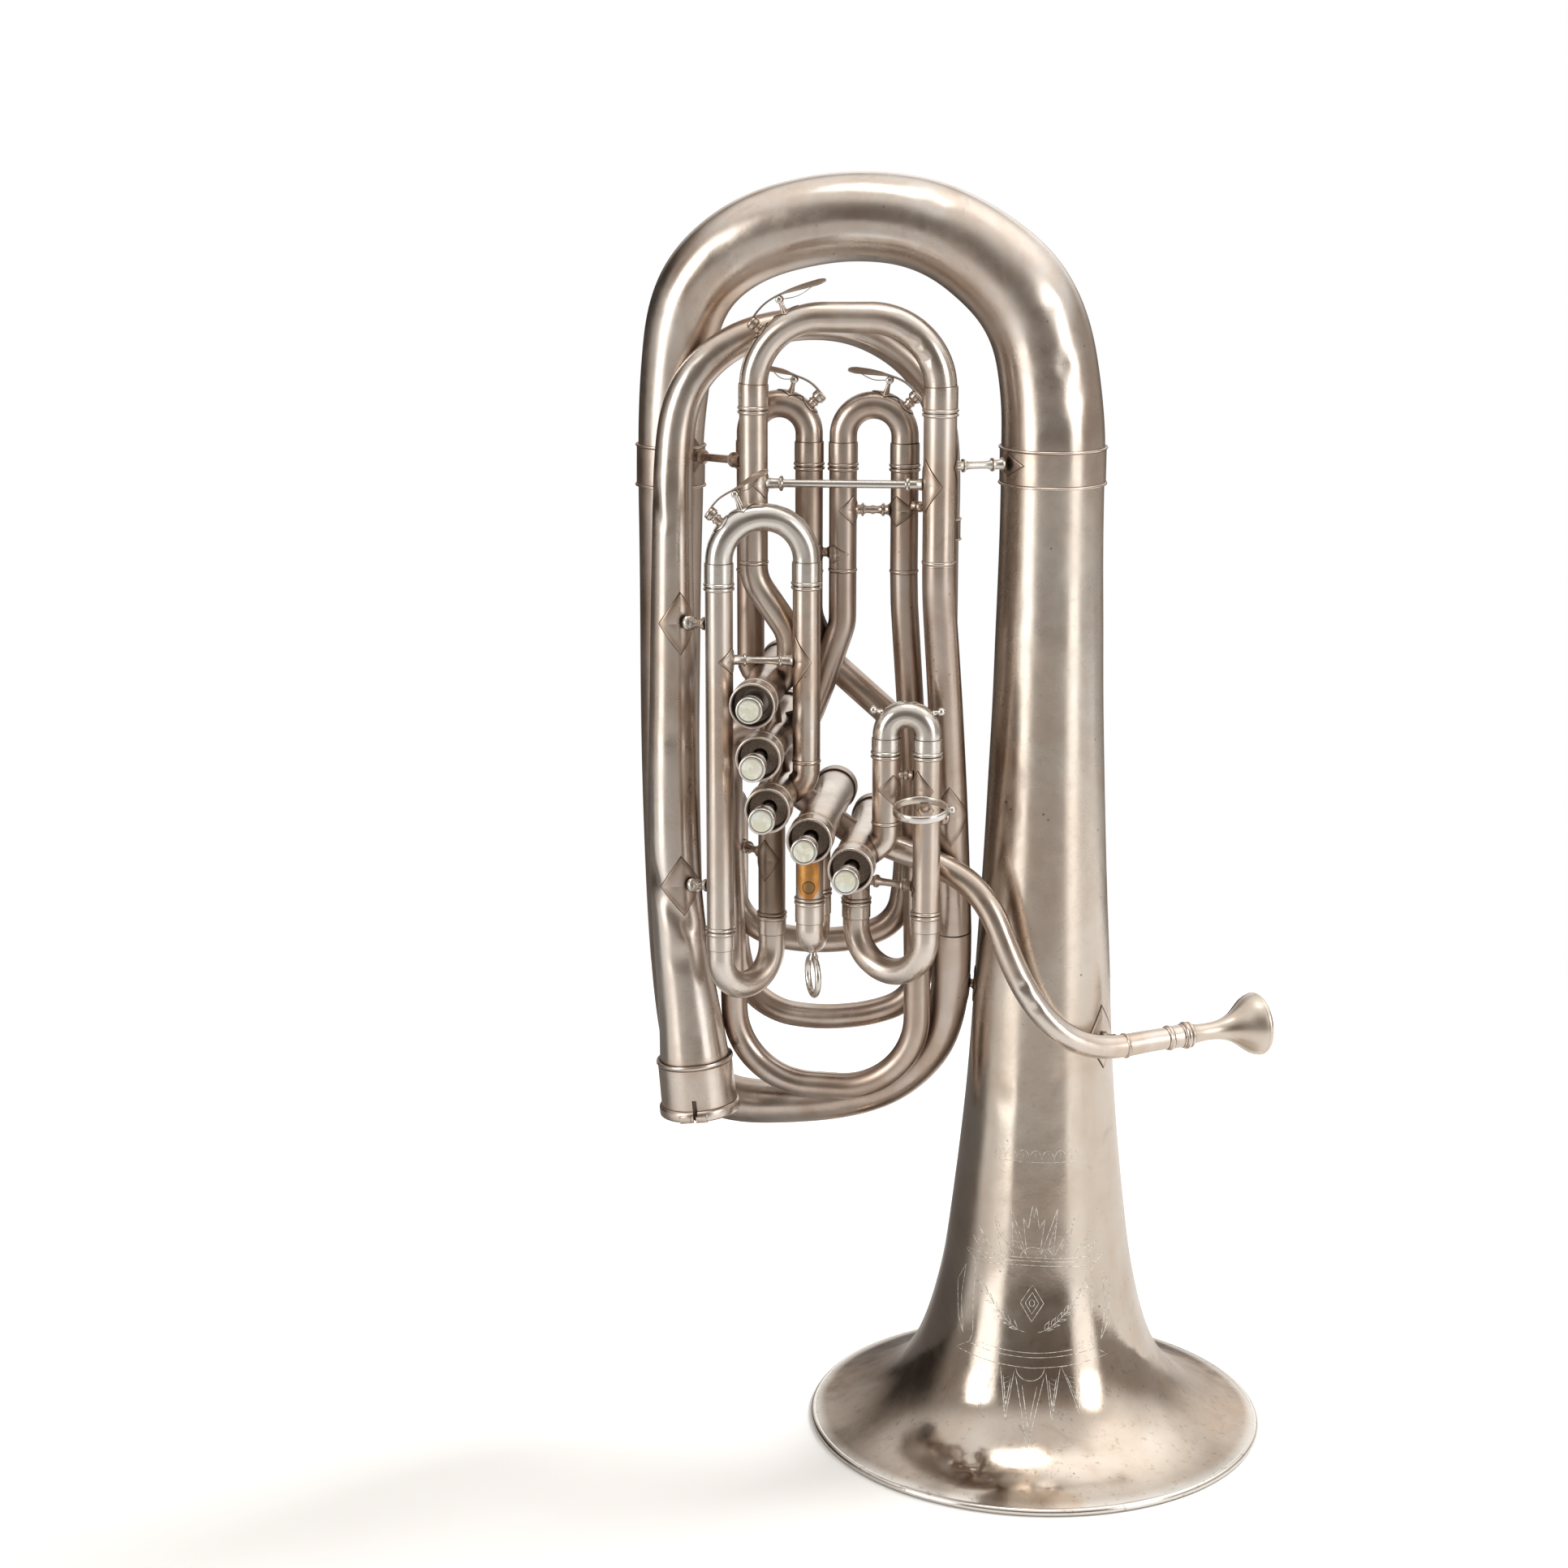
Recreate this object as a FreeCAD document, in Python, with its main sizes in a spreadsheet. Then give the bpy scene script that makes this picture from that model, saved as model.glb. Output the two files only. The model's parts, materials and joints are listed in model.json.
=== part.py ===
# Double-bell euphonium with five front-action piston valves, standing on its big bell.
# The socket of the second, small bell is open. Millimetres, +Z up, origin at the centre of
# the big bell's rim on the ground, +X to the mouthpiece side, -Y to the finger buttons.
import FreeCAD
import Part
import math
import os
import Sketcher
from FreeCAD import Placement, Rotation
from FreeCAD import Vector as V

doc = FreeCAD.newDocument("double_bell_euphonium")
dims = doc.addObject("Spreadsheet::Sheet", "dims")
_vals = {}


def cell(alias, value, note):
    row = len(_vals) + 1
    dims.set("A%d" % row, note)
    dims.set("B%d" % row, "%g" % value)
    dims.setAlias("B%d" % row, alias)
    _vals[alias] = value


# ---- driving dimensions -------------------------------------------------------------------
for alias, value, note in [
    ("wall_bell", 0.8, "bell wall"),
    ("wall_bow", 0.7, "wall of the bows and branches"),
    ("wall_tube", 0.5, "wall of the cylindrical tubing"),
    ("slide_outer", 8.0, "outer radius of the slide tubes"),
    ("slide_bore", 7.5, "inner radius of the outer slide tubes"),
    ("leg_outer", 7.44, "outer radius of the inner slide legs"),
    ("leg_bore", 6.95, "inner radius of the inner slide legs"),
    ("sleeve_outer", 8.45, "outer radius of the slide sleeves"),
    ("loop_outer", 7.6, "outer radius of the small bell's rear loops"),
    ("loop_bore", 7.1, "inner radius of the small bell's rear loops"),
    ("main_left", 8.2, "main slide, outer radius of the narrow outer tube"),
    ("main_right", 9.5, "main slide, outer radius of the wide outer tube"),
    ("bead_r", 1.05, "section radius of the bead rings"),
    ("rim_r", 139.0, "radius of the bell rim's wire circle"),
    ("rim_bead", 2.4, "section radius of the rolled bell rim"),
    ("case_outer", 12.0, "valve casing outer radius"),
    ("case_bore", 11.2, "valve casing bore radius"),
    ("case_front", -86.0, "Y of the casing's front end"),
    ("case_back", 36.0, "Y of the casing's back end"),
    ("cap_outer", 13.3, "valve cap outer radius"),
    ("cap_front", -98.0, "Y of the top cap's rim"),
    ("piston_outer", 11.14, "piston radius, running fit in the casing"),
    ("piston_length", 79.0, "length of the piston barrel"),
    ("piston_back", -5.0, "Y of the piston's back end, released"),
    ("stroke", 16.0, "piston stroke"),
    ("stem_r", 3.0, "piston stem radius"),
    ("button_r", 7.75, "finger button radius"),
    ("button_h", 6.0, "finger button height"),
    ("button_reach", 25.0, "button face ahead of the cap rim, valves 1 to 4"),
    ("button_reach_five", 13.0, "button face ahead of the cap rim, valve 5"),
    ("pearl_r", 6.6, "pearl inlay radius"),
    ("pearl_h", 1.3, "pearl inlay thickness"),
    ("port_r", 7.0, "port bore radius"),
    ("spring_r", 9.6, "spring's mean radius"),
    ("spring_wire", 0.6, "half thickness of the spring sleeve"),
    ("socket_bore", 21.5, "bore radius of the small bell's socket"),
    ("socket_outer", 22.6, "outer radius of the small bell's socket"),
    ("socket_length", 35.0, "length of the socket"),
    ("receiver_outer", 6.9, "mouthpiece receiver outer radius"),
    ("receiver_bore", 6.2, "mouthpiece receiver bore at its mouth"),
    ("shank_tip", 5.4, "mouthpiece shank radius at its tip"),
    ("cup_rim", 19.0, "mouthpiece rim radius"),
    ("key_w", 6.4, "width of the water key levers"),
    ("brace_r", 2.1, "brace rod radius"),
    ("brace_collar", 3.1, "brace collar radius"),
    ("ring_r", 14.2, "thumb ring outer radius"),
    ("ring_h", 4.6, "thumb ring height"),
]:
    cell(alias, value, note)

VALVES = {1: (-106.1, 374.1), 2: (-129.8, 390.7), 3: (-153.9, 407.5), 4: (-159.1, 437.6), 5: (-162.5, 468.3)}
for n, (vx, vz) in VALVES.items():
    cell("valve%d_x" % n, vx, "valve %d axis, X" % n)
    cell("valve%d_z" % n, vz, "valve %d axis, Z" % n)
# plane (Y) of each slide leg and its X; heights of the beads that close the outer tubes
for alias, value in [
    ("main_y", -38.0), ("main_lx", -169.8), ("main_rx", -62.5), ("main_bead", 628.8), ("main_top", 681.9),
    ("mid_y", -20.0), ("sb_lx", -174.2), ("sb_rx", -139.8), ("mid_bead", 594.8), ("mid_top", 630.6),
    ("fo_lx", -120.0), ("fo_rx", -84.2),
    ("th_lx", -186.6), ("th_ly", -62.0), ("th_rx", -137.4), ("th_ry", -50.0), ("th_bead", 530.0), ("th_top", 569.9),
    ("tl_x", -160.5), ("tl_y", -30.0), ("tl_bead", 325.6), ("tl_rbead", 327.2), ("tl_bottom", 287.8),
    ("se_fx", -133.4), ("se_fy", -65.5), ("se_rx", -131.6), ("se_ry", -46.0), ("se_bead", 347.0), ("se_bottom", 320.2),
    ("fi_lx", -89.9), ("fi_rx", -66.0), ("fi_y", -58.0), ("fi_bead", 433.6), ("fi_top", 457.6),
    ("fl_x", -109.5), ("fl_y", -33.0), ("fl_bead", 338.8), ("fl_bottom", 299.2),
]:
    cell(alias, value, "slide layout: " + alias)
doc.recompute()


def g(alias):
    return float(dims.get(alias))


# ---- helpers ------------------------------------------------------------------------------
NODES = []


def node(obj, label):
    obj.Label = label
    NODES.append(obj)
    return obj


def frame_at(p, t):
    return Placement(V(*p), Rotation(V(0, 0, 1), V(*t)))


def section_at(p, t):
    """Like frame_at, but with the section's own Y kept near the world's Y, so that a loft never twists."""
    z = V(*t).normalize()
    y = V(0, 1, 0) - z * z.y
    y.normalize()
    return Placement(V(*p), Rotation(y.cross(z), y, z, "ZYX"))


def path_shape(pts, radii):
    """Wire of straight runs joined by tangent arcs; radii per inner point, None for the largest."""
    P = [V(*p) for p in pts]
    out, cur = [], P[0]
    n = len(P)
    for i in range(1, n - 1):
        a, b = (P[i - 1] - P[i]), (P[i + 1] - P[i])
        la, lb = a.Length, b.Length
        a.normalize()
        b.normalize()
        turn = math.pi - math.acos(max(-1.0, min(1.0, a.dot(b))))
        if turn < 1e-4:
            continue
        r = radii[i - 1] if radii else None
        if r is None:
            wa = 0.98 if i == 1 else 0.49
            wb = 0.98 if i == n - 2 else 0.49
            r = min(la * wa, lb * wb) / math.tan(turn / 2)
        t = r * math.tan(turn / 2)
        s, e = P[i] + a * t, P[i] + b * t
        bis = (a + b).normalize()
        c = P[i] + bis * (r / math.cos(turn / 2))
        if (s - cur).Length > 1e-4:
            out.append(Part.LineSegment(cur, s).toShape())
        out.append(Part.Arc(s, c - bis * r, e).toShape())
        cur = e
    if (P[-1] - cur).Length > 1e-4:
        out.append(Part.LineSegment(cur, P[-1]).toShape())
    return Part.Wire(out)


def path(name, pts, radii=None):
    o = doc.addObject("Part::Feature", name + "_path")
    o.Shape = path_shape(pts, radii)
    return o


def sweep(name, spine, expr):
    """Round tube or rod along a path, its radius bound to the sheet."""
    e = spine.Shape.Edges[0]
    p = e.valueAt(e.FirstParameter)
    t = e.tangentAt(e.FirstParameter)
    c = doc.addObject("Part::Circle", name + "_section")
    c.setExpression("Radius", expr)
    c.Placement = frame_at(p, t)
    s = doc.addObject("Part::Sweep", name)
    s.Sections = [c]
    s.Spine = (spine, [])
    s.Solid = True
    s.Frenet = False
    return s


def cyl(name, p, t, expr_r, length):
    c = doc.addObject("Part::Cylinder", name)
    c.setExpression("Radius", expr_r)
    if isinstance(length, str):
        c.setExpression("Height", length)
    else:
        c.Height = length
    c.Placement = frame_at(p, t)
    return c


def rod(name, a, b, expr_r):
    d = V(*b) - V(*a)
    return cyl(name, a, d, expr_r, d.Length)


def torus(name, p, t, expr_big, expr_small="dims.bead_r"):
    c = doc.addObject("Part::Torus", name)
    c.setExpression("Radius1", expr_big)
    c.setExpression("Radius2", expr_small)
    c.Placement = frame_at(p, t)
    return c


def fuse(name, objs):
    if len(objs) == 1:
        return objs[0]
    f = doc.addObject("Part::MultiFuse", name)
    f.Shapes = objs
    return f


def cut(name, base, tools):
    c = doc.addObject("Part::Cut", name)
    c.Base = base
    c.Tool = fuse(name + "_tools", tools) if isinstance(tools, list) else tools
    return c


def group(name, objs):
    c = doc.addObject("Part::Compound", name)
    c.Links = objs
    return c


def spline_frames(pts, n, ends=(None, None)):
    """n stations along a smooth line through the points: position, direction, radius.
    ends gives the directions at the first and last station, so that neighbours meet face to face."""
    P = [V(*p[:3]) for p in pts]
    s = [0.0]
    for i in range(1, len(P)):
        s.append(s[-1] + (P[i] - P[i - 1]).Length)
    bs = Part.BSplineCurve()
    bs.interpolate(P, Parameters=s)
    out = []
    for k in range(n):
        u = s[-1] * k / (n - 1)
        j = max(i for i in range(len(s)) if s[i] <= u + 1e-9)
        j = min(j, len(s) - 2)
        f = (u - s[j]) / (s[j + 1] - s[j])
        r = pts[j][3] * (1 - f) + pts[j + 1][3] * f
        out.append((bs.value(u), bs.tangent(u)[0], r))
    for k, e in ((0, ends[0]), (-1, ends[1])):
        if e:
            out[k] = (out[k][0], V(*e), out[k][2])
    return out


def taper(name, pts, n, wall, ends=(None, None)):
    """Hollow tapered tube: a loft through circles less the same loft one wall smaller."""
    fr = spline_frames(pts, n, ends)
    made = []
    for tag, off in (("outer", ""), ("inner", " - dims." + wall)):
        secs = []
        for k, (p, t, r) in enumerate(fr):
            c = doc.addObject("Part::Circle", "%s_%s_%d" % (name, tag, k))
            c.setExpression("Radius", "%.3f%s" % (r, off))
            c.Placement = section_at(p, t)
            secs.append(c)
        lo = doc.addObject("Part::Loft", "%s_%s" % (name, tag))
        lo.Sections = secs
        lo.Solid = True
        lo.Ruled = False
        made.append(lo)
    return made


def profile_body(name, pts, placement, label=None):
    """PartDesign body: a closed profile of (radius, height) points turned about the local Z axis.
    A text entry is an expression on the sheet, a number a plain size."""
    body = doc.addObject("PartDesign::Body", name)
    plane = [f for f in body.Origin.OriginFeatures if f.Role == "XZ_Plane"][0]
    sk = body.newObject("Sketcher::SketchObject", name + "_profile")
    sk.AttachmentSupport = (plane, [""])
    sk.MapMode = "FlatFace"

    def num(e):
        if not isinstance(e, str):
            return float(e)
        return float(eval_expr(e))

    xy = [(num(r), num(z)) for r, z in pts]
    m = len(xy)
    for i in range(m):
        a, b = xy[i], xy[(i + 1) % m]
        sk.addGeometry(Part.LineSegment(V(a[0], a[1], 0), V(b[0], b[1], 0)), False)
    for i in range(m):
        sk.addConstraint(Sketcher.Constraint("Coincident", i, 2, (i + 1) % m, 1))
    for i, (r, z) in enumerate(pts):
        for kind, e, v, axis in (("DistanceX", r, xy[i][0], -2), ("DistanceY", z, xy[i][1], -1)):
            if abs(v) < 1e-9:
                sk.addConstraint(Sketcher.Constraint("PointOnObject", i, 1, axis))
            else:
                k = sk.addConstraint(Sketcher.Constraint(kind, -1, 1, i, 1, v))
                if isinstance(e, str):
                    sk.setExpression("Constraints[%d]" % k, e)
    rev = body.newObject("PartDesign::Revolution", name + "_turned")
    rev.Profile = sk
    rev.ReferenceAxis = (sk, ["V_Axis"])
    rev.Angle = 360
    body.Tip = rev
    body.Placement = placement
    if label:
        node(body, label)
    return body


def eval_expr(e):
    """Value of a sum of sheet cells and numbers, such as 'dims.a - dims.b + 2'."""
    total, sign = 0.0, 1.0
    for tok in e.split():
        if tok == "+":
            sign = 1.0
        elif tok == "-":
            sign = -1.0
        else:
            f = 1.0
            for part in tok.split("*"):
                f *= g(part[5:]) if part.startswith("dims.") else float(part)
            total += sign * f
            sign = 1.0
    return total


# ---- big bell -----------------------------------------------------------------------------
# outer radius against height; the flare ends in a rolled rim that rests on the ground
BELL = [(595.0, 30.0), (573.0, 30.0), (534.6, 30.6), (496.0, 31.6), (457.0, 32.6), (418.0, 34.1), (378.0, 35.8),
        (338.0, 37.8), (297.0, 40.1), (256.0, 42.3), (215.0, 45.0), (173.0, 49.0), (131.0, 53.9), (109.0, 57.0),
        (86.5, 61.6), (66.0, 67.2), (50.0, 73.5), (36.0, 82.0), (24.0, 93.5), (14.5, 107.5), (8.0, 122.0), (4.2, 136.0)]


def bell_profile():
    w = g("wall_bell")
    op = [V(r, 0, z) for z, r in BELL]
    outer = Part.BSplineCurve()
    outer.interpolate(op)
    ip = []
    for i, p in enumerate(op):
        a = op[max(i - 1, 0)]
        b = op[min(i + 1, len(op) - 1)]
        t = (b - a).normalize()
        nrm = V(t.z, 0, -t.x)  # towards the axis
        if nrm.x > 0:
            nrm = nrm * -1
        if i == 0:
            nrm = V(-1, 0, 0)
        ip.append(p + nrm * w)
    inner = Part.BSplineCurve()
    inner.interpolate(ip)
    edges = [outer.toShape(), Part.LineSegment(op[-1], ip[-1]).toShape(), inner.toShape(),
             Part.LineSegment(ip[0], op[0]).toShape()]
    return Part.Face(Part.Wire(Part.__sortEdges__(edges)))


bell_skin = doc.addObject("Part::Feature", "bell_skin")
bell_skin.Shape = bell_profile().revolve(V(0, 0, 0), V(0, 0, 1), 360)
rim = torus("bell_rim", (0, 0, 2.0), (0, 0, 1), "dims.rim_r - dims.rim_bead", "dims.rim_bead")
rim_floor = doc.addObject("Part::Box", "rim_floor")
rim_floor.Length = rim_floor.Width = 320
rim_floor.Height = 5
rim_floor.Placement = Placement(V(-160, -160, -5), Rotation())
bell_whole = cut("bell_whole", fuse("bell_parts", [bell_skin, rim]), rim_floor)
# spun flare, throat and two lengths of stem, brazed end to end
gores = []
for k, (z0, z1) in enumerate([(-1.0, 36.0), (36.0, 131.0), (131.0, 338.0), (338.0, 600.0)]):
    slab = doc.addObject("Part::Box", "bell_slab_%d" % (k + 1))
    slab.Length = slab.Width = 320
    slab.Height = z1 - z0
    slab.Placement = Placement(V(-160, -160, z0), Rotation())
    length = doc.addObject("Part::Common", "bell_length_%d" % (k + 1))
    length.Base, length.Tool = bell_whole, slab
    gores.append(length)
node(group("bell_lengths", gores), "bell")

# ---- bows and branches: x, y, z, outer radius along each ------------------------------------
MAIN_BOW = [(0, 0, 595, 30.0), (0, 0.0, 602, 30.0), (-0.1, 0.0, 609, 29.95), (-0.8, 0.5, 624, 29.5), (-3.1, 1.0, 645.0, 29.0),
            (-9.0, 2.0, 671.2, 28.8), (-21.3, 3.0, 694.0, 28.7), (-38.6, 4.0, 710.6, 27.8), (-59.0, 5.0, 724.0, 26.7),
            (-82.7, 6.0, 732.7, 25.9), (-107.7, 7.0, 735.6, 25.5), (-130.6, 8.0, 734.6, 25.4), (-152.2, 9.0, 730.6, 25.3),
            (-173.6, 10.0, 723.4, 24.8), (-193.6, 10.5, 711.4, 23.9), (-208.2, 11.0, 696.0, 23.0),
            (-217.0, 11.5, 677.2, 22.1), (-221.4, 12.0, 656.0, 21.2), (-224.3, 12.0, 631.8, 20.3),
            (-226.1, 12.0, 605.0, 19.45), (-226.4, 12.0, 590, 19.3)]
BIG_BRANCH = [(-226.4, 12.0, 590.0, 19.3), (-226.6, 12.0, 575.0, 19.3), (-226.8, 12.0, 557.0, 18.9),
              (-227.2, 12.0, 527.6, 18.4), (-227.8, 12.0, 478.2, 18.0), (-228.2, 12.0, 428.2, 17.6),
              (-227.4, 12.5, 356.8, 17.2), (-225.0, 13.0, 285.2, 16.6), (-222.7, 14.0, 252.8, 16.2),
              (-219.5, 15.0, 226.5, 15.9)]
BOTTOM_BOW = [(-219.5, 15.0, 226.5, 15.9), (-216.2, 15.5, 213.0, 15.5), (-208.6, 16.0, 201.8, 14.9),
              (-196.5, 16.0, 195.4, 14.3), (-180.0, 15.0, 193.0, 13.7), (-159.2, 13.0, 194.1, 13.2),
              (-133.4, 10.0, 197.7, 12.8), (-110.9, 8.0, 203.3, 12.5), (-92.8, 7.0, 211.3, 12.3),
              (-76.9, 6.0, 223.9, 12.1), (-65.0, 4.0, 240.2, 11.9), (-58.0, 0.5, 261.2, 11.7),
              (-54.8, -5.0, 284.1, 11.5), (-53.5, -12.0, 316.5, 11.2)]
RIGHT_BRANCH = [(-53.5, -12.0, 316.5, 11.2), (-54.6, -17.5, 360.6, 10.9), (-56.3, -23.5, 411.3, 10.5),
                (-58.6, -29.5, 461.4, 10.1), (-61.2, -35.0, 505.7, 9.8), (-62.3, -37.6, 528, 9.6),
                (-62.5, -38.0, 541.0, 9.5)]
SB_BRANCH = [(-208.4, -25.0, 230.6, 20.4), (-211.9, -25.0, 265.6, 18.5), (-215.6, -25.0, 297.2, 16.7),
             (-220.0, -24.5, 356.6, 15.2), (-221.0, -23.5, 411.3, 14.4), (-220.8, -22.5, 455.1, 13.6),
             (-220.6, -22.0, 499.6, 12.9), (-220.2, -22.0, 544.0, 12.1), (-219.8, -21.0, 581.1, 11.6),
             (-219.0, -20.0, 602.0, 11.3), (-216.6, -18.5, 621.7, 11.0), (-209.6, -16.5, 641.0, 10.6),
             (-196.3, -14.0, 656.6, 10.2), (-178.9, -11.0, 667.4, 9.9), (-159.5, -7.0, 673.2, 9.5),
             (-140.7, -3.0, 674.9, 9.2), (-120.5, 0.5, 672.5, 9.0), (-101.7, 3.5, 664.9, 8.8),
             (-85.7, 6.0, 653.2, 8.6), (-73.3, 7.5, 637.7, 8.4), (-65.6, 8.0, 618.4, 8.2), (-62.6, 8.0, 595, 8.1),
             (-62.3, 8.0, 560.0, 8.0)]


def tapered_node(label, pts, n, ends):
    outer, inner = taper(label, pts, n, "wall_bow", ends)
    return node(cut(label + "_tube", outer, inner), label)


SD = V(3.5, 0, -35.0).normalize()  # axis of the small bell's socket
DOWN_A, DOWN_B, UP_C = (-0.015, 0, -1), (0.12, 0.035, -1), (0.0, -0.19, 1)
tapered_node("main_bow", MAIN_BOW, 28, ((0, 0, 1), DOWN_A))
tapered_node("big_branch", BIG_BRANCH, 12, (DOWN_A, DOWN_B))
tapered_node("bottom_bow", BOTTOM_BOW, 20, (DOWN_B, UP_C))
tapered_node("right_branch", RIGHT_BRANCH, 11, (UP_C, (0, 0, 1)))
tapered_node("small_bell_branch", SB_BRANCH, 28, (tuple(SD * -1), (0, 0, -1)))


def ferrule(name, base, axis, r_in, thick, length, bead):
    """Sleeve round a joint, with a bead at each end. base is the centre of its lower end."""
    return profile_body(name, [(r_in, 0), (r_in + thick, 0), (r_in + bead, 0.5), (r_in + bead, 1.9), (r_in + thick, 2.6),
                               (r_in + thick, length - 2.6), (r_in + bead, length - 1.9), (r_in + bead, length - 0.5),
                               (r_in + thick, length), (r_in, length)], frame_at(base, axis))


node(group("ferrule_set", [
    ferrule("ferrule_bell", (0, 0, 584.5), (0, 0, 1), 30.14, 0.7, 22.0, 1.5),
    ferrule("ferrule_branch", (-226.6, 12, 577.5), (0.0133, 0, 1), 19.56, 0.7, 25.0, 1.5),
    ferrule("ferrule_small", (-62.3, 8, 549.0), (0.0, 0, 1), 8.14, 0.5, 13.0, 1.2),
]), "bow_ferrules")

# ---- valve casings --------------------------------------------------------------------------
# ports: Y and direction (x, z) in which a tube leaves the casing
PORTS = {
    1: [(-58, (1, 0.12)), (-33, (-0.28, -1)), (-30, (1, 0.08)), (-28, (-0.82, 0.575))],
    2: [(-65.5, (-0.30, -1)), (-46, (-0.16, -1)), (-28, (0.82, -0.575)), (-29, (-0.82, 0.575))],
    3: [(-50, (1, 0.12)), (-30, (-0.62, -1)), (-29, (0.82, -0.575)), (-42, (-0.17, 0.985))],
    4: [(-20, (1, 0.35)), (-13, (-1, 0)), (-42, (0.17, -0.985)), (-44, (-0.11, 0.99))],
    5: [(-36, (1, 0)), (-20, (-0.75, 1)), (-44, (0.11, -0.99))],
}


def casing_cutter(n, tag):
    """Solid cylinder of the casing's outside, to trim the tubes that meet it."""
    return cyl("casing_%d_trim_%s" % (n, tag), (g("valve%d_x" % n), g("case_front"), g("valve%d_z" % n)), (0, 1, 0),
               "dims.case_outer", "dims.case_back - dims.case_front")


for n in VALVES:
    x, z = g("valve%d_x" % n), g("valve%d_z" % n)
    b = profile_body("casing_%d" % n, [("dims.case_bore", 0), ("dims.case_outer", 0), ("dims.case_outer", "dims.case_back - dims.case_front"),
                                       ("dims.case_bore", "dims.case_back - dims.case_front")],
                     frame_at((x, g("case_front"), z), (0, 1, 0)))
    tools = [cyl("port_%d_%d" % (n, k), (x, y, z), (dx, 0, dz), "dims.port_r", 16.0) for k, (y, (dx, dz)) in enumerate(PORTS[n])]
    node(cut("casing_%d_ported" % n, b, tools), "valve_casing_%d" % n)

tops, bottoms = [], []
for n in VALVES:
    x, z = g("valve%d_x" % n), g("valve%d_z" % n)
    # deep top cap: open cup with a floor that the stem passes through, screwed over the casing
    tops.append(profile_body("top_cap_%d" % n, [(4.3, 10), (11.6, 10), (11.6, 0.8), (12.2, 0), ("dims.cap_outer - 0.5", 0),
                                               ("dims.cap_outer", 0.6), ("dims.cap_outer", 2.2), ("dims.cap_outer - 0.5", 2.8),
                                               ("dims.cap_outer - 0.5", 18), ("dims.case_outer + 0.03", 18),
                                               ("dims.case_outer + 0.03", 12), (4.3, 12)],
                             frame_at((x, g("cap_front"), z), (0, 1, 0))))
    bottoms.append(profile_body("bottom_cap_%d" % n, [("dims.case_outer + 0.03", -8), ("dims.cap_outer", -8), ("dims.cap_outer", 0.6),
                                                     ("dims.cap_outer - 0.8", 1.6), (8, 2.6), (7.4, 4.6), (0, 5.2), (0, 0.03),
                                                     ("dims.case_outer + 0.03", 0.03)],
                                frame_at((x, g("case_back"), z), (0, 1, 0))))
node(group("top_cap_set", tops), "valve_top_caps")
node(group("bottom_cap_set", bottoms), "valve_bottom_caps")

# short knuckles between neighbouring casings
kn = []
for a, b, y in ((1, 2, -28.5), (2, 3, -29), (3, 4, -42), (4, 5, -44)):
    pa = (g("valve%d_x" % a), y, g("valve%d_z" % a))
    pb = (g("valve%d_x" % b), y, g("valve%d_z" % b))
    k = cut("knuckle_%d%d" % (a, b), rod("knuckle_%d%d_out" % (a, b), pa, pb, "dims.loop_outer"),
            [rod("knuckle_%d%d_in" % (a, b), pa, pb, "dims.port_r"), casing_cutter(a, "k%d" % b), casing_cutter(b, "k%d" % a)])
    kn.append(k)
node(group("knuckle_set", kn), "valve_knuckles")

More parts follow.
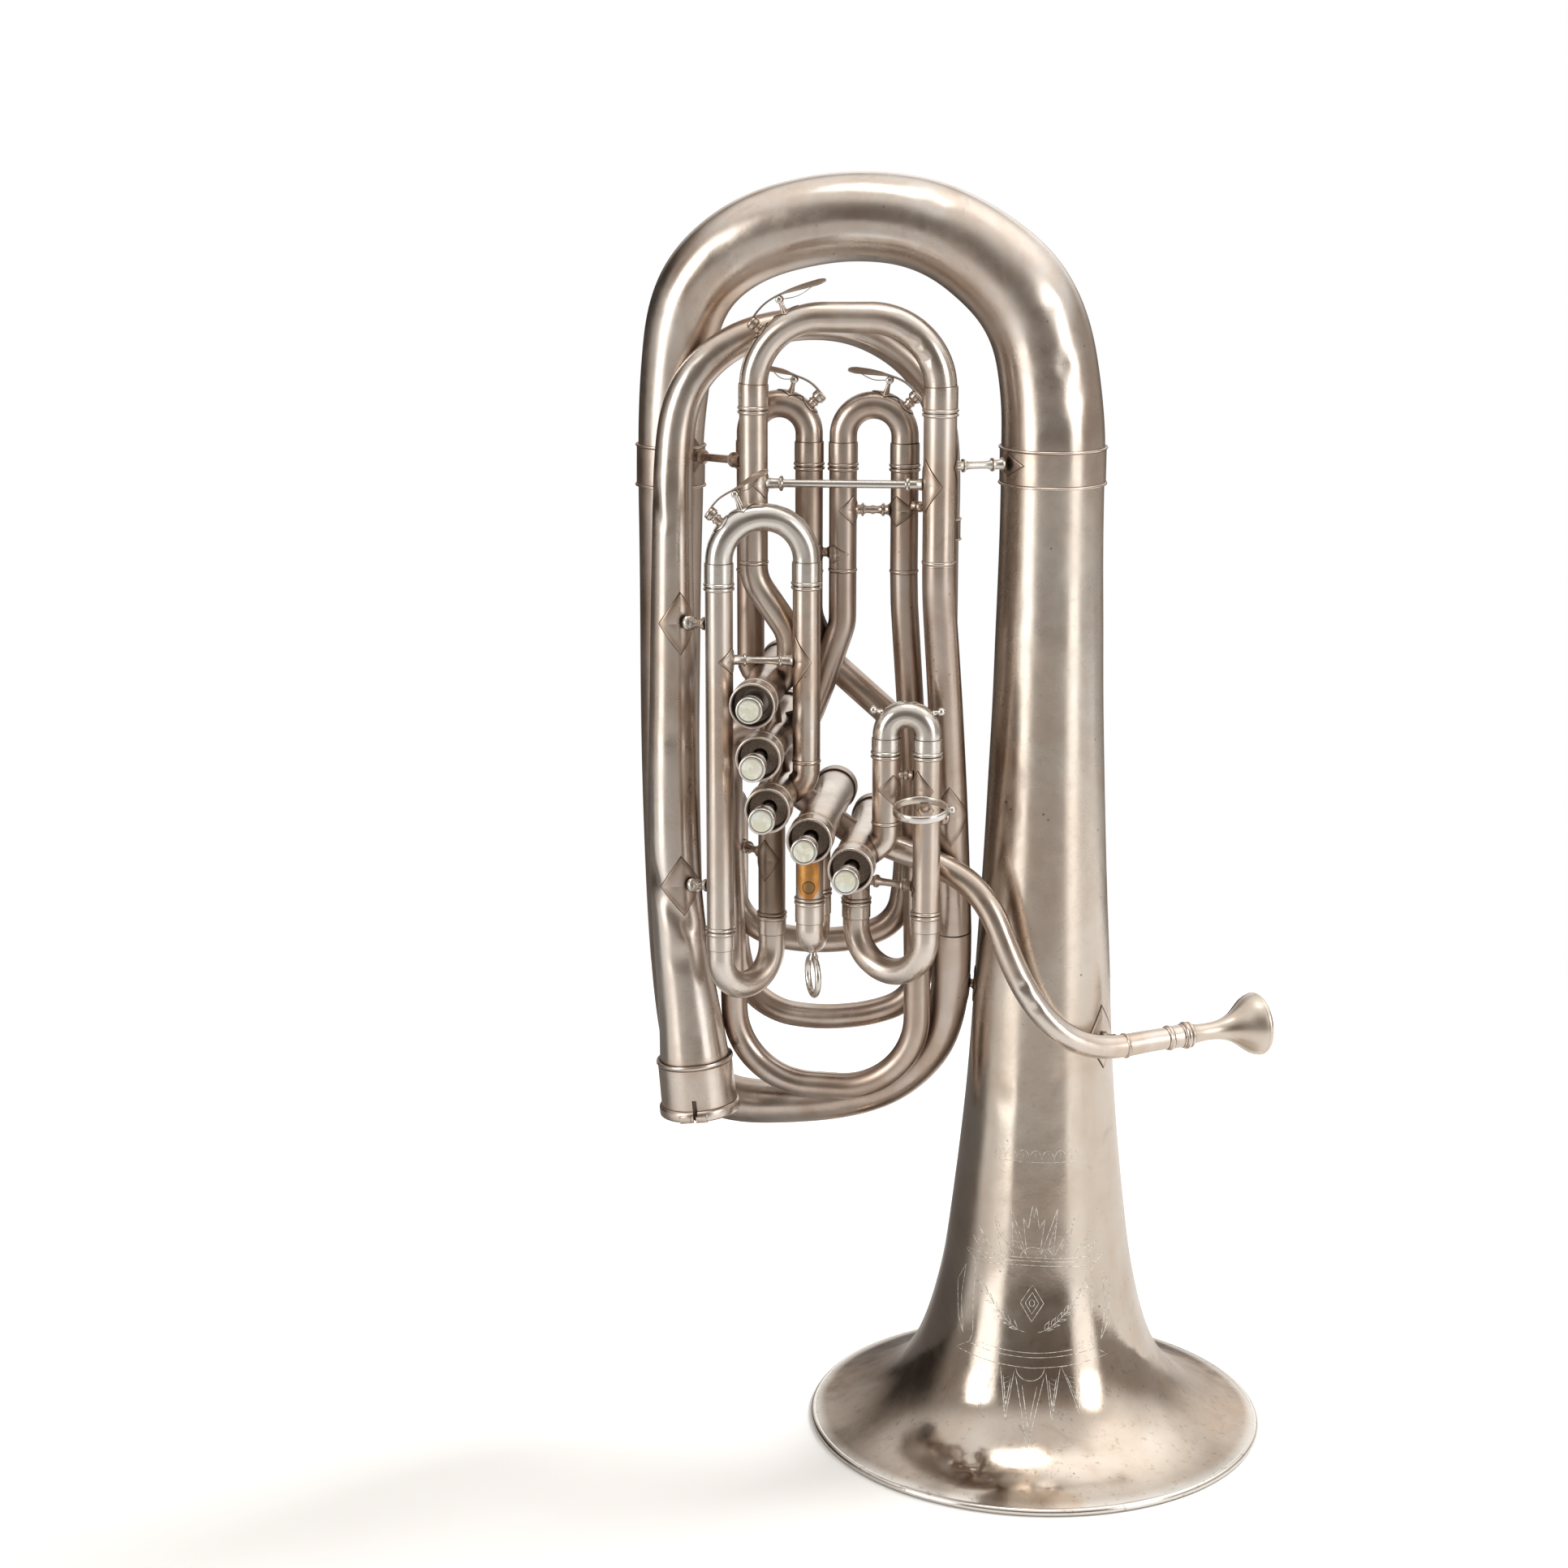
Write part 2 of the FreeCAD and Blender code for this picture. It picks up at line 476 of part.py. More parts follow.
# ---- pistons, pearls, springs ---------------------------------------------------------------
for n in VALVES:
    x, z = g("valve%d_x" % n), g("valve%d_z" % n)
    reach = "dims.button_reach_five" if n == 5 else "dims.button_reach"
    # local height runs from the piston's back end to the finger button
    face = "dims.piston_back - dims.cap_front + " + reach
    pl = frame_at((x, g("piston_back"), z), (0, -1, 0))
    shell = profile_body("piston_%d_shell" % n, [
        (10.3, 0), ("dims.piston_outer", 0), ("dims.piston_outer", "dims.piston_length"), ("dims.stem_r", "dims.piston_length"),
        ("dims.stem_r", face + " - dims.button_h"), (6.4, face + " - dims.button_h"), (7.2, face + " - 5.2"),
        (7.2, face + " - 4.4"), ("dims.button_r", face + " - 3.8"), ("dims.button_r", face + " - 0.6"), (7.3, face),
        ("dims.pearl_r + 0.03", face), ("dims.pearl_r + 0.03", face + " - dims.pearl_h"), (0, face + " - dims.pearl_h"),
        (0, "dims.piston_length - 1.6"), (10.3, "dims.piston_length - 1.6"), (10.3, 9.4), (2.0, 9.4), (2.0, 8.0), (10.3, 8.0)], pl)
    outs, ins = [], []
    for k, (h, ang) in enumerate(((20.0, 15.0), (38.0, 75.0), (57.0, -30.0))):
        d = V(math.cos(math.radians(ang)), 0, math.sin(math.radians(ang)))
        c = V(x, g("piston_back") - h, z)
        outs.append(rod("piston_%d_port_out_%d" % (n, k), tuple(c - d * 10.9), tuple(c + d * 10.9), "dims.port_r + 0.5"))
        ins.append(rod("piston_%d_port_in_%d" % (n, k), tuple(c - d * 14), tuple(c + d * 14), "dims.port_r"))
    barrel = cyl("piston_%d_barrel" % n, (x, g("piston_back") - 8.0, z), (0, -1, 0), "dims.piston_outer - 0.3", "dims.piston_length - 9")
    com = doc.addObject("Part::MultiCommon", "piston_%d_walls" % n)
    com.Shapes = [fuse("piston_%d_tubes" % n, outs), barrel]
    node(cut("piston_%d_ported" % n, fuse("piston_%d_whole" % n, [shell, com]), ins), "piston_%d" % n)
    fy = g("piston_back") - eval_expr(face)
    profile_body("pearl_%d_disc" % n, [(0, 0), ("dims.pearl_r", 0), ("dims.pearl_r", "dims.pearl_h - 0.2"), (6.0, "dims.pearl_h + 0.25"),
                                       (3.4, "dims.pearl_h + 0.45"), (0, "dims.pearl_h + 0.5")],
                 frame_at((x, fy + g("pearl_h") - 0.02, z), (0, -1, 0)), "pearl_%d" % n)
    # the return spring's envelope between the piston's floor and the bottom cap
    profile_body("spring_%d_coil" % n, [("dims.spring_r - dims.spring_wire", 0.3), ("dims.spring_r + dims.spring_wire", 0.3),
                                        ("dims.spring_r + dims.spring_wire", "dims.case_back - dims.piston_back + 7.6"),
                                        ("dims.spring_r - dims.spring_wire", "dims.case_back - dims.piston_back + 7.6")],
                 frame_at((x, g("case_back"), z), (0, -1, 0)), "spring_%d" % n)


# ---- outer slide tubes and loops ------------------------------------------------------------
def tube_node(label, runs, trims=(), beads=(), inner_extra=()):
    """runs: (points, radii, outer radius, bore radius); beads: (point, axis, tube radius)."""
    outs, ins = [], []
    for k, (pts, radii, ro, ri) in enumerate(runs):
        sp = path("%s_%d" % (label, k), pts, radii)
        outs.append(sweep("%s_%d_out" % (label, k), sp, ro))
        ins.append(sweep("%s_%d_in" % (label, k), sp, ri))
    for k, (p, ax, r) in enumerate(beads):
        outs.append(torus("%s_bead_%d" % (label, k), p, ax, r))
    tools = ins + list(inner_extra) + [casing_cutter(n, label) for n in trims]
    return node(cut(label + "_whole", fuse(label + "_outside", outs), tools), label)


SO, SB = "dims.slide_outer", "dims.slide_bore"
my, mid = g("main_y"), g("mid_y")
BR = 1.05  # bead half height, so that a bead's top is level with the tube's end

# main tuning slide: narrow tube from valve 5, wide tube to the right branch
vx5, vz5 = g("valve5_x"), g("valve5_z")
tube_node("main_slide_tubes", [
    ([(g("main_lx"), my, g("main_bead")), (g("main_lx"), my, 531), (-148.4, -36.0, 499), (-148.4, -36.0, vz5), (vx5, -36.0, vz5)],
     [24, 24, 9.5], "dims.main_left", "dims.main_left - dims.wall_tube"),
    ([(g("main_rx"), my, g("main_bead")), (g("main_rx"), my, 541.0)], None, "dims.main_right", "dims.main_right - dims.wall_tube"),
], trims=(5,), beads=[((g("main_lx"), my, g("main_bead") - BR), (0, 0, 1), "dims.main_left"),
                      ((g("main_rx"), my, g("main_bead") - BR), (0, 0, 1), "dims.main_right"),
                      ((g("main_lx"), my, 541), (0, 0, 1), "dims.main_left - 0.4"),
                      ((g("main_rx"), my, 543), (0, 0, 1), "dims.main_right - 0.4")])

# small bell slide: both outer tubes; the right one runs on into the rear loop
tube_node("small_bell_slide_tubes", [
    ([(g("sb_lx"), mid, g("mid_bead")), (g("sb_lx"), mid, 472.5), (vx5, mid, 468.3)], [10.5], SO, SB),
    ([(g("sb_rx"), mid, g("mid_bead")), (g("sb_rx"), mid, 507), (-129.6, 1.6, 475.5), (-96.5, 2.4, 446.2), (-83.2, 2.4, 430),
      (-83.2, 2.4, 402)], [20, 20, 22, 22], SO, SB),
], trims=(5,), beads=[((g("sb_lx"), mid, g("mid_bead") - BR), (0, 0, 1), SO), ((g("sb_rx"), mid, g("mid_bead") - BR), (0, 0, 1), SO),
                      ((g("sb_rx"), mid, 533.4), (0, 0, 1), "dims.slide_outer - 0.4"),
                      ((g("sb_lx"), mid, 533.4), (0, 0, 1), "dims.slide_outer - 0.4")])

# fourth slide: both outer tubes down to valve 4 and to the bottom loop
vx4, vz4 = g("valve4_x"), g("valve4_z")
tube_node("fourth_slide_tubes", [
    ([(g("fo_lx"), mid, g("mid_bead")), (g("fo_lx"), mid, 503), (-132.0, mid, 467), (-141.0, mid, 443.5), (vx4, mid, 439.0)],
     [26, 26, 12], SO, SB),
    ([(g("fo_rx"), mid, g("mid_bead")), (g("fo_rx"), mid, 533.5)], None, SO, SB),
], trims=(4,), beads=[((g("fo_lx"), mid, g("mid_bead") - BR), (0, 0, 1), SO), ((g("fo_rx"), mid, g("mid_bead") - BR), (0, 0, 1), SO),
                      ((g("fo_lx"), mid, 534.6), (0, 0, 1), "dims.slide_outer - 0.4"),
                      ((g("fo_rx"), mid, 534.6), (0, 0, 1), "dims.slide_outer - 0.4")])

# fourth valve's loop: down the right, round the bottom, up the left into valve 4
tube_node("fourth_valve_loop", [
    ([(g("fo_rx"), mid, 533.5), (-83.8, -19.8, 515), (-77.6, -17.0, 420), (-75.6, -15.0, 350), (-74.4, -15.0, 290), (-74.4, -14.0, 214.2),
      (-130, -10.5, 214.2), (-185.6, -7.0, 214.2), (-187.4, -10.5, 310), (-188.6, -13.0, 360), (-188.6, -13.0, vz4), (vx4, -13.0, vz4)],
     [140, 140, 200, 200, 47.5, 900, 47.5, 200, 200, 11], SO, SB),
], trims=(4,))

# small bell's rear loops: inner loop, hidden turn at the left, lower loop and rise to the branch
tube_node("small_bell_lower_loop", [
    ([(-83.2, 2.4, 402), (-83.2, 2.4, 345), (-87.5, 2.2, 317), (-112, 3.0, 304.5), (-140.5, 4.0, 301.2), (-168, 4.0, 304.5),
      (-186.6, 4.0, 318), (-190.0, 4.0, 345), (-190.0, 4.0, 385.5), (-190.0, 22.6, 385.5), (-190.0, 22.6, 290), (-182.5, 21.0, 263.5),
      (-163.0, 17.5, 251.0), (-134, 13.0, 249.6), (-104.7, 10.5, 254.5), (-82.5, 10.0, 263.5), (-71.5, 11.0, 285), (-68.0, 11.0, 330),
      (-64.5, 9.5, 400), (-62.3, 8.0, 460), (-62.3, 8.0, 560)],
     [None, None, None, None, None, None, None, 9.3, 9.3] + [None] * 10, "dims.loop_outer", "dims.loop_bore"),
], beads=[((-190.0, 4.0, 372.5), (0, 0, 1), "dims.loop_outer - 0.3")])

# third valve: long straight tube at the left serves both slides
vx3, vz3 = g("valve3_x"), g("valve3_z")
tube_node("third_valve_tubes", [
    ([(g("th_lx"), g("th_ly"), g("th_bead")), (g("th_lx"), g("th_ly"), g("tl_bead"))], None, SO, SB),
    ([(g("th_rx"), g("th_ry"), g("th_bead")), (g("th_rx"), g("th_ry"), 410.5), (vx3, g("th_ry"), 409.5)], [11], SO, SB),
    ([(g("tl_x"), g("tl_y"), g("tl_rbead")), (g("tl_x"), g("tl_y"), vz3)], None, SO, SB),
], trims=(3,), beads=[((g("th_lx"), g("th_ly"), g("th_bead") - BR), (0, 0, 1), SO), ((g("th_rx"), g("th_ry"), g("th_bead") - BR), (0, 0, 1), SO),
                      ((g("th_lx"), g("th_ly"), g("tl_bead") + BR), (0, 0, 1), SO), ((g("tl_x"), g("tl_y"), g("tl_rbead") + BR), (0, 0, 1), SO),
                      ((g("th_rx"), g("th_ry"), 426.5), (0, 0, 1), "dims.slide_outer - 0.4")])

# second valve: two short tubes straight down
vx2, vz2 = g("valve2_x"), g("valve2_z")
tube_node("second_valve_tubes", [
    ([(g("se_fx"), g("se_fy"), g("se_bead")), (g("se_fx"), g("se_fy"), vz2)], None, SO, SB),
    ([(g("se_rx"), g("se_ry"), g("se_bead")), (g("se_rx"), g("se_ry"), vz2)], None, SO, SB),
], trims=(2,), beads=[((g("se_fx"), g("se_fy"), g("se_bead") + BR), (0, 0, 1), SO), ((g("se_rx"), g("se_ry"), g("se_bead") + BR), (0, 0, 1), SO)])

# first valve: elbow from the upper slide, long right tube, short tube below the casing
vx1, vz1 = g("valve1_x"), g("valve1_z")
tube_node("first_valve_tubes", [
    ([(g("fi_lx"), g("fi_y"), g("fi_bead")), (g("fi_lx"), g("fi_y"), 379), (vx1, g("fi_y"), 376.5)], [10], SO, SB),
    ([(g("fi_rx"), g("fi_y"), g("fi_bead")), (g("fi_rx"), g("fi_y"), g("fl_bead"))], None, SO, SB),
    ([(g("fl_x"), g("fl_y"), g("fl_bead")), (g("fl_x"), g("fl_y"), vz1)], None, SO, SB),
], trims=(1,), beads=[((g("fi_lx"), g("fi_y"), g("fi_bead") - BR), (0, 0, 1), SO), ((g("fi_rx"), g("fi_y"), g("fi_bead") - BR), (0, 0, 1), SO),
                      ((g("fi_rx"), g("fi_y"), g("fl_bead") + BR), (0, 0, 1), SO), ((g("fl_x"), g("fl_y"), g("fl_bead") + BR), (0, 0, 1), SO),
                      ((g("fi_lx"), g("fi_y"), 393.2), (0, 0, 1), "dims.slide_outer - 0.4")])


# ---- pull slides ----------------------------------------------------------------------------
def slide_node(label, p1, p2, bead1, bead2, turn_z, corner, in1, in2, up=1, extras=(), wide=None, sleeve=(14.0, 14.0)):
    """U-shaped bow with two sleeves and two inner legs. up is +1 for a slide that leaves upwards."""
    x1, y1 = p1
    x2, y2 = p2
    gap = 0.3
    b1, b2 = bead1 + up * gap, bead2 + up * gap
    legs = [(x1, y1, b1 - up * in1), (x1, y1, turn_z), (x2, y2, turn_z), (x2, y2, b2 - up * in2)]
    bow = [(x1, y1, b1), (x1, y1, turn_z), (x2, y2, turn_z), (x2, y2, b2)]
    lp = path(label + "_legs", legs, [corner, corner])
    bp = path(label + "_bow", bow, [corner, corner])
    outs = [sweep(label + "_legs_out", lp, "dims.leg_outer"), sweep(label + "_bow_out", bp, "dims.slide_outer - 0.1")]
    for k, (x, y, b, ln) in enumerate(((x1, y1, b1, sleeve[0]), (x2, y2, b2, sleeve[1]))):
        outs.append(cyl("%s_sleeve_%d" % (label, k), (x, y, b), (0, 0, up), "dims.sleeve_outer", ln))
        outs.append(torus("%s_ring_%d" % (label, k), (x, y, b + up * (BR + 0.02)), (0, 0, 1), "dims.sleeve_outer - 0.5"))
    outs += list(extras)
    return node(cut(label + "_whole", fuse(label + "_outside", outs), sweep(label + "_bore", lp, "dims.leg_bore")), label)


def knob(name, p, t, r):
    s = doc.addObject("Part::Sphere", name)
    s.Radius = r
    s.Placement = frame_at(p, t)
    return s


# water key layout: pad centre, pivot centre, lever tip, bow point under the pivot and under the pad (x, z), plane y
KEYS = {
    "main": dict(pad=(-169.3, 677.4), piv=(-154.6, 691.6), tip=(-128.1, 702.4), sad=(-150.6, 680.6), noz=(-160.6, 669.6), y=-38.0),
    "small_bell": dict(pad=(-134.6, 634.6), piv=(-148.4, 644.6), tip=(-165.6, 650.6), sad=(-152.0, 632.0), noz=(-142.4, 627.0), y=-20.0),
    "fourth": dict(pad=(-78.9, 635.0), piv=(-93.2, 645.0), tip=(-117.4, 650.4), sad=(-97.0, 632.0), noz=(-86.6, 627.0), y=-20.0),
    "third": dict(pad=(-190.9, 571.0), piv=(-177.2, 583.4), tip=(-158.4, 596.6), sad=(-172.6, 571.0), noz=(-182.4, 563.4), y=-58.6),
}


def key_seat(k):
    """Fixed half of a water key on its bow: forked saddle and drain nozzle."""
    q = KEYS[k]
    y = q["y"]
    px, pz = q["piv"]
    sx, sz = q["sad"]
    d = V(px - sx, 0, pz - sz).normalize()
    out = []
    for s in (-1, 1):
        off = s * (g("key_w") / 2 - 0.4)
        a = V(sx, y + off * 0.95, sz)
        b = V(px, y + off, pz) + d * 1.2
        out.append(rod("%s_fork_%d" % (k, s + 1), tuple(a), tuple(b), "0.9"))
    # hinge pin through both fork arms
    out.append(rod("%s_pin" % k, (px, y - g("key_w") / 2 - 0.4, pz), (px, y + g("key_w") / 2 + 0.4, pz), "0.8"))
    ax, az = q["pad"]
    nx, nz = q["noz"]
    e = V(ax - nx, 0, az - nz)
    ln = e.Length
    e.normalize()
    out.append(cyl("%s_nozzle" % k, (nx, y, nz), tuple(e), "2.6", ln - 2.4))
    return out


R_main = 40.0
# the main slide's bow widens from the narrow leg to the wide leg, so it is a loft between two straight sleeves
mb = g("main_bead") + 0.3
bow_pts = []
xl, xr, top = g("main_lx"), g("main_rx"), g("main_top")
straight_z = top - R_main
for k in range(0, 7):
    a = math.pi - k * (math.pi / 2) / 6
    bow_pts.append((xl + R_main + R_main * math.cos(a), my, straight_z + R_main * math.sin(a), 8.2))
for k in range(0, 7):
    a = math.pi / 2 - k * (math.pi / 2) / 6
    bow_pts.append((xr - R_main + R_main * math.cos(a), my, straight_z + R_main * math.sin(a), 9.4))
for i, p in enumerate(bow_pts):
    f = i / (len(bow_pts) - 1.0)
    bow_pts[i] = (p[0], p[1], p[2], 8.15 + 1.25 * f)


def main_bow_sections(tag, expr_off):
    secs = []
    for i, p in enumerate(bow_pts):
        a = bow_pts[max(i - 1, 0)]
        b = bow_pts[min(i + 1, len(bow_pts) - 1)]
        t = V(b[0] - a[0], 0, b[2] - a[2])
        if i == 0:
            t = V(0, 0, 1)
        if i == len(bow_pts) - 1:
            t = V(0, 0, -1)
        c = doc.addObject("Part::Circle", "main_slide_bow_%s_%d" % (tag, i))
        c.setExpression("Radius", "%.3f%s" % (p[3], expr_off))
        c.Placement = section_at(p[:3], t)
        secs.append(c)
    lo = doc.addObject("Part::Loft", "main_slide_bow_" + tag)
    lo.Sections = secs
    lo.Solid = True
    return lo


q = KEYS["main"]
ms_outs = [main_bow_sections("out", ""),
           cyl("main_slide_neck_l", (xl, my, mb), (0, 0, 1), "8.15", straight_z - mb),
           cyl("main_slide_neck_r", (xr, my, mb), (0, 0, 1), "9.4", straight_z - mb),
           cyl("main_slide_sleeve_l", (xl, my, mb), (0, 0, 1), "dims.main_left + 0.45", 14.6),
           cyl("main_slide_sleeve_r", (xr, my, mb), (0, 0, 1), "dims.main_right + 0.45", 14.6),
           torus("main_slide_ring_l", (xl, my, mb + BR + 0.02), (0, 0, 1), "dims.main_left"),
           torus("main_slide_ring_r", (xr, my, mb + BR + 0.02), (0, 0, 1), "dims.main_right"),
           cyl("main_slide_leg_l", (xl, my, mb - 62), (0, 0, 1), "dims.main_left - dims.wall_tube - 0.06", 63.0),
           cyl("main_slide_leg_r", (xr, my, mb - 62), (0, 0, 1), "dims.main_right - dims.wall_tube - 0.06", 63.0)] + key_seat("main")
ms_ins = [main_bow_sections("in", " - dims.wall_tube - 0.5"),
          cyl("main_slide_bore_l", (xl, my, mb - 63), (0, 0, 1), "dims.main_left - 2*dims.wall_tube - 0.06", straight_z - mb + 63.5),
          cyl("main_slide_bore_r", (xr, my, mb - 63), (0, 0, 1), "dims.main_right - 2*dims.wall_tube - 0.06", straight_z - mb + 63.5)]
node(cut("main_slide_whole", fuse("main_slide_outside", ms_outs), ms_ins), "main_slide")

slide_node("small_bell_slide", (g("sb_lx"), mid), (g("sb_rx"), mid), g("mid_bead"), g("mid_bead"), g("mid_top"), 17.2, 50, 50, 1,
           key_seat("small_bell"))
slide_node("fourth_slide", (g("fo_lx"), mid), (g("fo_rx"), mid), g("mid_bead"), g("mid_bead"), g("mid_top"), 17.9, 50, 50, 1,
           key_seat("fourth"))
r_th = 0.5 * math.hypot(g("th_rx") - g("th_lx"), g("th_ry") - g("th_ly"))
slide_node("third_upper_slide", (g("th_lx"), g("th_ly")), (g("th_rx"), g("th_ry")), g("th_bead"), g("th_bead"), g("th_top"), r_th - 0.01,
           55, 55, 1, key_seat("third"), sleeve=(13.5, 13.5))
r_tl = 0.5 * math.hypot(g("tl_x") - g("th_lx"), g("tl_y") - g("th_ly"))
slide_node("third_lower_slide", (g("th_lx"), g("th_ly")), (g("tl_x"), g("tl_y")), g("tl_bead"), g("tl_rbead"), g("tl_bottom"), r_tl - 0.01,
           50, 50, -1, sleeve=(11.0, 11.0))
r_se = 0.5 * math.hypot(g("se_rx") - g("se_fx"), g("se_ry") - g("se_fy"))
pull = torus("second_slide_pull", ((g("se_fx") + g("se_rx")) / 2, (g("se_fy") + g("se_ry")) / 2, 297.6), (1, 0.42, 0), "11.6", "1.45")
post = rod("second_slide_post", ((g("se_fx") + g("se_rx")) / 2, (g("se_fy") + g("se_ry")) / 2, 316.0),
           ((g("se_fx") + g("se_rx")) / 2, (g("se_fy") + g("se_ry")) / 2, 308.6), "2.2")
slide_node("second_slide", (g("se_fx"), g("se_fy")), (g("se_rx"), g("se_ry")), g("se_bead"), g("se_bead"), g("se_bottom"), r_se - 0.01,
           24, 24, -1, [pull, post], sleeve=(13.0, 13.0))
fk = [knob("first_knob_l", (-97.6, g("fi_y"), 459.6), (0, 0, 1), 2.3), rod("first_knob_post_l", (-86, g("fi_y"), 457.0), (-97.6, g("fi_y"), 459.6), "1.2"),
      knob("first_knob_r", (-58.4, g("fi_y"), 459.6), (0, 0, 1), 2.3), rod("first_knob_post_r", (-70, g("fi_y"), 457.0), (-58.4, g("fi_y"), 459.6), "1.2")]
slide_node("first_upper_slide", (g("fi_lx"), g("fi_y")), (g("fi_rx"), g("fi_y")), g("fi_bead"), g("fi_bead"), g("fi_top"), 11.94,
           34, 34, 1, fk, sleeve=(9.6, 9.6))
r_fl = 0.5 * math.hypot(g("fi_rx") - g("fl_x"), g("fi_y") - g("fl_y"))
slide_node("first_lower_slide", (g("fl_x"), g("fl_y")), (g("fi_rx"), g("fi_y")), g("fl_bead"), g("fl_bead"), g("fl_bottom"), r_fl - 0.01,
           19, 40, -1, sleeve=(10.0, 10.0))

# ---- water keys -----------------------------------------------------------------------------
for k, q in KEYS.items():
    y = q["y"]
    ax, az = q["pad"]
    px, pz = q["piv"]
    tx, tz = q["tip"]
    nx, nz = q["noz"]
    e = V(ax - nx, 0, az - nz).normalize()      # outwards through the pad
    w = g("key_w")
    # curved spring lever: cup over the pad, arm through the fork, broad finger leaf
    arm_pts = [V(ax, 0, az) + e * 1.9, V((ax + px) / 2, 0, (az + pz) / 2) + e * 3.3, V(px, 0, pz) + e * 1.4,
               V((px + tx) / 2, 0, (pz + tz) / 2) + e * 1.0, V(tx, 0, tz)]
    bs = Part.BSplineCurve()
    bs.interpolate(arm_pts)
    lower, upper = [], []
    for i in range(13):
        u = bs.FirstParameter + (bs.LastParameter - bs.FirstParameter) * i / 12.0
        p, t = bs.value(u), bs.tangent(u)[0]
        nrm = V(-t.z, 0, t.x)
        if nrm.dot(e) < 0:
            nrm = nrm * -1
        lower.append(p)
        upper.append(p + nrm * 1.1)
    lo_c, up_c = Part.BSplineCurve(), Part.BSplineCurve()
    lo_c.interpolate(lower)
    up_c.interpolate(upper)
    side = Part.Face(Part.Wire(Part.__sortEdges__([lo_c.toShape(), Part.LineSegment(lower[-1], upper[-1]).toShape(), up_c.toShape(),
                                                   Part.LineSegment(upper[0], lower[0]).toShape()])))
    half = w / 2 - 1.6
    side.translate(V(0, y - half, 0))
    arm = doc.addObject("Part::Feature", "%s_key_arm" % k)
    arm.Shape = side.extrude(V(0, 2 * half, 0))
    lug = cyl("%s_key_lug" % k, (px, y - half, pz), (0, 1, 0), "1.9", 2 * half)
    cup = cyl("%s_key_cup" % k, tuple(V(ax, y, az) + e * 0.2), tuple(e), "3.9", 2.2)
    recess = cyl("%s_key_recess" % k, tuple(V(ax, y, az) + e * -0.2), tuple(e), "3.3", 1.6)
    pinhole = cyl("%s_key_pinhole" % k, (px, y - 5, pz), (0, 1, 0), "0.86", 10)
    node(cut("%s_key_whole" % k, fuse("%s_key_parts" % k, [arm, lug, cup]), [recess, pinhole]), "%s_water_key" % k)
    cork = cyl("%s_cork" % k, tuple(V(ax, y, az) + e * -1.9), tuple(e), "3.2", 3.2)
    node(cork, "%s_key_cork" % k)

# ---- mouthpipe, receiver, mouthpiece ---------------------------------------------------------
MOUTHPIPE = [(-106.1, -30, 376.8, 7.9), (-92.0, -31.5, 373.0, 7.9), (-79.3, -34, 369.2, 7.9), (-58.3, -38, 362.1, 7.85), (-41.1, -42.5, 352.7, 7.8),
             (-30.1, -46, 340.4, 7.7), (-20.6, -49.5, 320.9, 7.6), (-11.1, -52, 300.0, 7.5), (0.3, -53, 281.9, 7.4), (13.8, -50.5, 267.3, 7.3),
             (30.4, -42.8, 257.4, 7.1), (48.7, -31.0, 253.7, 6.9), (62.0, -23.0, 254.2, 6.7), (75.8, -15.0, 254.6, 6.5)]
MP0 = V(75.8, -15.0, 254.6)
MPD = V(52.4, 30.0, 1.6).normalize()  # axis of receiver and mouthpiece
mo, mi = taper("mouthpipe", MOUTHPIPE, 28, "wall_tube", (None, tuple(MPD)))
node(cut("mouthpipe_tube", mo, [mi, casing_cutter(1, "mouthpipe")]), "mouthpipe")
rp = frame_at(tuple(MP0), tuple(MPD))
profile_body("receiver", [(6.0, 0), (7.0, 0), (7.6, 0.5), (7.6, 1.9), ("dims.receiver_outer", 2.4), ("dims.receiver_outer", 12.0), (7.7, 12.6),
                          (7.7, 14.4), ("dims.receiver_outer + 0.1", 15.0), (7.3, 15.2), (7.3, 16.0), ("dims.receiver_bore", 16.0), (5.85, 0)], rp,
             "mouthpiece_receiver")
# mouthpiece: tapered shank in the receiver, neck, bowl-shaped cup and rounded rim
MOUTH = [(4.3, 0.6), ("dims.shank_tip + 0.42", 0.6), (6.14, 16.0), (5.35, 22), (5.15, 27), (5.6, 31), (6.9, 35), (9.2, 39), (11.8, 43), (13.6, 47),
         (14.9, 51), (16.6, 55), (18.1, 57.6), (18.85, 59.2), ("dims.cup_rim", 60.8), (18.5, 62.3), (17.3, 63.1), (15.6, 63.2), (13.6, 62.0),
         (12.8, 60.0), (12.3, 56), (11.4, 51.5), (9.6, 46.5), (7.2, 42), (4.6, 38.0), (3.3, 35), (3.1, 32), (3.4, 25)]
profile_body("mouthpiece_turned", MOUTH, rp, "mouthpiece")

# ---- socket of the missing small bell --------------------------------------------------------
S0 = V(-208.4, -25.0, 230.6)
sp = frame_at(tuple(S0 - SD * 4.0), tuple(SD))
sock = profile_body("socket_turned", [("dims.socket_bore - 1.04", 0), ("dims.socket_outer", 0), (23.4, 0.6), (23.4, 2.2), ("dims.socket_outer", 2.8),
                                      ("dims.socket_outer + 0.5", "dims.socket_length - 6.4"), (24.2, "dims.socket_length - 5.6"),
                                      (24.5, "dims.socket_length - 4.6"), (24.5, "dims.socket_length - 0.8"), (24.0, "dims.socket_length"),
                                      (22.2, "dims.socket_length"), ("dims.socket_bore", "dims.socket_length - 1.0"), ("dims.socket_bore", 4),
                                      ("dims.socket_bore - 1.04", 4)], sp)
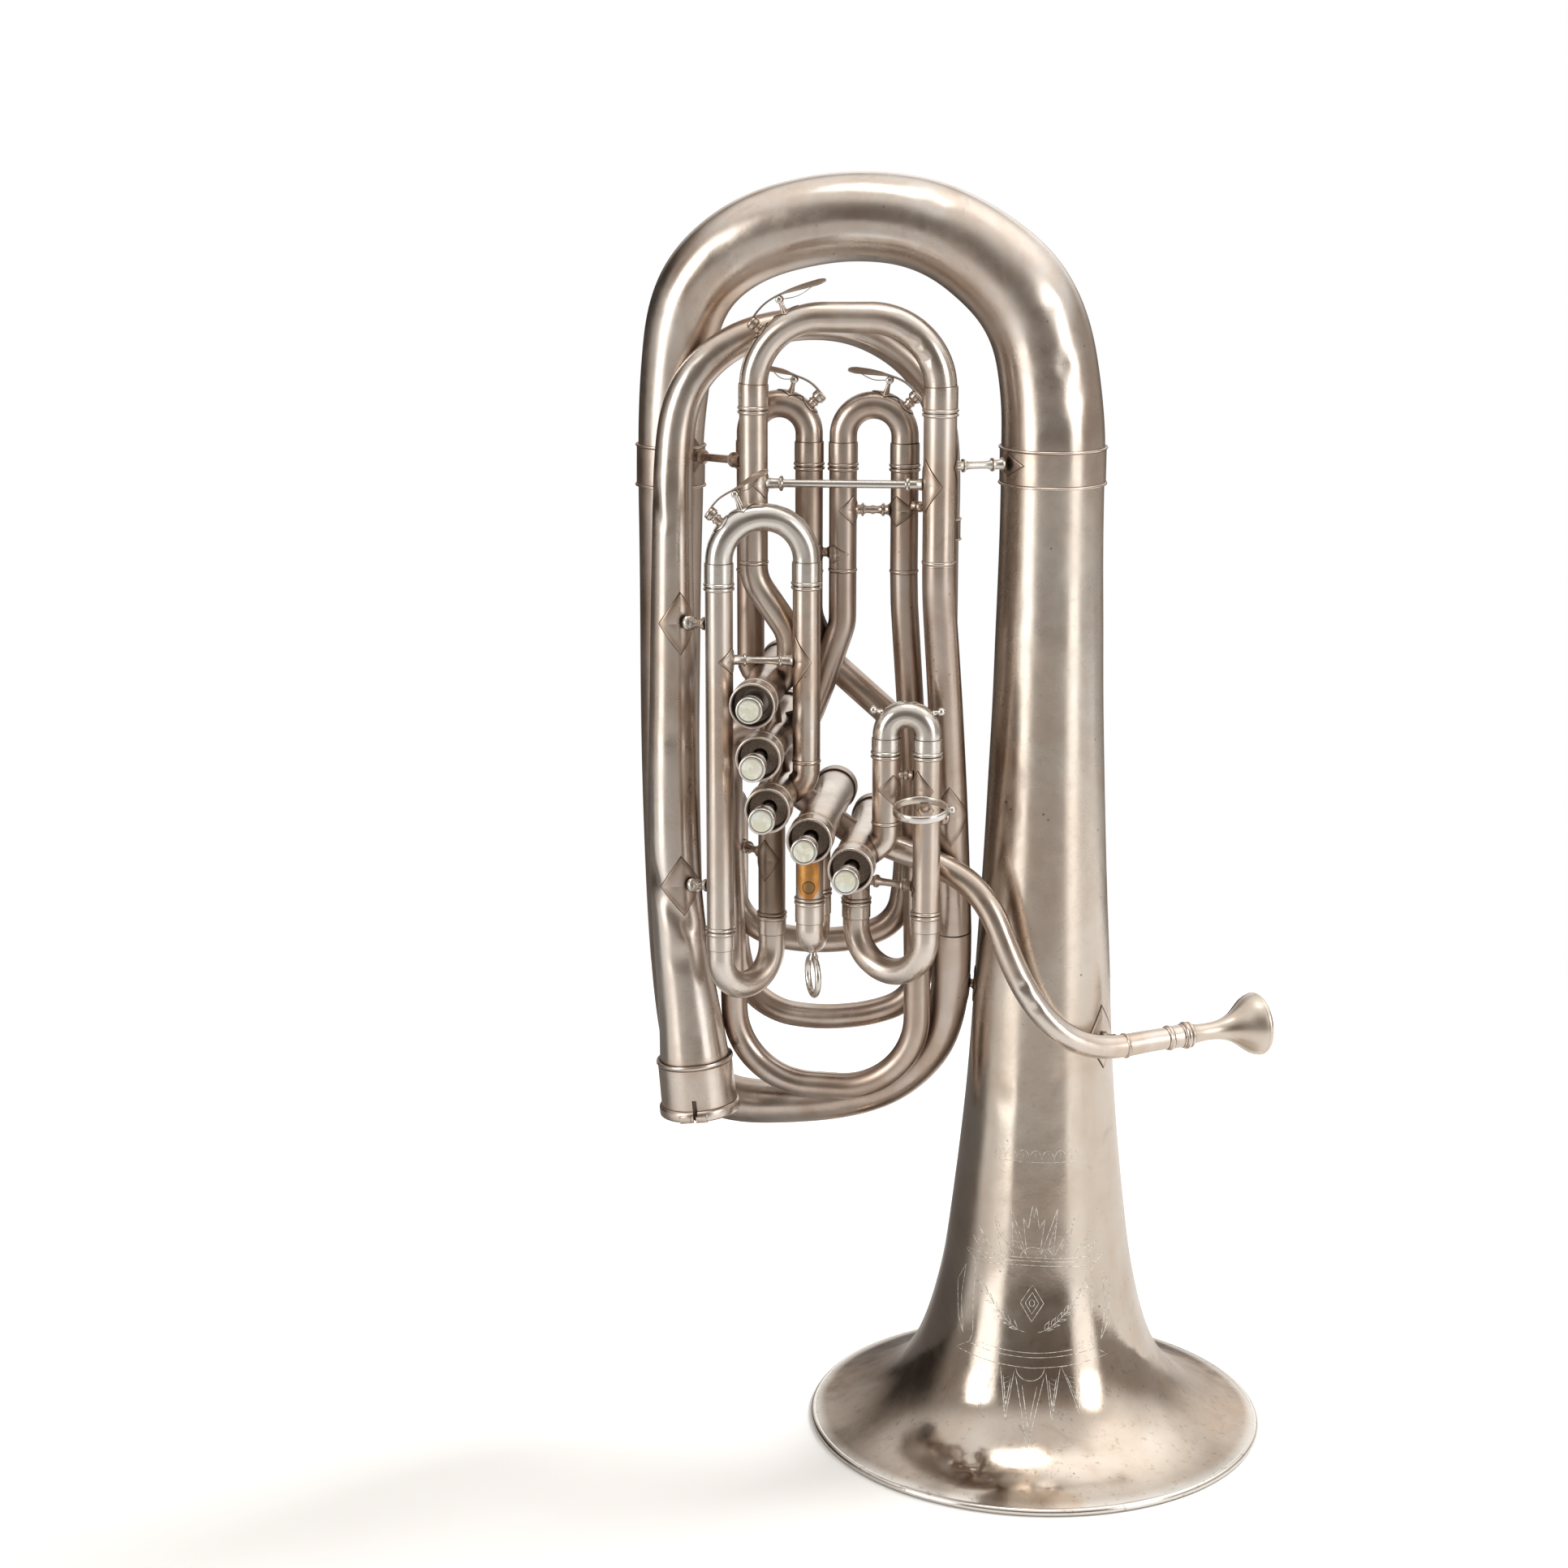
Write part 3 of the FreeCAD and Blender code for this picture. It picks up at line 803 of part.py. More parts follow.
# bayonet slot in the front wall, with a tab on each side of it
so = S0 + SD * (g("socket_length") - 4.0)
sl = doc.addObject("Part::Box", "socket_slot")
sl.Length, sl.Width, sl.Height = 2.6, 8, 13
sl.Placement = Placement(V(so.x - 2.3, so.y - 27.0, so.z - 1.5), Rotation(V(0, 1, 0), -5.7))
tabs = []
for s in (-1, 1):
    t = doc.addObject("Part::Box", "socket_tab_%d" % (s + 1))
    t.Length, t.Width, t.Height = 6.6, 2.2, 3.2
    t.Placement = Placement(V(so.x - 1.0 + s * 5.1 - 3.3, so.y - 25.1, so.z - 0.1), Rotation(V(0, 1, 0), -5.7))
    tabs.append(t)
bore = cyl("socket_bore_tool", tuple(S0 + SD * 8), tuple(SD), "dims.socket_bore", 35)
node(cut("socket_whole", fuse("socket_parts", [sock] + tabs), [sl, bore]), "small_bell_socket")

# ---- thumb ring -------------------------------------------------------------------------------
tc = (-67.6, -80.6, 407.3)
ring = profile_body("thumb_ring_band", [("dims.ring_r - 1.5", 0.4), ("dims.ring_r - 1.1", 0), ("dims.ring_r - 0.4", 0), ("dims.ring_r", 0.4),
                                        ("dims.ring_r", "dims.ring_h - 0.4"), ("dims.ring_r - 0.4", "dims.ring_h"),
                                        ("dims.ring_r - 1.1", "dims.ring_h"), ("dims.ring_r - 1.5", "dims.ring_h - 0.4")],
                    frame_at((tc[0], tc[1], tc[2] - 2.3), (0, 0, 1)))
stub = rod("thumb_ring_stub", (-66.8, -68.6, 405.6), (-66.4, -64.6, 402.0), "2.2")
ball = knob("thumb_ring_ball", (-52.4, -75.6, 405.2), (0, 0, 1), 2.1)
ball_post = rod("thumb_ring_ball_post", (-56.4, -76.6, 405.9), (-52.4, -75.6, 405.2), "1.1")
leg_trim = cyl("thumb_ring_leg", (g("fi_rx"), g("fi_y"), 380), (0, 0, 1), "dims.slide_outer", 50)
node(cut("thumb_ring_whole", fuse("thumb_ring_parts", [ring, stub, ball, ball_post]), leg_trim), "thumb_ring")

# ---- braces -----------------------------------------------------------------------------------
# each rod runs between two pieces and is trimmed to their outer surfaces
fer = cyl("brace_trim_ferrule", (0, 0, 580), (0, 0, 1), "30.84", 30)
BRACES = [
    ("bell_top", (-57.0, -34.6, 598.0), (-24.0, -17.4, 597.6), ["main_slide_tubes_1_out", "brace_trim_ferrule"]),
    ("branch_top", (-213.8, 3.0, 596.5), (-175.0, -36.6, 599.0), ["main_slide_tubes_0_out", "main_bow_outer"]),
    ("main_long", (-164.0, -38.0, 586.8), (-69.0, -38.0, 587.6), ["main_slide_tubes_0_out", "main_slide_tubes_1_out"]),
    ("third_branch_upper", (-213.0, -29.0, 502.4), (-190.0, -58.8, 508.0), ["small_bell_branch_outer", "third_valve_tubes_0_out"]),
    ("third_branch_lower", (-211.6, -31.6, 344.0), (-190.0, -58.6, 351.6), ["small_bell_branch_outer", "third_valve_tubes_0_out"]),
    ("third_legs", (-182.0, -60.9, 487.3), (-142.0, -51.2, 486.0), ["third_valve_tubes_0_out", "third_valve_tubes_1_out"]),
    ("fourth_legs", (-115.4, -20.0, 570.0), (-88.8, -20.0, 570.2), ["fourth_slide_tubes_0_out", "fourth_slide_tubes_1_out"]),
    ("middle_pair", (-134.2, -20.0, 544.6), (-125.6, -20.0, 544.6), ["fourth_slide_tubes_0_out", "small_bell_slide_tubes_1_out"]),
    ("fourth_main", (-80.6, -23.4, 573.6), (-67.4, -34.2, 573.2), ["fourth_slide_tubes_1_out", "main_slide_tubes_1_out"]),
    ("first_legs", (-84.4, -58.0, 421.6), (-71.4, -58.0, 421.6), ["first_valve_tubes_0_out", "first_valve_tubes_1_out"]),
    ("first_lower_legs", (-105.0, -35.8, 352.4), (-71.0, -55.0, 354.0), ["first_valve_tubes_2_out", "first_valve_tubes_1_out"]),
    ("right_branch_first", (-56.6, -29.0, 390.4), (-64.0, -53.6, 392.6), ["right_branch_outer", "first_valve_tubes_1_out"]),
    ("loop_third", (-185.4, 3.6, 360.3), (-165.2, -27.2, 363.8), ["small_bell_lower_loop_0_out", "third_valve_tubes_2_out"]),
    ("mouthpipe_bell", (49.0, -28.0, 255.4), (37.05, -19.3, 255.6), ["mouthpipe_outer", "bell_skin"]),
    ("branch_bell", (-47.0, -5.2, 281.2), (-40.3, -4.5, 280.8), ["bottom_bow_outer", "bell_skin"]),
]
bl = []
for name, a, b, trims in BRACES:
    A, B = V(*a), V(*b)
    d = B - A
    ln = d.Length
    d.normalize()
    parts = [rod("brace_%s_rod" % name, a, b, "dims.brace_r * 0.72")]
    if ln > 20:
        for k, (p, q2) in enumerate(((A, A + d * 7.5), (B - d * 7.5, B))):
            parts.append(rod("brace_%s_end_%d" % (name, k), tuple(p), tuple(q2), "dims.brace_r"))
        for k, p in enumerate((A + d * 7.5, B - d * 7.5)):
            parts.append(rod("brace_%s_collar_%d" % (name, k), tuple(p - d * 0.9), tuple(p + d * 0.9), "dims.brace_collar"))
    elif ln > 9:
        parts.append(rod("brace_%s_mid" % name, tuple(A + d * (ln * 0.5 - 0.9)), tuple(A + d * (ln * 0.5 + 0.9)), "dims.brace_r * 1.1"))
    bl.append(cut("brace_%s" % name, fuse("brace_%s_whole" % name, parts), [doc.getObject(t) for t in trims]))
node(group("brace_set", bl), "braces")

# ---- check and write --------------------------------------------------------------------------
doc.recompute()
bad = [o.Name for o in doc.Objects if ("Invalid" in o.State or "Error" in o.State)]
if bad:
    raise RuntimeError("objects that failed: " + ", ".join(bad))
for o in NODES:
    if o.Shape.isNull() or not o.Shape.isValid() or not o.Shape.Solids:
        raise RuntimeError("bad shape: " + o.Label)
if len(NODES) > 60 or len({o.Label for o in NODES}) != len(NODES):
    raise RuntimeError("node names or count: %d" % len(NODES))
os.makedirs("parts", exist_ok=True)
for o in NODES:
    o.Shape.exportStep(os.path.join("parts", o.Label + ".step"))
print("%d nodes, %d solids, %.1f cm3 of metal" % (len(NODES), sum(len(o.Shape.Solids) for o in NODES),
                                                  sum(o.Shape.Volume for o in NODES) / 1000.0))
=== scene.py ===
# Looks of the double-bell euphonium: smooth tubing, flanges, water keys and tarnished silver
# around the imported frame. Tables are in millimetres, the meshes in metres.
import bpy
import json
import math
import numpy as np
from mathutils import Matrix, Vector, noise
from mathutils.bvhtree import BVHTree

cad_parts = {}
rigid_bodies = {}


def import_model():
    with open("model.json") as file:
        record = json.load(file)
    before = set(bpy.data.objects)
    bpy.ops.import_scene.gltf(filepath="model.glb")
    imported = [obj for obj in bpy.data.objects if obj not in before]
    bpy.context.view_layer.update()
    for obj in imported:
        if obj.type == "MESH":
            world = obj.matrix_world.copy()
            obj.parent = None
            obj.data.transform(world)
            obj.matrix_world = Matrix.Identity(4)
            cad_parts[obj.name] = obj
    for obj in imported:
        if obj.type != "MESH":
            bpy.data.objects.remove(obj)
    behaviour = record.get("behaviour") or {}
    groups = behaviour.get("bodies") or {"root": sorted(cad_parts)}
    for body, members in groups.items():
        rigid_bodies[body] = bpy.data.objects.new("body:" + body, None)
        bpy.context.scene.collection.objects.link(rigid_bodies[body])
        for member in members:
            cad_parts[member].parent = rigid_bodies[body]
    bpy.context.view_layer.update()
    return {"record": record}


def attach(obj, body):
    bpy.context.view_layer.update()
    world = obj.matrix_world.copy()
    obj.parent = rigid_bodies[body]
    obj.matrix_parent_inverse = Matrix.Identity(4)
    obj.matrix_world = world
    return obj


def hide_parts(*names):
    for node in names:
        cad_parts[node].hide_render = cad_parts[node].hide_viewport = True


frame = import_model()
MM = 0.001
RECORD = frame["record"]
SLOT = {r["node"]: r["material_slot"] for r in RECORD["subparts"]}
BODY = {n: b for b, ns in RECORD["behaviour"]["bodies"].items() for n in ns}
GRIDS = []      # (object, first vertex, stations, segments) for the occlusion pass that paints shade
PIECES = []


# ---- vectors and lines ------------------------------------------------------------------------
def vec(*a):
    return np.array(a[0] if len(a) == 1 else a, float)


def unit(v):
    v = np.asarray(v, float)
    return v / np.linalg.norm(v)


def smoothstep(x):
    x = np.clip(x, 0, 1)
    return x * x * (3 - 2 * x)


class Line:
    """A line known by its length: position, direction and bend (towards the centre, 1/mm) at any distance along it."""

    def __init__(self, pts, bend=None):
        self.P = np.array(pts, float)
        d = np.linalg.norm(np.diff(self.P, axis=0), axis=1)
        keep = np.concatenate([[True], d > 1e-7])
        self.P = self.P[keep]
        d = np.linalg.norm(np.diff(self.P, axis=0), axis=1)
        self.S = np.concatenate([[0], np.cumsum(d)])
        self.length = self.S[-1]
        T = np.gradient(self.P, self.S, axis=0)
        self.T = T / np.linalg.norm(T, axis=1)[:, None]
        self.K = np.gradient(self.T, self.S, axis=0) if bend is None else bend

    def at(self, s):
        s = np.asarray(s, float)
        p = np.stack([np.interp(s, self.S, self.P[:, k]) for k in range(3)], -1)
        t = np.stack([np.interp(s, self.S, self.T[:, k]) for k in range(3)], -1)
        t /= np.linalg.norm(t, axis=-1)[..., None]
        k = np.stack([np.interp(s, self.S, self.K[:, j]) for j in range(3)], -1)
        return p, t, k


def route(pts, radii=None):
    """Straight runs joined by tangent arcs, sampled finely."""
    P = [vec(p) for p in pts]
    n = len(P)
    out = [P[0]]
    for i in range(1, n - 1):
        a, b = P[i - 1] - P[i], P[i + 1] - P[i]
        la, lb = np.linalg.norm(a), np.linalg.norm(b)
        a, b = a / la, b / lb
        turn = math.pi - math.acos(max(-1, min(1, float(a @ b))))
        if turn < 1e-4:
            continue
        r = radii[i - 1] if radii else None
        if r is None:
            r = min(la * (0.98 if i == 1 else 0.49), lb * (0.98 if i == n - 2 else 0.49)) / math.tan(turn / 2)
        t = r * math.tan(turn / 2)
        s, e = P[i] + a * t, P[i] + b * t
        bis = unit(a + b)
        c = P[i] + bis * (r / math.cos(turn / 2))
        m = max(6, int(turn * 40))
        u, w = s - c, None
        axis = unit(np.cross(s - c, e - c)) if turn < math.pi - 1e-3 else unit(np.cross(a, b))
        for k in range(m + 1):
            f = turn * k / m
            w = u * math.cos(f) + np.cross(axis, u) * math.sin(f)
            out.append(c + w)
    out.append(P[-1])
    fine = [out[0]]
    for q in out[1:]:
        d = np.linalg.norm(q - fine[-1])
        k = max(1, int(d / 2.0))
        a = fine[-1]
        for j in range(1, k + 1):
            fine.append(a + (q - a) * j / k)
    return Line(fine)


def cubic(x, Y):
    """Natural cubic spline through Y at x; returns a function."""
    n = len(x)
    h = np.diff(x)
    A = np.zeros((n, n))
    B = np.zeros((n,) + Y.shape[1:])
    A[0, 0] = A[-1, -1] = 1
    for i in range(1, n - 1):
        A[i, i - 1], A[i, i], A[i, i + 1] = h[i - 1], 2 * (h[i - 1] + h[i]), h[i]
        B[i] = 6 * ((Y[i + 1] - Y[i]) / h[i] - (Y[i] - Y[i - 1]) / h[i - 1])
    M = np.linalg.solve(A, B)

    def f(t):
        t = np.asarray(t, float)
        i = np.clip(np.searchsorted(x, t) - 1, 0, n - 2)
        a, b, hh = x[i + 1] - t, t - x[i], h[i]
        if Y.ndim > 1:
            a, b, hh = a[:, None], b[:, None], hh[:, None]
        return (M[i] * a ** 3 + M[i + 1] * b ** 3) / (6 * hh) + (Y[i] / hh - M[i] * hh / 6) * a + (Y[i + 1] / hh - M[i + 1] * hh / 6) * b
    return f


def tapered(pts):
    """Smooth line through (x, y, z, r) rows and its radius as a function of the distance along it."""
    Q = np.array(pts, float)
    d = np.linalg.norm(np.diff(Q[:, :3], axis=0), axis=1)
    x = np.concatenate([[0], np.cumsum(d)])
    f = cubic(x, Q[:, :3])
    t = np.linspace(0, x[-1], max(40, int(x[-1] / 1.5)))
    line = Line(f(t))
    rr = cubic(x, Q[:, 3])
    sr = np.interp(line.S, [0, line.length], [0, x[-1]])
    return line, (lambda s: np.interp(s, line.S, rr(sr)))


def frames(T, up=None):
    """Ring axes carried along a line without twist."""
    n = len(T)
    U = np.zeros((n, 3))
    t = T[0]
    u = vec(up) if up is not None else (vec(0, 1, 0) if abs(t[1]) < 0.9 else vec(1, 0, 0))
    u = unit(u - t * (u @ t))
    U[0] = u
    for i in range(1, n):
        u = U[i - 1] - T[i] * (U[i - 1] @ T[i])
        U[i] = u / np.linalg.norm(u)
    return U, np.cross(T, U)


# ---- meshes -----------------------------------------------------------------------------------
def make(name, verts, faces, dirt_and_shade=None, bright=None, smooth=True):
    me = bpy.data.meshes.new(name)
    me.from_pydata((np.asarray(verts, float) * MM).tolist(), [], faces)
    me.update()
    if smooth:
        me.shade_smooth()
    n = len(verts)
    # the first attribute holds tarnish and dark joints together with painted shade in recesses, gaps and bores; the
    # materials darken and brown the colour by it
    for key, val in (("dirt_and_shade", dirt_and_shade), ("bright", bright)):
        at = me.attributes.new(key, "FLOAT", "POINT")
        v = np.zeros(n, np.float32) if val is None else np.asarray(val, np.float32)
        at.data.foreach_set("value", np.ascontiguousarray(v))
    ob = bpy.data.objects.new(name, me)
    bpy.context.scene.collection.objects.link(ob)
    return ob


def put(ob, body="frame", replaces=(), slot=None, mat=None):
    """Body, stand-in nodes and material of a piece; the slot is worked out but not used."""
    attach(ob, body)
    if replaces:
        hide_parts(*replaces)
    slot or (SLOT[replaces[0]] if replaces else "silver_plate")
    ob.data.materials.append(mat or MAT["silver"])
    PIECES.append(ob)
    return ob


def grid_faces(n, m, first=0, flip=False, closed=True):
    F = []
    for i in range(n - 1):
        for j in range(m if closed else m - 1):
            a, b = first + i * m + j, first + i * m + (j + 1) % m
            c, d = b + m, a + m
            F.append((a, b, c, d) if not flip else (d, c, b, a))
    return F


def dented(p, nrm, dents):
    """Points moved along their outward direction by local dents: (centre, radius, depth) or (end, end, radius, depth)."""
    off = np.zeros(len(p))
    for d in dents:
        if len(d) == 3:
            c, r, h = vec(d[0]), d[1], d[2]
            q = np.linalg.norm(p - c, axis=1)
        else:
            a, b, r, h = vec(d[0]), vec(d[1]), d[2], d[3]
            ab = b - a
            f = np.clip(((p - a) @ ab) / (ab @ ab), 0, 1)
            q = np.linalg.norm(p - (a + f[:, None] * ab), axis=1)
            h = h * (1 - 0.55 * f)
        off -= h * np.exp(-(q / r) ** 2 * 1.6)
    return p + nrm * off[:, None]


def wave(p, nrm, amp, scale, seed=0.0):
    """Slow hammer-and-draw unevenness of hand-made sheet brass."""
    if amp <= 0:
        return p
    w = np.array([noise.noise(Vector((x[0] / scale + seed, x[1] / scale, x[2] / (scale * 2.2)))) for x in p])
    return p + nrm * (w * amp)[:, None]


def ring_fit(ring, t, fit):
    """Moves a ring's points along t onto a cylinder that runs along Y at (x, z): a saddle cut."""
    x, z, r = fit
    out = ring.copy()
    for i, p in enumerate(ring):
        ox, oz = p[0] - x, p[2] - z
        a = t[0] ** 2 + t[2] ** 2
        b = 2 * (ox * t[0] + oz * t[2])
        c = ox * ox + oz * oz - r * r
        D = b * b - 4 * a * c
        if D > 0:
            k = (-b - math.sqrt(D)) / (2 * a)
            if abs(k) < 30:
                out[i] = p + t * k
    return out


def tube(name, line, keys, wall, seg=48, step=3.0, dents=(), amp=0.0, scale=30.0, start_fit=None, end_fit=None, up=None,
         s0=0.0, s1=None, inner_bend_tarnish_and_shade=0.55):
    """A hollow round tube along a line. keys are (distance, outer radius, dirt and painted shade) rows; beads and
    sleeves are keys.
    """
    s1 = line.length if s1 is None else s1
    if callable(keys):
        rad, kd, ks = keys, (lambda s: np.zeros_like(s)), []
    else:
        K = np.array([k if len(k) == 3 else (k[0], k[1], 0) for k in keys], float)
        rad = lambda s: np.interp(s, K[:, 0], K[:, 1])
        kd = lambda s: np.interp(s, K[:, 0], K[:, 2])
        ks = [k for k in K[:, 0] if s0 <= k <= s1]
    a, b = s0, s1
    if start_fit:
        a = s0 + 13.0
    if end_fit:
        b = s1 - 13.0
    base = np.linspace(a, b, max(4, int((b - a) / step) + 1))
    S = np.unique(np.concatenate([base, [k for k in ks if a <= k <= b]]))
    ok = np.concatenate([[True], np.diff(S) > 1e-4])
    S = S[ok]
    P, T, Kv = line.at(S)
    U, W = frames(T, up)
    R = rad(S)
    D = kd(S)
    n = len(S)
    ang = np.linspace(0, 2 * math.pi, seg, endpoint=False)
    N = U[:, None, :] * np.cos(ang)[None, :, None] + W[:, None, :] * np.sin(ang)[None, :, None]
    outer = P[:, None, :] + N * R[:, None, None]
    # the bore follows the plain radius, without beads
    plain = np.array([R[max(0, i - 6):i + 7].min() for i in range(n)])
    inner = P[:, None, :] + N * (plain - wall)[:, None, None]
    sh = (n, seg, 3)
    flatN = N.reshape(-1, 3)
    o = dented(outer.reshape(-1, 3), flatN, dents)
    o = wave(o, flatN, amp, scale)
    q = dented(inner.reshape(-1, 3), flatN, dents) if len(dents) else inner.reshape(-1, 3)
    outer, inner = o.reshape(sh), q.reshape(sh)
    bend = -np.einsum("ijk,ik->ij", N, Kv) * -1.0
    inside = np.clip(bend * R[:, None] * 2.2, 0, 1)      # 1 on the inside of a tight bend
    # the inside of a tight bend is darkened: tarnish with painted shade
    dirt_and_shade = np.clip(D[:, None] + inner_bend_tarnish_and_shade * inside ** 1.2, 0, 1)
    if start_fit:
        r0, q0 = ring_fit(outer[0], -T[0], start_fit), ring_fit(inner[0], -T[0], start_fit)
        outer = np.concatenate([r0[None], outer])
        inner = np.concatenate([q0[None], inner])
        dirt_and_shade = np.concatenate([np.full((1, seg), 1.0), dirt_and_shade])
    if end_fit:
        r1, q1 = ring_fit(outer[-1], T[-1], end_fit), ring_fit(inner[-1], T[-1], end_fit)
        outer = np.concatenate([outer, r1[None]])
        inner = np.concatenate([inner, q1[None]])
        dirt_and_shade = np.concatenate([dirt_and_shade, np.full((1, seg), 1.0)])
    n = len(outer)
    V = np.concatenate([outer.reshape(-1, 3), inner.reshape(-1, 3)])
    m = n * seg
    F = grid_faces(n, seg, 0, flip=False) + grid_faces(n, seg, m, flip=True)
    for j in range(seg):
        k = (j + 1) % seg
        F.append((j, m + j, m + k, k))
        e = (n - 1) * seg
        F.append((e + k, m + e + k, m + e + j, e + j))
    # the bore's skin gets 0.9: painted shade inside the tube
    ob = make(name, V, F, np.concatenate([dirt_and_shade.ravel(), np.full(m, 0.9)]))
    sharp_ends(ob)
    GRIDS.append((ob, 0, n, seg))
    return ob


def sharp_ends(ob, angle=38.0):
    """Edges sharper than the angle shade sharp."""
    me = ob.data
    me.set_sharp_from_angle(angle=math.radians(angle))


def lathe(name, prof, origin, axis, seg=64, dirt_and_shade=None, closed=True, amp=0.0, scale=30.0, dents=(), up=None, sharp=32.0):
    """A closed profile of (radius, height[, dirt]) turned about an axis."""
    t = unit(axis)
    U, W = frames(np.array([t]), up)
    U, W = U[0], W[0]
    o = vec(origin)
    n = len(prof)
    ang = np.linspace(0, 2 * math.pi, seg, endpoint=False)
    V, idx, D = [], [], []
    for p in prof:
        r, h = p[0], p[1]
        d = p[2] if len(p) > 2 else 0.0
        if r < 1e-6:
            idx.append([len(V)] * seg)
            V.append(o + t * h)
            D.append(d)
        else:
            idx.append(list(range(len(V), len(V) + seg)))
            for a in ang:
                V.append(o + t * h + (U * math.cos(a) + W * math.sin(a)) * r)
                D.append(d)
    F = []
    last = n if closed else n - 1
    for i in range(last):
        A, B = idx[i], idx[(i + 1) % n]
        for j in range(seg):
            k = (j + 1) % seg
            f = []
            for v in (A[j], A[k], B[k], B[j]):
                if v not in f:
                    f.append(v)
            if len(f) > 2:
                F.append(tuple(f))
    V = np.array(V)
    if amp or len(dents):
        rel = V - o
        rad = rel - np.outer(rel @ t, t)
        ln = np.linalg.norm(rad, axis=1)
        nr = rad / np.maximum(ln, 1e-6)[:, None]
        V = dented(V, nr, dents)
        V = wave(V, nr, amp, scale)
    ob = make(name, V, F, D)
    fix_normals(ob)
    sharp_ends(ob, sharp)
    return ob


def fix_normals(ob):
    import bmesh
    bm = bmesh.new()
    bm.from_mesh(ob.data)
    bmesh.ops.recalc_face_normals(bm, faces=bm.faces)
    bm.to_mesh(ob.data)
    bm.free()


def bead_keys(s, r, br=1.05, n=6):
    """A half-round ring on a tube: rows for tube()."""
    rows = [(s - br - 0.25, r, 0.25), (s - br, r, 1.0)]
    for k in range(1, n):
        a = math.pi * k / n
        rows.append((s - br * math.cos(a), r + br * math.sin(a), 0.0))
    rows += [(s + br, r, 1.0), (s + br + 0.25, r, 0.25)]
    return rows


def line_keys(s, r, step=0.35):
    """The fine edge of a sleeve: a small step with a dark line."""
    return [(s - 0.5, r + step, 0.0), (s - 0.08, r + step, 0.5), (s + 0.08, r, 1.0), (s + 0.6, r, 0.1)]


def rod_keys(L, r, r_mid, big, sides=True):
    """Turned brace rod: thick ends, double collars, thin waist."""
    e = min(7.5, L * 0.32)
    rows = [(0, r * 1.15, 0.8), (0.8, r, 0.3)]
    for s in (e, L - e):
        rows += [(s - 1.5, r, 0.4), (s - 1.2, r * 1.25, 0.1), (s - 0.7, big, 0.0), (s + 0.5, big, 0.0), (s + 0.9, r * 1.2, 0.2), (s + 1.3, r_mid if s == e else r, 0.4)]
    rows += [(L - 0.8, r, 0.3), (L, r * 1.15, 0.8)]
    rows = sorted(rows)
    return rows


def solid_rod(name, a, b, keys, seg=28):
    """A solid turned rod from a to b with (distance, radius, dirt) rows."""
    a, b = vec(a), vec(b)
    prof = [(0.0, keys[0][0], keys[0][2])] + [(k[1], k[0], k[2]) for k in keys] + [(0.0, keys[-1][0], keys[-1][2])]
    return lathe(name, prof, a, b - a, seg=seg, closed=False, sharp=40)


def flange(name, centre, axis, foot, r, a, b, thick=0.55, power=0.78, n=72, rings=9, skew=0.0, bow=None):
    """Diamond foot plate with hollow sides, wrapped on a tube of radius r.
    centre is on the tube's axis, foot the outward direction of its middle, a and b its half length and half width."""
    t, f = unit(axis), vec(foot)
    f = unit(f - t * (f @ t))
    s = np.cross(t, f)
    c = vec(centre)
    prof = [(0.0, thick), (0.35, thick), (0.6, thick), (0.8, thick * 0.98), (0.93, thick * 0.92), (0.985, thick * 0.62), (1.0, 0.02), (1.0, -0.5)]
    V, D, idx = [], [], []
    for q, h in prof:
        row = []
        if q == 0:
            row = [len(V)] * n
            V.append(c + f * (r + h))
            D.append(0.05)
        else:
            for k in range(n):
                th = 2 * math.pi * k / n
                cx, sx = math.cos(th), math.sin(th)
                x = a * q * math.copysign(abs(cx) ** (2 / power), cx)
                y = b * q * math.copysign(abs(sx) ** (2 / power), sx)
                x += skew * y
                ph = y / r
                row.append(len(V))
                V.append(c + t * x + (f * math.cos(ph) + s * math.sin(ph)) * (r + h))
                # the edge band is darkened (0.6, then 1.0 at the rim): painted shadow along the plate's edge
                D.append(0.05 if q < 0.8 else (0.6 if q < 0.95 else 1.0))
        idx.append(row)
    F = []
    for i in range(len(prof) - 1):
        A, B = idx[i], idx[i + 1]
        for j in range(n):
            k = (j + 1) % n
            ff = []
            for v in (A[j], A[k], B[k], B[j]):
                if v not in ff:
                    ff.append(v)
            if len(ff) > 2:
                F.append(tuple(ff))
    F.append(tuple(reversed(idx[-1])))
    ob = make(name, V, F, D)
    fix_normals(ob)
    sharp_ends(ob, 50)
    return ob


def join(name, obs):
    """One object from several new ones."""
    ctx = bpy.context
    for o in ctx.view_layer.objects:
        o.select_set(False)
    for o in obs:
        o.select_set(True)
    ctx.view_layer.objects.active = obs[0]
    bpy.ops.object.join()
    obs[0].name = name
    obs[0].data.name = name
    return obs[0]


# ---- materials --------------------------------------------------------------------------------
def nt(mat):
    mat.use_nodes = True
    t = mat.node_tree
    t.nodes.clear()
    out = t.nodes.new("ShaderNodeOutputMaterial")
    b = t.nodes.new("ShaderNodeBsdfPrincipled")
    t.links.new(b.outputs[0], out.inputs[0])
    return t, b


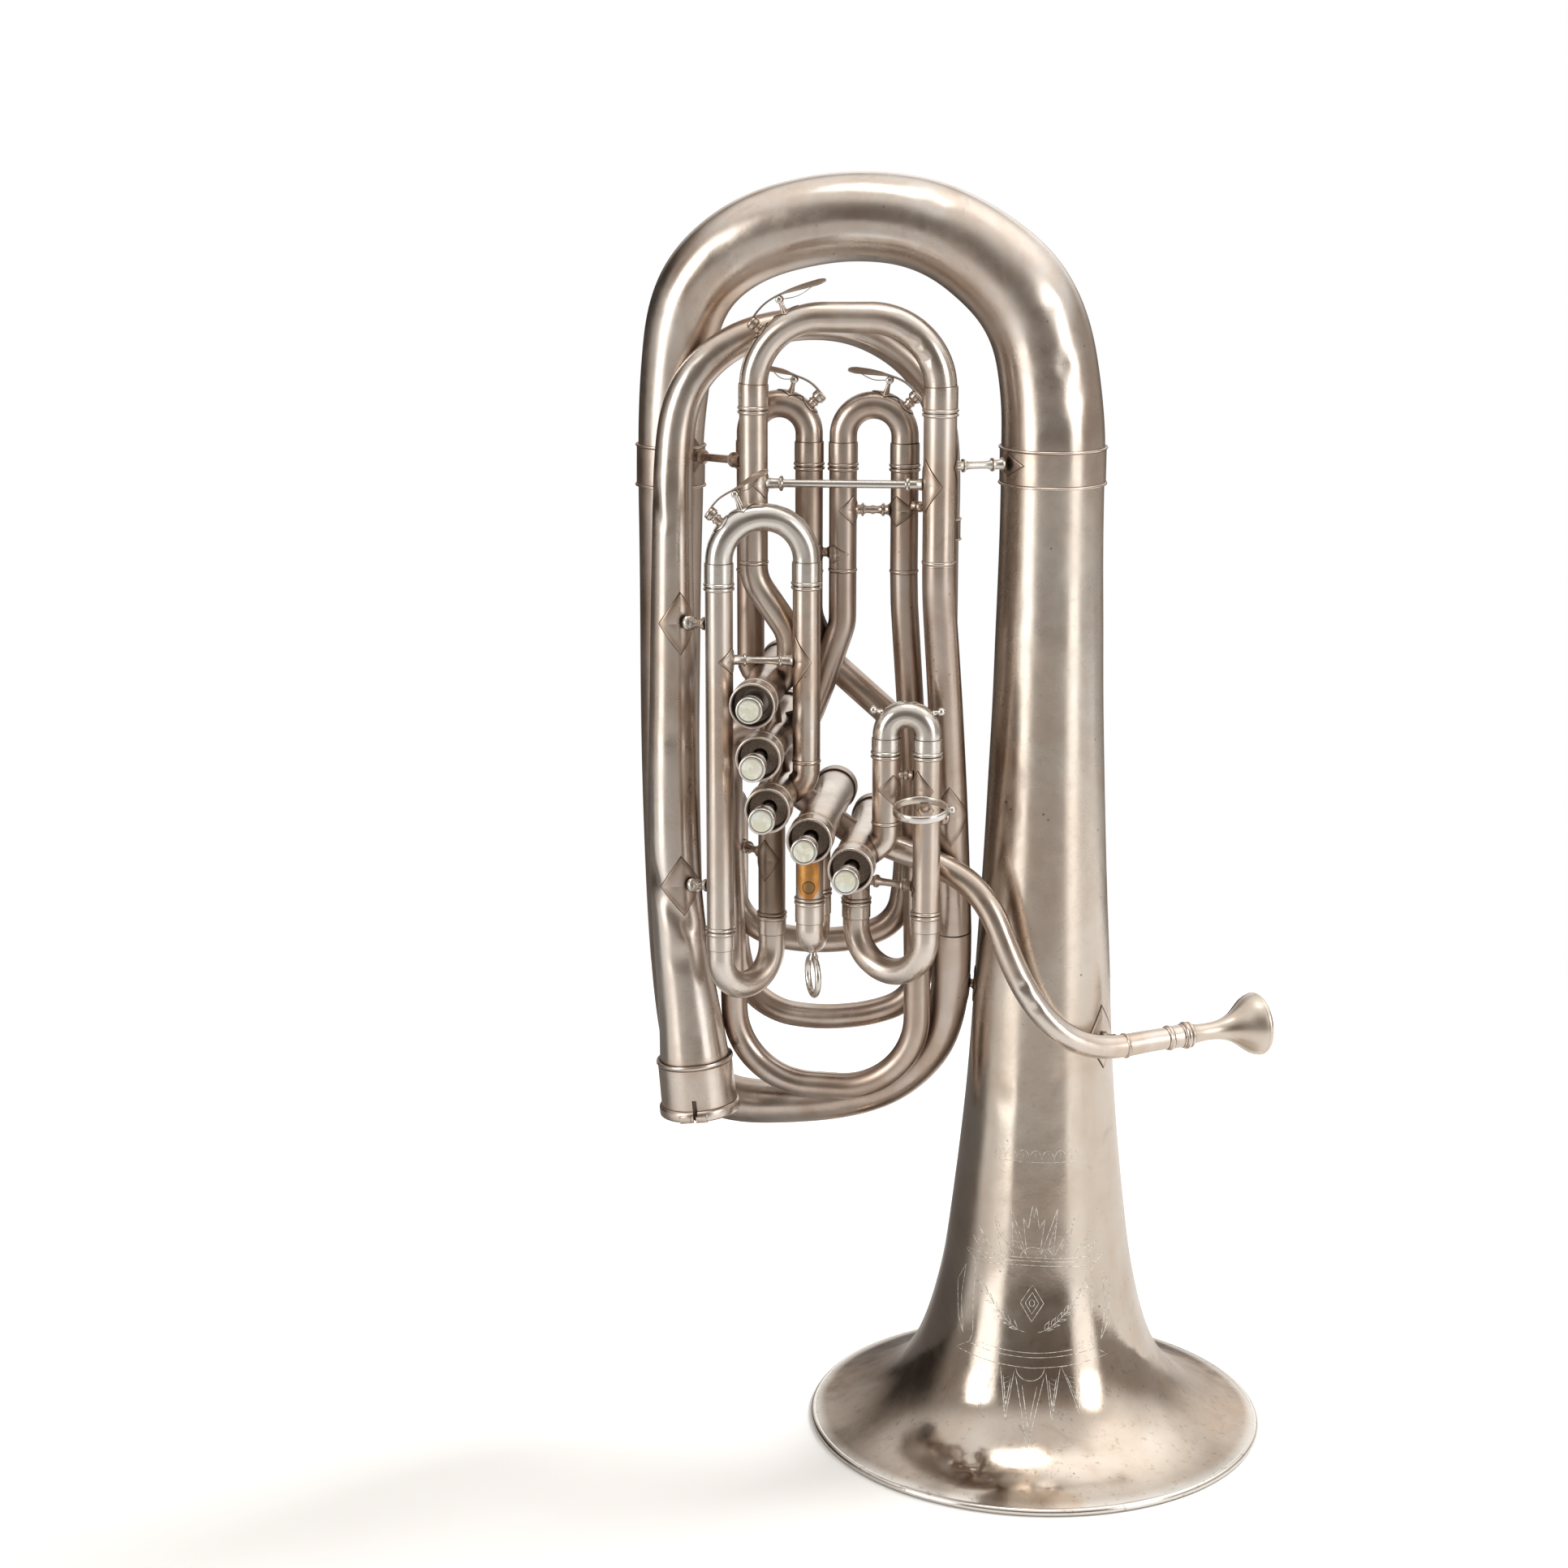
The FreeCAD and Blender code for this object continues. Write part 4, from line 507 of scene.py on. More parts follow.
class G:
    """Short hand for node graphs."""

    def __init__(self, tree):
        self.t = tree

    def n(self, kind, **kw):
        x = self.t.nodes.new(kind)
        for k, v in kw.items():
            setattr(x, k, v)
        return x

    def link(self, a, b):
        self.t.links.new(a, b)

    def coords(self, scale=(1, 1, 1)):
        tc = self.n("ShaderNodeTexCoord")
        mp = self.n("ShaderNodeMapping")
        mp.inputs["Scale"].default_value = scale
        self.link(tc.outputs["Object"], mp.inputs[0])
        return mp.outputs[0]

    def noise(self, co, scale, detail=4.0, rough=0.55, dist=0.0):
        x = self.n("ShaderNodeTexNoise")
        x.inputs["Scale"].default_value = scale
        x.inputs["Detail"].default_value = detail
        x.inputs["Roughness"].default_value = rough
        x.inputs["Distortion"].default_value = dist
        self.link(co, x.inputs["Vector"])
        return x.outputs["Fac"]

    def voronoi(self, co, scale, feature="F1", rnd=1.0):
        x = self.n("ShaderNodeTexVoronoi", feature=feature)
        x.inputs["Scale"].default_value = scale
        x.inputs["Randomness"].default_value = rnd
        self.link(co, x.inputs["Vector"])
        return x

    def ramp(self, fac, a, b, lo=0.0, hi=1.0, clamp=True):
        x = self.n("ShaderNodeMapRange", clamp=clamp, interpolation_type="SMOOTHSTEP" if clamp else "LINEAR")
        x.inputs["From Min"].default_value = a
        x.inputs["From Max"].default_value = b
        x.inputs["To Min"].default_value = lo
        x.inputs["To Max"].default_value = hi
        self.link(fac, x.inputs["Value"])
        return x.outputs[0]

    def math(self, op, a, b=None, clamp=False):
        x = self.n("ShaderNodeMath", operation=op, use_clamp=clamp)
        for i, v in enumerate((a, b)):
            if v is None:
                continue
            if isinstance(v, (int, float)):
                x.inputs[i].default_value = v
            else:
                self.link(v, x.inputs[i])
        return x.outputs[0]

    def mix(self, fac, a, b, blend="MIX"):
        x = self.n("ShaderNodeMix", data_type="RGBA", blend_type=blend)
        for sock, v in ((x.inputs[0], fac), (x.inputs[6], a), (x.inputs[7], b)):
            if isinstance(v, (int, float)):
                sock.default_value = v
            elif isinstance(v, tuple):
                sock.default_value = (*v, 1.0) if len(v) == 3 else v
            else:
                self.link(v, sock)
        return x.outputs[2]

    def attr(self, name):
        x = self.n("ShaderNodeAttribute", attribute_name=name)
        return x.outputs["Fac"]


def silver(name, clean=(0.745, 0.692, 0.643), warm=(0.58, 0.455, 0.362), dark=(0.20, 0.14, 0.112), age=0.5, rough=0.235, frost=0.10, spots=0.5,
           bump=0.35, scratch=0.5):
    """Old silver plate: clean silver, a warm film in clouds, brown sulphide with painted shade in corners and
    near-black painted shade in the tightest gaps, dark freckles, hairline scratches.
    """
    m = bpy.data.materials.new(name)
    t, b = nt(m)
    g = G(t)
    co = g.coords()
    cloud = g.noise(co, 14.0, 5.0, 0.6, 0.6)
    fine = g.noise(co, 85.0, 6.0, 0.62, 0.3)
    streak = g.noise(g.coords((60, 60, 9)), 1.0, 5.0, 0.6)
    dirt_and_shade = g.attr("dirt_and_shade")
    # warm film
    film = g.math("ADD", g.ramp(cloud, 0.36, 0.72, 0.0, 0.75), g.math("MULTIPLY", g.ramp(streak, 0.4, 0.75), 0.35))
    film = g.math("MULTIPLY", film, age * 1.7, clamp=True)
    film = g.math("ADD", film, g.math("MULTIPLY", dirt_and_shade, 0.85), clamp=True)
    c1 = g.mix(film, clean, warm)
    # brown in recesses: tarnish, with painted shade from the occlusion pass
    brown = g.math("MULTIPLY", g.math("ADD", dirt_and_shade, g.math("MULTIPLY", g.ramp(fine, 0.35, 0.7), 0.45)), dirt_and_shade)
    brown = g.ramp(brown, 0.18, 1.15)
    c2 = g.mix(brown, c1, dark)
    # near black where the darkening value is highest: dark joint lines, and painted shade in gaps, bores and cups
    c2 = g.mix(g.ramp(dirt_and_shade, 0.72, 0.98, 0.0, 0.9), c2, (0.060, 0.043, 0.034))
    # freckles
    v = g.voronoi(co, 150.0)
    sp = g.ramp(v.outputs["Distance"], 0.06, 0.16, 1.0, 0.0)
    pick = g.ramp(g.noise(co, 55.0, 2.0), 0.60, 0.66)
    sp = g.math("MULTIPLY", g.math("MULTIPLY", sp, pick), spots)
    c3 = g.mix(sp, c2, (0.20, 0.13, 0.11))
    # blotches of violet-brown bloom
    bl = g.ramp(g.noise(co, 30.0, 4.0, 0.65, 1.2), 0.60, 0.74, 0.0, 0.34 * age * 2)
    c4 = g.mix(bl, c3, (0.45, 0.36, 0.335))
    g.link(c4, b.inputs["Base Color"])
    b.inputs["Metallic"].default_value = 1.0
    # gloss: rubbed and frosted places
    r = g.ramp(g.noise(co, 22.0, 4.0, 0.6, 0.5), 0.3, 0.75, rough - frost * 0.5, rough + frost)
    r = g.math("ADD", r, g.math("MULTIPLY", dirt_and_shade, 0.16))
    r = g.math("ADD", r, g.math("MULTIPLY", g.ramp(fine, 0.3, 0.8), 0.05))
    g.link(r, b.inputs["Roughness"])
    # unevenness: slow handling dings, grain, hairlines
    h1 = g.noise(co, 26.0, 2.0, 0.5)
    h2 = g.noise(co, 420.0, 3.0, 0.6)
    h3 = g.noise(g.coords((900, 900, 40)), 1.0, 3.0, 0.7, 0.4)
    h4 = g.noise(g.coords((35, 1000, 700)), 1.0, 2.0, 0.6, 1.0)
    hair = g.math("MULTIPLY", g.math("ADD", g.ramp(h3, 0.62, 0.72), g.ramp(h4, 0.66, 0.74)), scratch)
    h = g.math("ADD", g.math("MULTIPLY", h1, 1.0), g.math("MULTIPLY", h2, 0.05))
    h = g.math("SUBTRACT", h, g.math("MULTIPLY", hair, 0.02))
    h = g.math("SUBTRACT", h, g.math("MULTIPLY", sp, 0.03))
    bp = g.n("ShaderNodeBump")
    bp.inputs["Strength"].default_value = bump
    bp.inputs["Distance"].default_value = 0.0012
    g.link(h, bp.inputs["Height"])
    g.link(bp.outputs[0], b.inputs["Normal"])
    return m


def bell_silver():
    """The bell: satin above, burnished flare and front, with bare dark cloud marks."""
    m = silver("silver_bell", clean=(0.745, 0.700, 0.652), warm=(0.59, 0.475, 0.38), age=0.40, rough=0.255, frost=0.09, spots=0.75, bump=0.30)
    t = m.node_tree
    g = G(t)
    b = [n for n in t.nodes if n.type == "BSDF_PRINCIPLED"][0]
    # burnished zone from the painted-on attribute
    br = g.attr("bright")
    old = b.inputs["Roughness"].links[0].from_socket
    co = g.coords()
    wob = g.ramp(g.noise(co, 30.0, 4.0, 0.6, 0.8), 0.3, 0.7, 0.75, 1.1)
    k = g.math("MULTIPLY", br, wob, clamp=True)
    r = g.math("SUBTRACT", old, g.math("MULTIPLY", k, 0.165))
    g.link(r, b.inputs["Roughness"])
    # browner towards the flare, and painted shade on the left side where the bell faces the tubing
    sp = g.n("ShaderNodeSeparateXYZ")
    g.link(co, sp.inputs[0])
    base = b.inputs["Base Color"].links[0].from_socket
    c = g.mix(1.0, base, g.mix(g.ramp(sp.outputs["Z"], 0.20, 0.42), (0.86, 0.825, 0.785), (0.98, 0.965, 0.94)), blend="MULTIPLY")
    wobx = g.math("MULTIPLY", g.math("SUBTRACT", g.noise(co, 24.0, 4.0, 0.6, 0.5), 0.5), 0.030)
    # painted shade on the left side of the stem, facing the tubing
    left = g.ramp(g.math("ADD", sp.outputs["X"], wobx), -0.020, -0.062, 0.0, 1.0)
    left = g.math("MULTIPLY", left, g.math("MULTIPLY", g.ramp(sp.outputs["Z"], 0.42, 0.30), g.ramp(sp.outputs["Z"], 0.02, 0.10, 0.50, 1.0)))
    c = g.mix(g.math("MULTIPLY", left, 0.60), c, (0.200, 0.150, 0.118))
    c = g.mix(g.ramp(sp.outputs["Z"], 0.0060, 0.0040), c, (0.84, 0.80, 0.75))      # rim wire painted lighter than clean silver: rubbed wear with a painted highlight
    fleck = g.math("MULTIPLY", g.ramp(g.noise(co, 210.0, 4.0, 0.65), 0.56, 0.70), g.ramp(sp.outputs["Z"], 0.14, 0.02, 0.10, 0.42))
    c = g.mix(fleck, c, (0.27, 0.205, 0.155))
    g.link(c, b.inputs["Base Color"])
    return m


def nacre():
    """Mother-of-pearl: layered pale green and cream sheen."""
    m = bpy.data.materials.new("nacre")
    t, b = nt(m)
    g = G(t)
    co = g.coords()
    w = g.n("ShaderNodeTexWave", wave_type="BANDS", bands_direction="DIAGONAL")
    w.inputs["Scale"].default_value = 55.0
    w.inputs["Distortion"].default_value = 9.0
    w.inputs["Detail"].default_value = 3.0
    w.inputs["Detail Scale"].default_value = 1.6
    g.link(co, w.inputs[0])
    n1 = g.noise(co, 160.0, 4.0, 0.6, 1.5)
    n2 = g.noise(co, 70.0, 2.0, 0.5, 0.6)
    c = g.mix(g.ramp(w.outputs["Fac"], 0.2, 0.8), (0.60, 0.61, 0.47), (0.74, 0.75, 0.66))
    c = g.mix(g.ramp(n1, 0.42, 0.62), c, (0.64, 0.60, 0.50))
    c = g.mix(g.ramp(n2, 0.45, 0.65, 0.0, 0.6), c, (0.62, 0.72, 0.72))
    g.link(c, b.inputs["Base Color"])
    b.inputs["Roughness"].default_value = 0.18
    b.inputs["Specular IOR Level"].default_value = 0.6
    b.inputs["Coat Weight"].default_value = 0.5
    b.inputs["Coat Roughness"].default_value = 0.08
    b.inputs["Subsurface Weight"].default_value = 0.1
    b.inputs["Subsurface Radius"].default_value = (0.002, 0.002, 0.0015)
    bp = g.n("ShaderNodeBump")
    bp.inputs["Strength"].default_value = 0.25
    bp.inputs["Distance"].default_value = 0.0003
    g.link(n1, bp.inputs["Height"])
    g.link(bp.outputs[0], b.inputs["Normal"])
    return m


def cork_mat():
    m = bpy.data.materials.new("cork")
    t, b = nt(m)
    g = G(t)
    co = g.coords()
    v = g.voronoi(co, 1400.0)
    n1 = g.noise(co, 600.0, 4.0)
    c = g.mix(g.ramp(v.outputs["Distance"], 0.2, 0.7), (0.20, 0.12, 0.07), (0.42, 0.29, 0.18))
    c = g.mix(g.ramp(n1, 0.45, 0.6, 0.0, 0.7), c, (0.12, 0.08, 0.05))
    g.link(c, b.inputs["Base Color"])
    b.inputs["Roughness"].default_value = 0.85
    bp = g.n("ShaderNodeBump")
    bp.inputs["Strength"].default_value = 0.6
    bp.inputs["Distance"].default_value = 0.0002
    g.link(v.outputs["Distance"], bp.inputs["Height"])
    g.link(bp.outputs[0], b.inputs["Normal"])
    return m


def felt_mat():
    m = bpy.data.materials.new("dark_felt")
    t, b = nt(m)
    g = G(t)
    co = g.coords()
    n1 = g.noise(co, 900.0, 4.0)
    g.link(g.mix(g.ramp(n1, 0.3, 0.7), (0.150, 0.112, 0.085), (0.260, 0.200, 0.155)), b.inputs["Base Color"])
    b.inputs["Roughness"].default_value = 0.95
    b.inputs["Sheen Weight"].default_value = 0.2
    bp = g.n("ShaderNodeBump")
    bp.inputs["Strength"].default_value = 0.5
    bp.inputs["Distance"].default_value = 0.0003
    g.link(n1, bp.inputs["Height"])
    g.link(bp.outputs[0], b.inputs["Normal"])
    return m


def patch_mat(xc, zc):
    """Silver plate worn through at the front to copper-coloured brass, with a round solder mark."""
    m = silver("worn_through_plate", clean=(0.60, 0.54, 0.48), warm=(0.46, 0.37, 0.29), dark=(0.17, 0.12, 0.09), age=0.7, rough=0.28, spots=0.4)
    t = m.node_tree
    g = G(t)
    b = [n for n in t.nodes if n.type == "BSDF_PRINCIPLED"][0]
    old = b.inputs["Base Color"].links[0].from_socket
    co = g.coords()
    sp = g.n("ShaderNodeSeparateXYZ")
    g.link(co, sp.inputs[0])
    n1 = g.noise(co, 420.0, 4.0, 0.6, 0.8)
    n2 = g.noise(co, 90.0, 3.0, 0.6)
    wob = g.math("MULTIPLY", g.math("SUBTRACT", n1, 0.5), 0.45)
    dx = g.math("DIVIDE", g.math("SUBTRACT", sp.outputs["X"], xc * 0.001), 0.0066)
    dz = g.math("DIVIDE", g.math("SUBTRACT", sp.outputs["Z"], zc * 0.001), 0.0125)
    e = g.math("ADD", g.math("POWER", g.math("ABSOLUTE", dx), 2.6), g.math("POWER", g.math("ABSOLUTE", dz), 2.6))
    e = g.math("ADD", e, wob)
    mask = g.ramp(e, 0.86, 1.02, 1.0, 0.0)
    mask = g.math("MULTIPLY", mask, g.ramp(sp.outputs["Y"], -0.0660, -0.0690))
    rim = g.math("MULTIPLY", g.ramp(e, 0.62, 0.86, 0.0, 1.0), mask)
    brass = g.mix(g.ramp(n2, 0.35, 0.65), (0.66, 0.36, 0.115), (0.50, 0.235, 0.07))
    brass = g.mix(g.math("MULTIPLY", rim, 0.55), brass, (0.72, 0.25, 0.09))
    # solder mark
    rx = g.math("SUBTRACT", sp.outputs["X"], (xc + 0.3) * 0.001)
    rz = g.math("SUBTRACT", sp.outputs["Z"], (zc - 5.2) * 0.001)
    rr = g.math("SQRT", g.math("ADD", g.math("MULTIPLY", rx, rx), g.math("MULTIPLY", rz, rz)))
    disc = g.ramp(rr, 0.0033, 0.0037, 1.0, 0.0)
    ring = g.math("MULTIPLY", g.ramp(rr, 0.0029, 0.0034, 0.0, 1.0), g.ramp(rr, 0.0037, 0.0041, 1.0, 0.0))
    brass = g.mix(g.math("MULTIPLY", disc, 0.8), brass, (0.30, 0.20, 0.095))
    brass = g.mix(g.math("MULTIPLY", ring, 0.85), brass, (0.12, 0.06, 0.03))
    g.link(g.mix(mask, old, brass), b.inputs["Base Color"])
    return m


def spring_mat():
    m = bpy.data.materials.new("spring_steel")
    t, b = nt(m)
    g = G(t)
    co = g.coords()
    n1 = g.noise(co, 300.0, 4.0)
    c = g.mix(g.ramp(n1, 0.4, 0.7), (0.42, 0.40, 0.38), (0.22, 0.17, 0.13))
    g.link(c, b.inputs["Base Color"])
    b.inputs["Metallic"].default_value = 1.0
    b.inputs["Roughness"].default_value = 0.35
    return m


def etch_mat():
    """Engraver's cut: bright broken lines in the plate."""
    m = bpy.data.materials.new("engraved_line")
    t, b = nt(m)
    g = G(t)
    co = g.coords()
    n1 = g.noise(co, 500.0, 3.0)
    c = g.mix(g.ramp(n1, 0.40, 0.62), (0.88, 0.86, 0.82), (0.44, 0.40, 0.36))
    g.link(c, b.inputs["Base Color"])
    b.inputs["Metallic"].default_value = 1.0
    r = g.ramp(n1, 0.3, 0.7, 0.38, 0.6)
    g.link(r, b.inputs["Roughness"])
    return m


MAT = {
    "silver": silver("silver_plate"),
    "silver_old": silver("silver_plate_dull", clean=(0.61, 0.537, 0.484), warm=(0.475, 0.370, 0.302), dark=(0.17, 0.118, 0.093), age=0.75, rough=0.265, spots=0.6),
    "silver_dark": silver("silver_plate_brown", clean=(0.46, 0.385, 0.325), warm=(0.34, 0.265, 0.21), dark=(0.13, 0.09, 0.07), age=0.85, rough=0.34, spots=0.6),
    "silver_new": silver("silver_plate_handled", clean=(0.76, 0.74, 0.71), warm=(0.60, 0.54, 0.46), dark=(0.22, 0.18, 0.15), age=0.32, rough=0.19, frost=0.07, spots=0.25),
    "bell": bell_silver(),
    "worn": silver("silver_plate_worn", clean=(0.74, 0.68, 0.61), warm=(0.58, 0.47, 0.375), dark=(0.21, 0.15, 0.11), age=0.55, rough=0.28, frost=0.08, spots=0.9),
    "brass": silver("bare_brass", clean=(0.80, 0.48, 0.17), warm=(0.62, 0.35, 0.11), dark=(0.22, 0.12, 0.05), age=0.6, rough=0.22, spots=0.5),
    "pearl": nacre(),
    "patch": patch_mat(-133.4, 361.5),
    "cork": cork_mat(),
    "felt": felt_mat(),
    "spring": spring_mat(),
    "etch": etch_mat(),
}

# ---- tables (mm) --------------------------------------------------------------------------------
VALVES = {1: (-106.1, 374.1), 2: (-129.8, 390.7), 3: (-153.9, 407.5), 4: (-159.1, 437.6), 5: (-162.5, 468.3)}
BELL = [(595.0, 30.0), (573.0, 30.0), (534.6, 30.6), (496.0, 31.6), (457.0, 32.6), (418.0, 34.1), (378.0, 35.8),
        (338.0, 37.8), (297.0, 40.1), (256.0, 42.3), (215.0, 45.0), (173.0, 49.0), (131.0, 53.9), (109.0, 57.0),
        (86.5, 61.6), (66.0, 67.2), (50.0, 73.5), (36.0, 82.0), (24.0, 93.5), (14.5, 107.5), (8.0, 122.0), (4.2, 136.0)]
MAIN_BOW = [(0, 0, 592, 30.0), (0, 0.0, 602, 30.0), (-0.1, 0.0, 609, 29.95), (-0.8, 0.5, 624, 29.5), (-3.1, 1.0, 645.0, 29.0),
            (-9.0, 2.0, 671.2, 28.8), (-21.3, 3.0, 694.0, 28.7), (-38.6, 4.0, 710.6, 27.8), (-59.0, 5.0, 724.0, 26.7),
            (-82.7, 6.0, 732.7, 25.9), (-107.7, 7.0, 735.6, 25.5), (-130.6, 8.0, 734.6, 25.4), (-152.2, 9.0, 730.6, 25.3),
            (-173.6, 10.0, 723.4, 24.8), (-193.6, 10.5, 711.4, 23.9), (-208.2, 11.0, 696.0, 23.0),
            (-217.0, 11.5, 677.2, 22.1), (-221.4, 12.0, 656.0, 21.2), (-224.3, 12.0, 631.8, 20.3),
            (-226.1, 12.0, 605.0, 19.45), (-226.4, 12.0, 588, 19.3)]
BIG_BRANCH = [(-226.4, 12.0, 592.0, 19.2), (-226.6, 12.0, 575.0, 19.2), (-226.8, 12.0, 557.0, 18.9),
              (-227.2, 12.0, 527.6, 18.4), (-227.8, 12.0, 478.2, 18.0), (-228.2, 12.0, 428.2, 17.6),
              (-227.4, 12.5, 356.8, 17.2), (-225.0, 13.0, 285.2, 16.6), (-222.7, 14.0, 252.8, 16.2),
              (-219.5, 15.0, 226.5, 15.9)]
BOTTOM_BOW = [(-219.5, 15.0, 226.5, 15.9), (-216.2, 15.5, 213.0, 15.5), (-208.6, 16.0, 201.8, 14.9),
              (-196.5, 16.0, 195.4, 14.3), (-180.0, 15.0, 193.0, 13.7), (-159.2, 13.0, 194.1, 13.2),
              (-133.4, 10.0, 197.7, 12.8), (-110.9, 8.0, 203.3, 12.5), (-92.8, 7.0, 211.3, 12.3),
              (-76.9, 6.0, 223.9, 12.1), (-65.0, 4.0, 240.2, 11.9), (-58.0, 0.5, 261.2, 11.7),
              (-54.8, -5.0, 284.1, 11.5), (-53.5, -12.0, 316.5, 11.2)]
RIGHT_BRANCH = [(-53.5, -12.0, 316.5, 11.2), (-54.6, -17.5, 360.6, 10.9), (-56.3, -23.5, 411.3, 10.5),
                (-58.6, -29.5, 461.4, 10.1), (-61.2, -35.0, 505.7, 9.8), (-62.3, -37.6, 528, 9.6),
                (-62.5, -38.0, 541.0, 9.5)]
SB_BRANCH = [(-208.6, -25.0, 232.0, 21.3), (-211.9, -25.0, 265.6, 18.6), (-215.6, -25.0, 297.2, 16.7),
             (-220.0, -24.5, 356.6, 15.2), (-221.0, -23.5, 411.3, 14.4), (-220.8, -22.5, 455.1, 13.6),
             (-220.6, -22.0, 499.6, 12.9), (-220.2, -22.0, 544.0, 12.1), (-219.8, -21.0, 581.1, 11.6),
             (-219.0, -20.0, 602.0, 11.3), (-216.6, -18.5, 621.7, 11.0), (-209.6, -16.5, 641.0, 10.6),
             (-196.3, -14.0, 656.6, 10.2), (-178.9, -11.0, 667.4, 9.9), (-159.5, -7.0, 673.2, 9.5),
             (-140.7, -3.0, 674.9, 9.2), (-120.5, 0.5, 672.5, 9.0), (-101.7, 3.5, 664.9, 8.8),
             (-85.7, 6.0, 653.2, 8.6), (-73.3, 7.5, 637.7, 8.4), (-65.6, 8.0, 618.4, 8.2), (-62.6, 8.0, 595, 8.1),
             (-62.3, 8.0, 558.0, 8.0)]
MOUTHPIPE = [(-106.1, -30, 376.8, 7.9), (-92.0, -31.5, 373.0, 7.9), (-79.3, -34, 369.2, 7.9), (-58.3, -38, 362.1, 7.85),
             (-41.1, -42.5, 352.7, 7.8), (-30.1, -46, 340.4, 7.7), (-20.6, -49.5, 320.9, 7.6), (-11.1, -52, 300.0, 7.5),
             (0.3, -53, 281.9, 7.4), (13.8, -50.5, 267.3, 7.3), (30.4, -42.8, 257.4, 7.1), (48.7, -31.0, 253.7, 6.9),
             (62.0, -23.0, 254.2, 6.7), (75.8, -15.0, 254.6, 6.5)]
MP0 = vec(75.8, -15.0, 254.6)
MPD = unit(vec(52.4, 30.0, 1.6))
SD = unit(vec(3.5, 0, -35.0))
S0 = vec(-208.4, -25.0, 230.6)
MY, MID = -38.0, -20.0

# ---- big bell ---------------------------------------------------------------------------------
_bp = np.array([(r, z) for z, r in BELL])
_bx = np.concatenate([[0], np.cumsum(np.linalg.norm(np.diff(_bp, axis=0), axis=1))])
_bf = cubic(_bx, _bp)
_bt = np.concatenate([np.linspace(0, _bx[-9], 90, endpoint=False), np.linspace(_bx[-9], _bx[-1], 80)])
BELL_RZ = _bf(_bt)
_d = np.gradient(BELL_RZ, axis=0)
_d /= np.linalg.norm(_d, axis=1)[:, None]
BELL_N = np.stack([-_d[:, 1], _d[:, 0]], 1)          # outward (r, z) normal of the outer skin
BELL_N[BELL_N[:, 0] < 0] *= -1


def bell_point(phi, z, lift=0.0):
    """Point on the bell's outer skin at an angle and a height, and its outward direction."""
    i = np.interp(-z, -BELL_RZ[:, 1], np.arange(len(BELL_RZ)))
    r = np.interp(i, np.arange(len(BELL_RZ)), BELL_RZ[:, 0])
    nr = np.interp(i, np.arange(len(BELL_RZ)), BELL_N[:, 0])
    nz = np.interp(i, np.arange(len(BELL_RZ)), BELL_N[:, 1])
    n = vec(nr * math.cos(phi), nr * math.sin(phi), nz)
    return vec(r * math.cos(phi), r * math.sin(phi), z) + n * lift, n


def bell_wave(p):
    """How far the hand-burnished skin stands off the true shape."""
    flare = smoothstep((170 - p[2]) / 120)
    a = noise.noise(Vector((p[0] / 48 + 3.1, p[1] / 48, p[2] / 70))) * (0.10 + 0.30 * flare)
    b = noise.noise(Vector((p[0] / 19, p[1] / 19 + 7.7, p[2] / 30))) * (0.03 + 0.05 * flare)
    return a + b


BELL_DENTS = [((14, -119, 9), 5.0, 0.9), ((88, -101, 10), 5.5, 0.8), ((-34, -106, 13), 7.0, 0.7), ((38, -96, 19), 8.0, 0.6),
              ((60, 102, 12), 9.0, 1.0), ((-96, 62, 14), 8.0, 0.9), ((-20, -38, 220), 7.0, 0.5), ((12, -43, 236), 5.0, 0.3),
              ((-36, 10, 330), 8.0, 0.6), ((30, 16, 420), 9.0, 0.5), ((-18, -29, 512), 9.0, 0.4)]


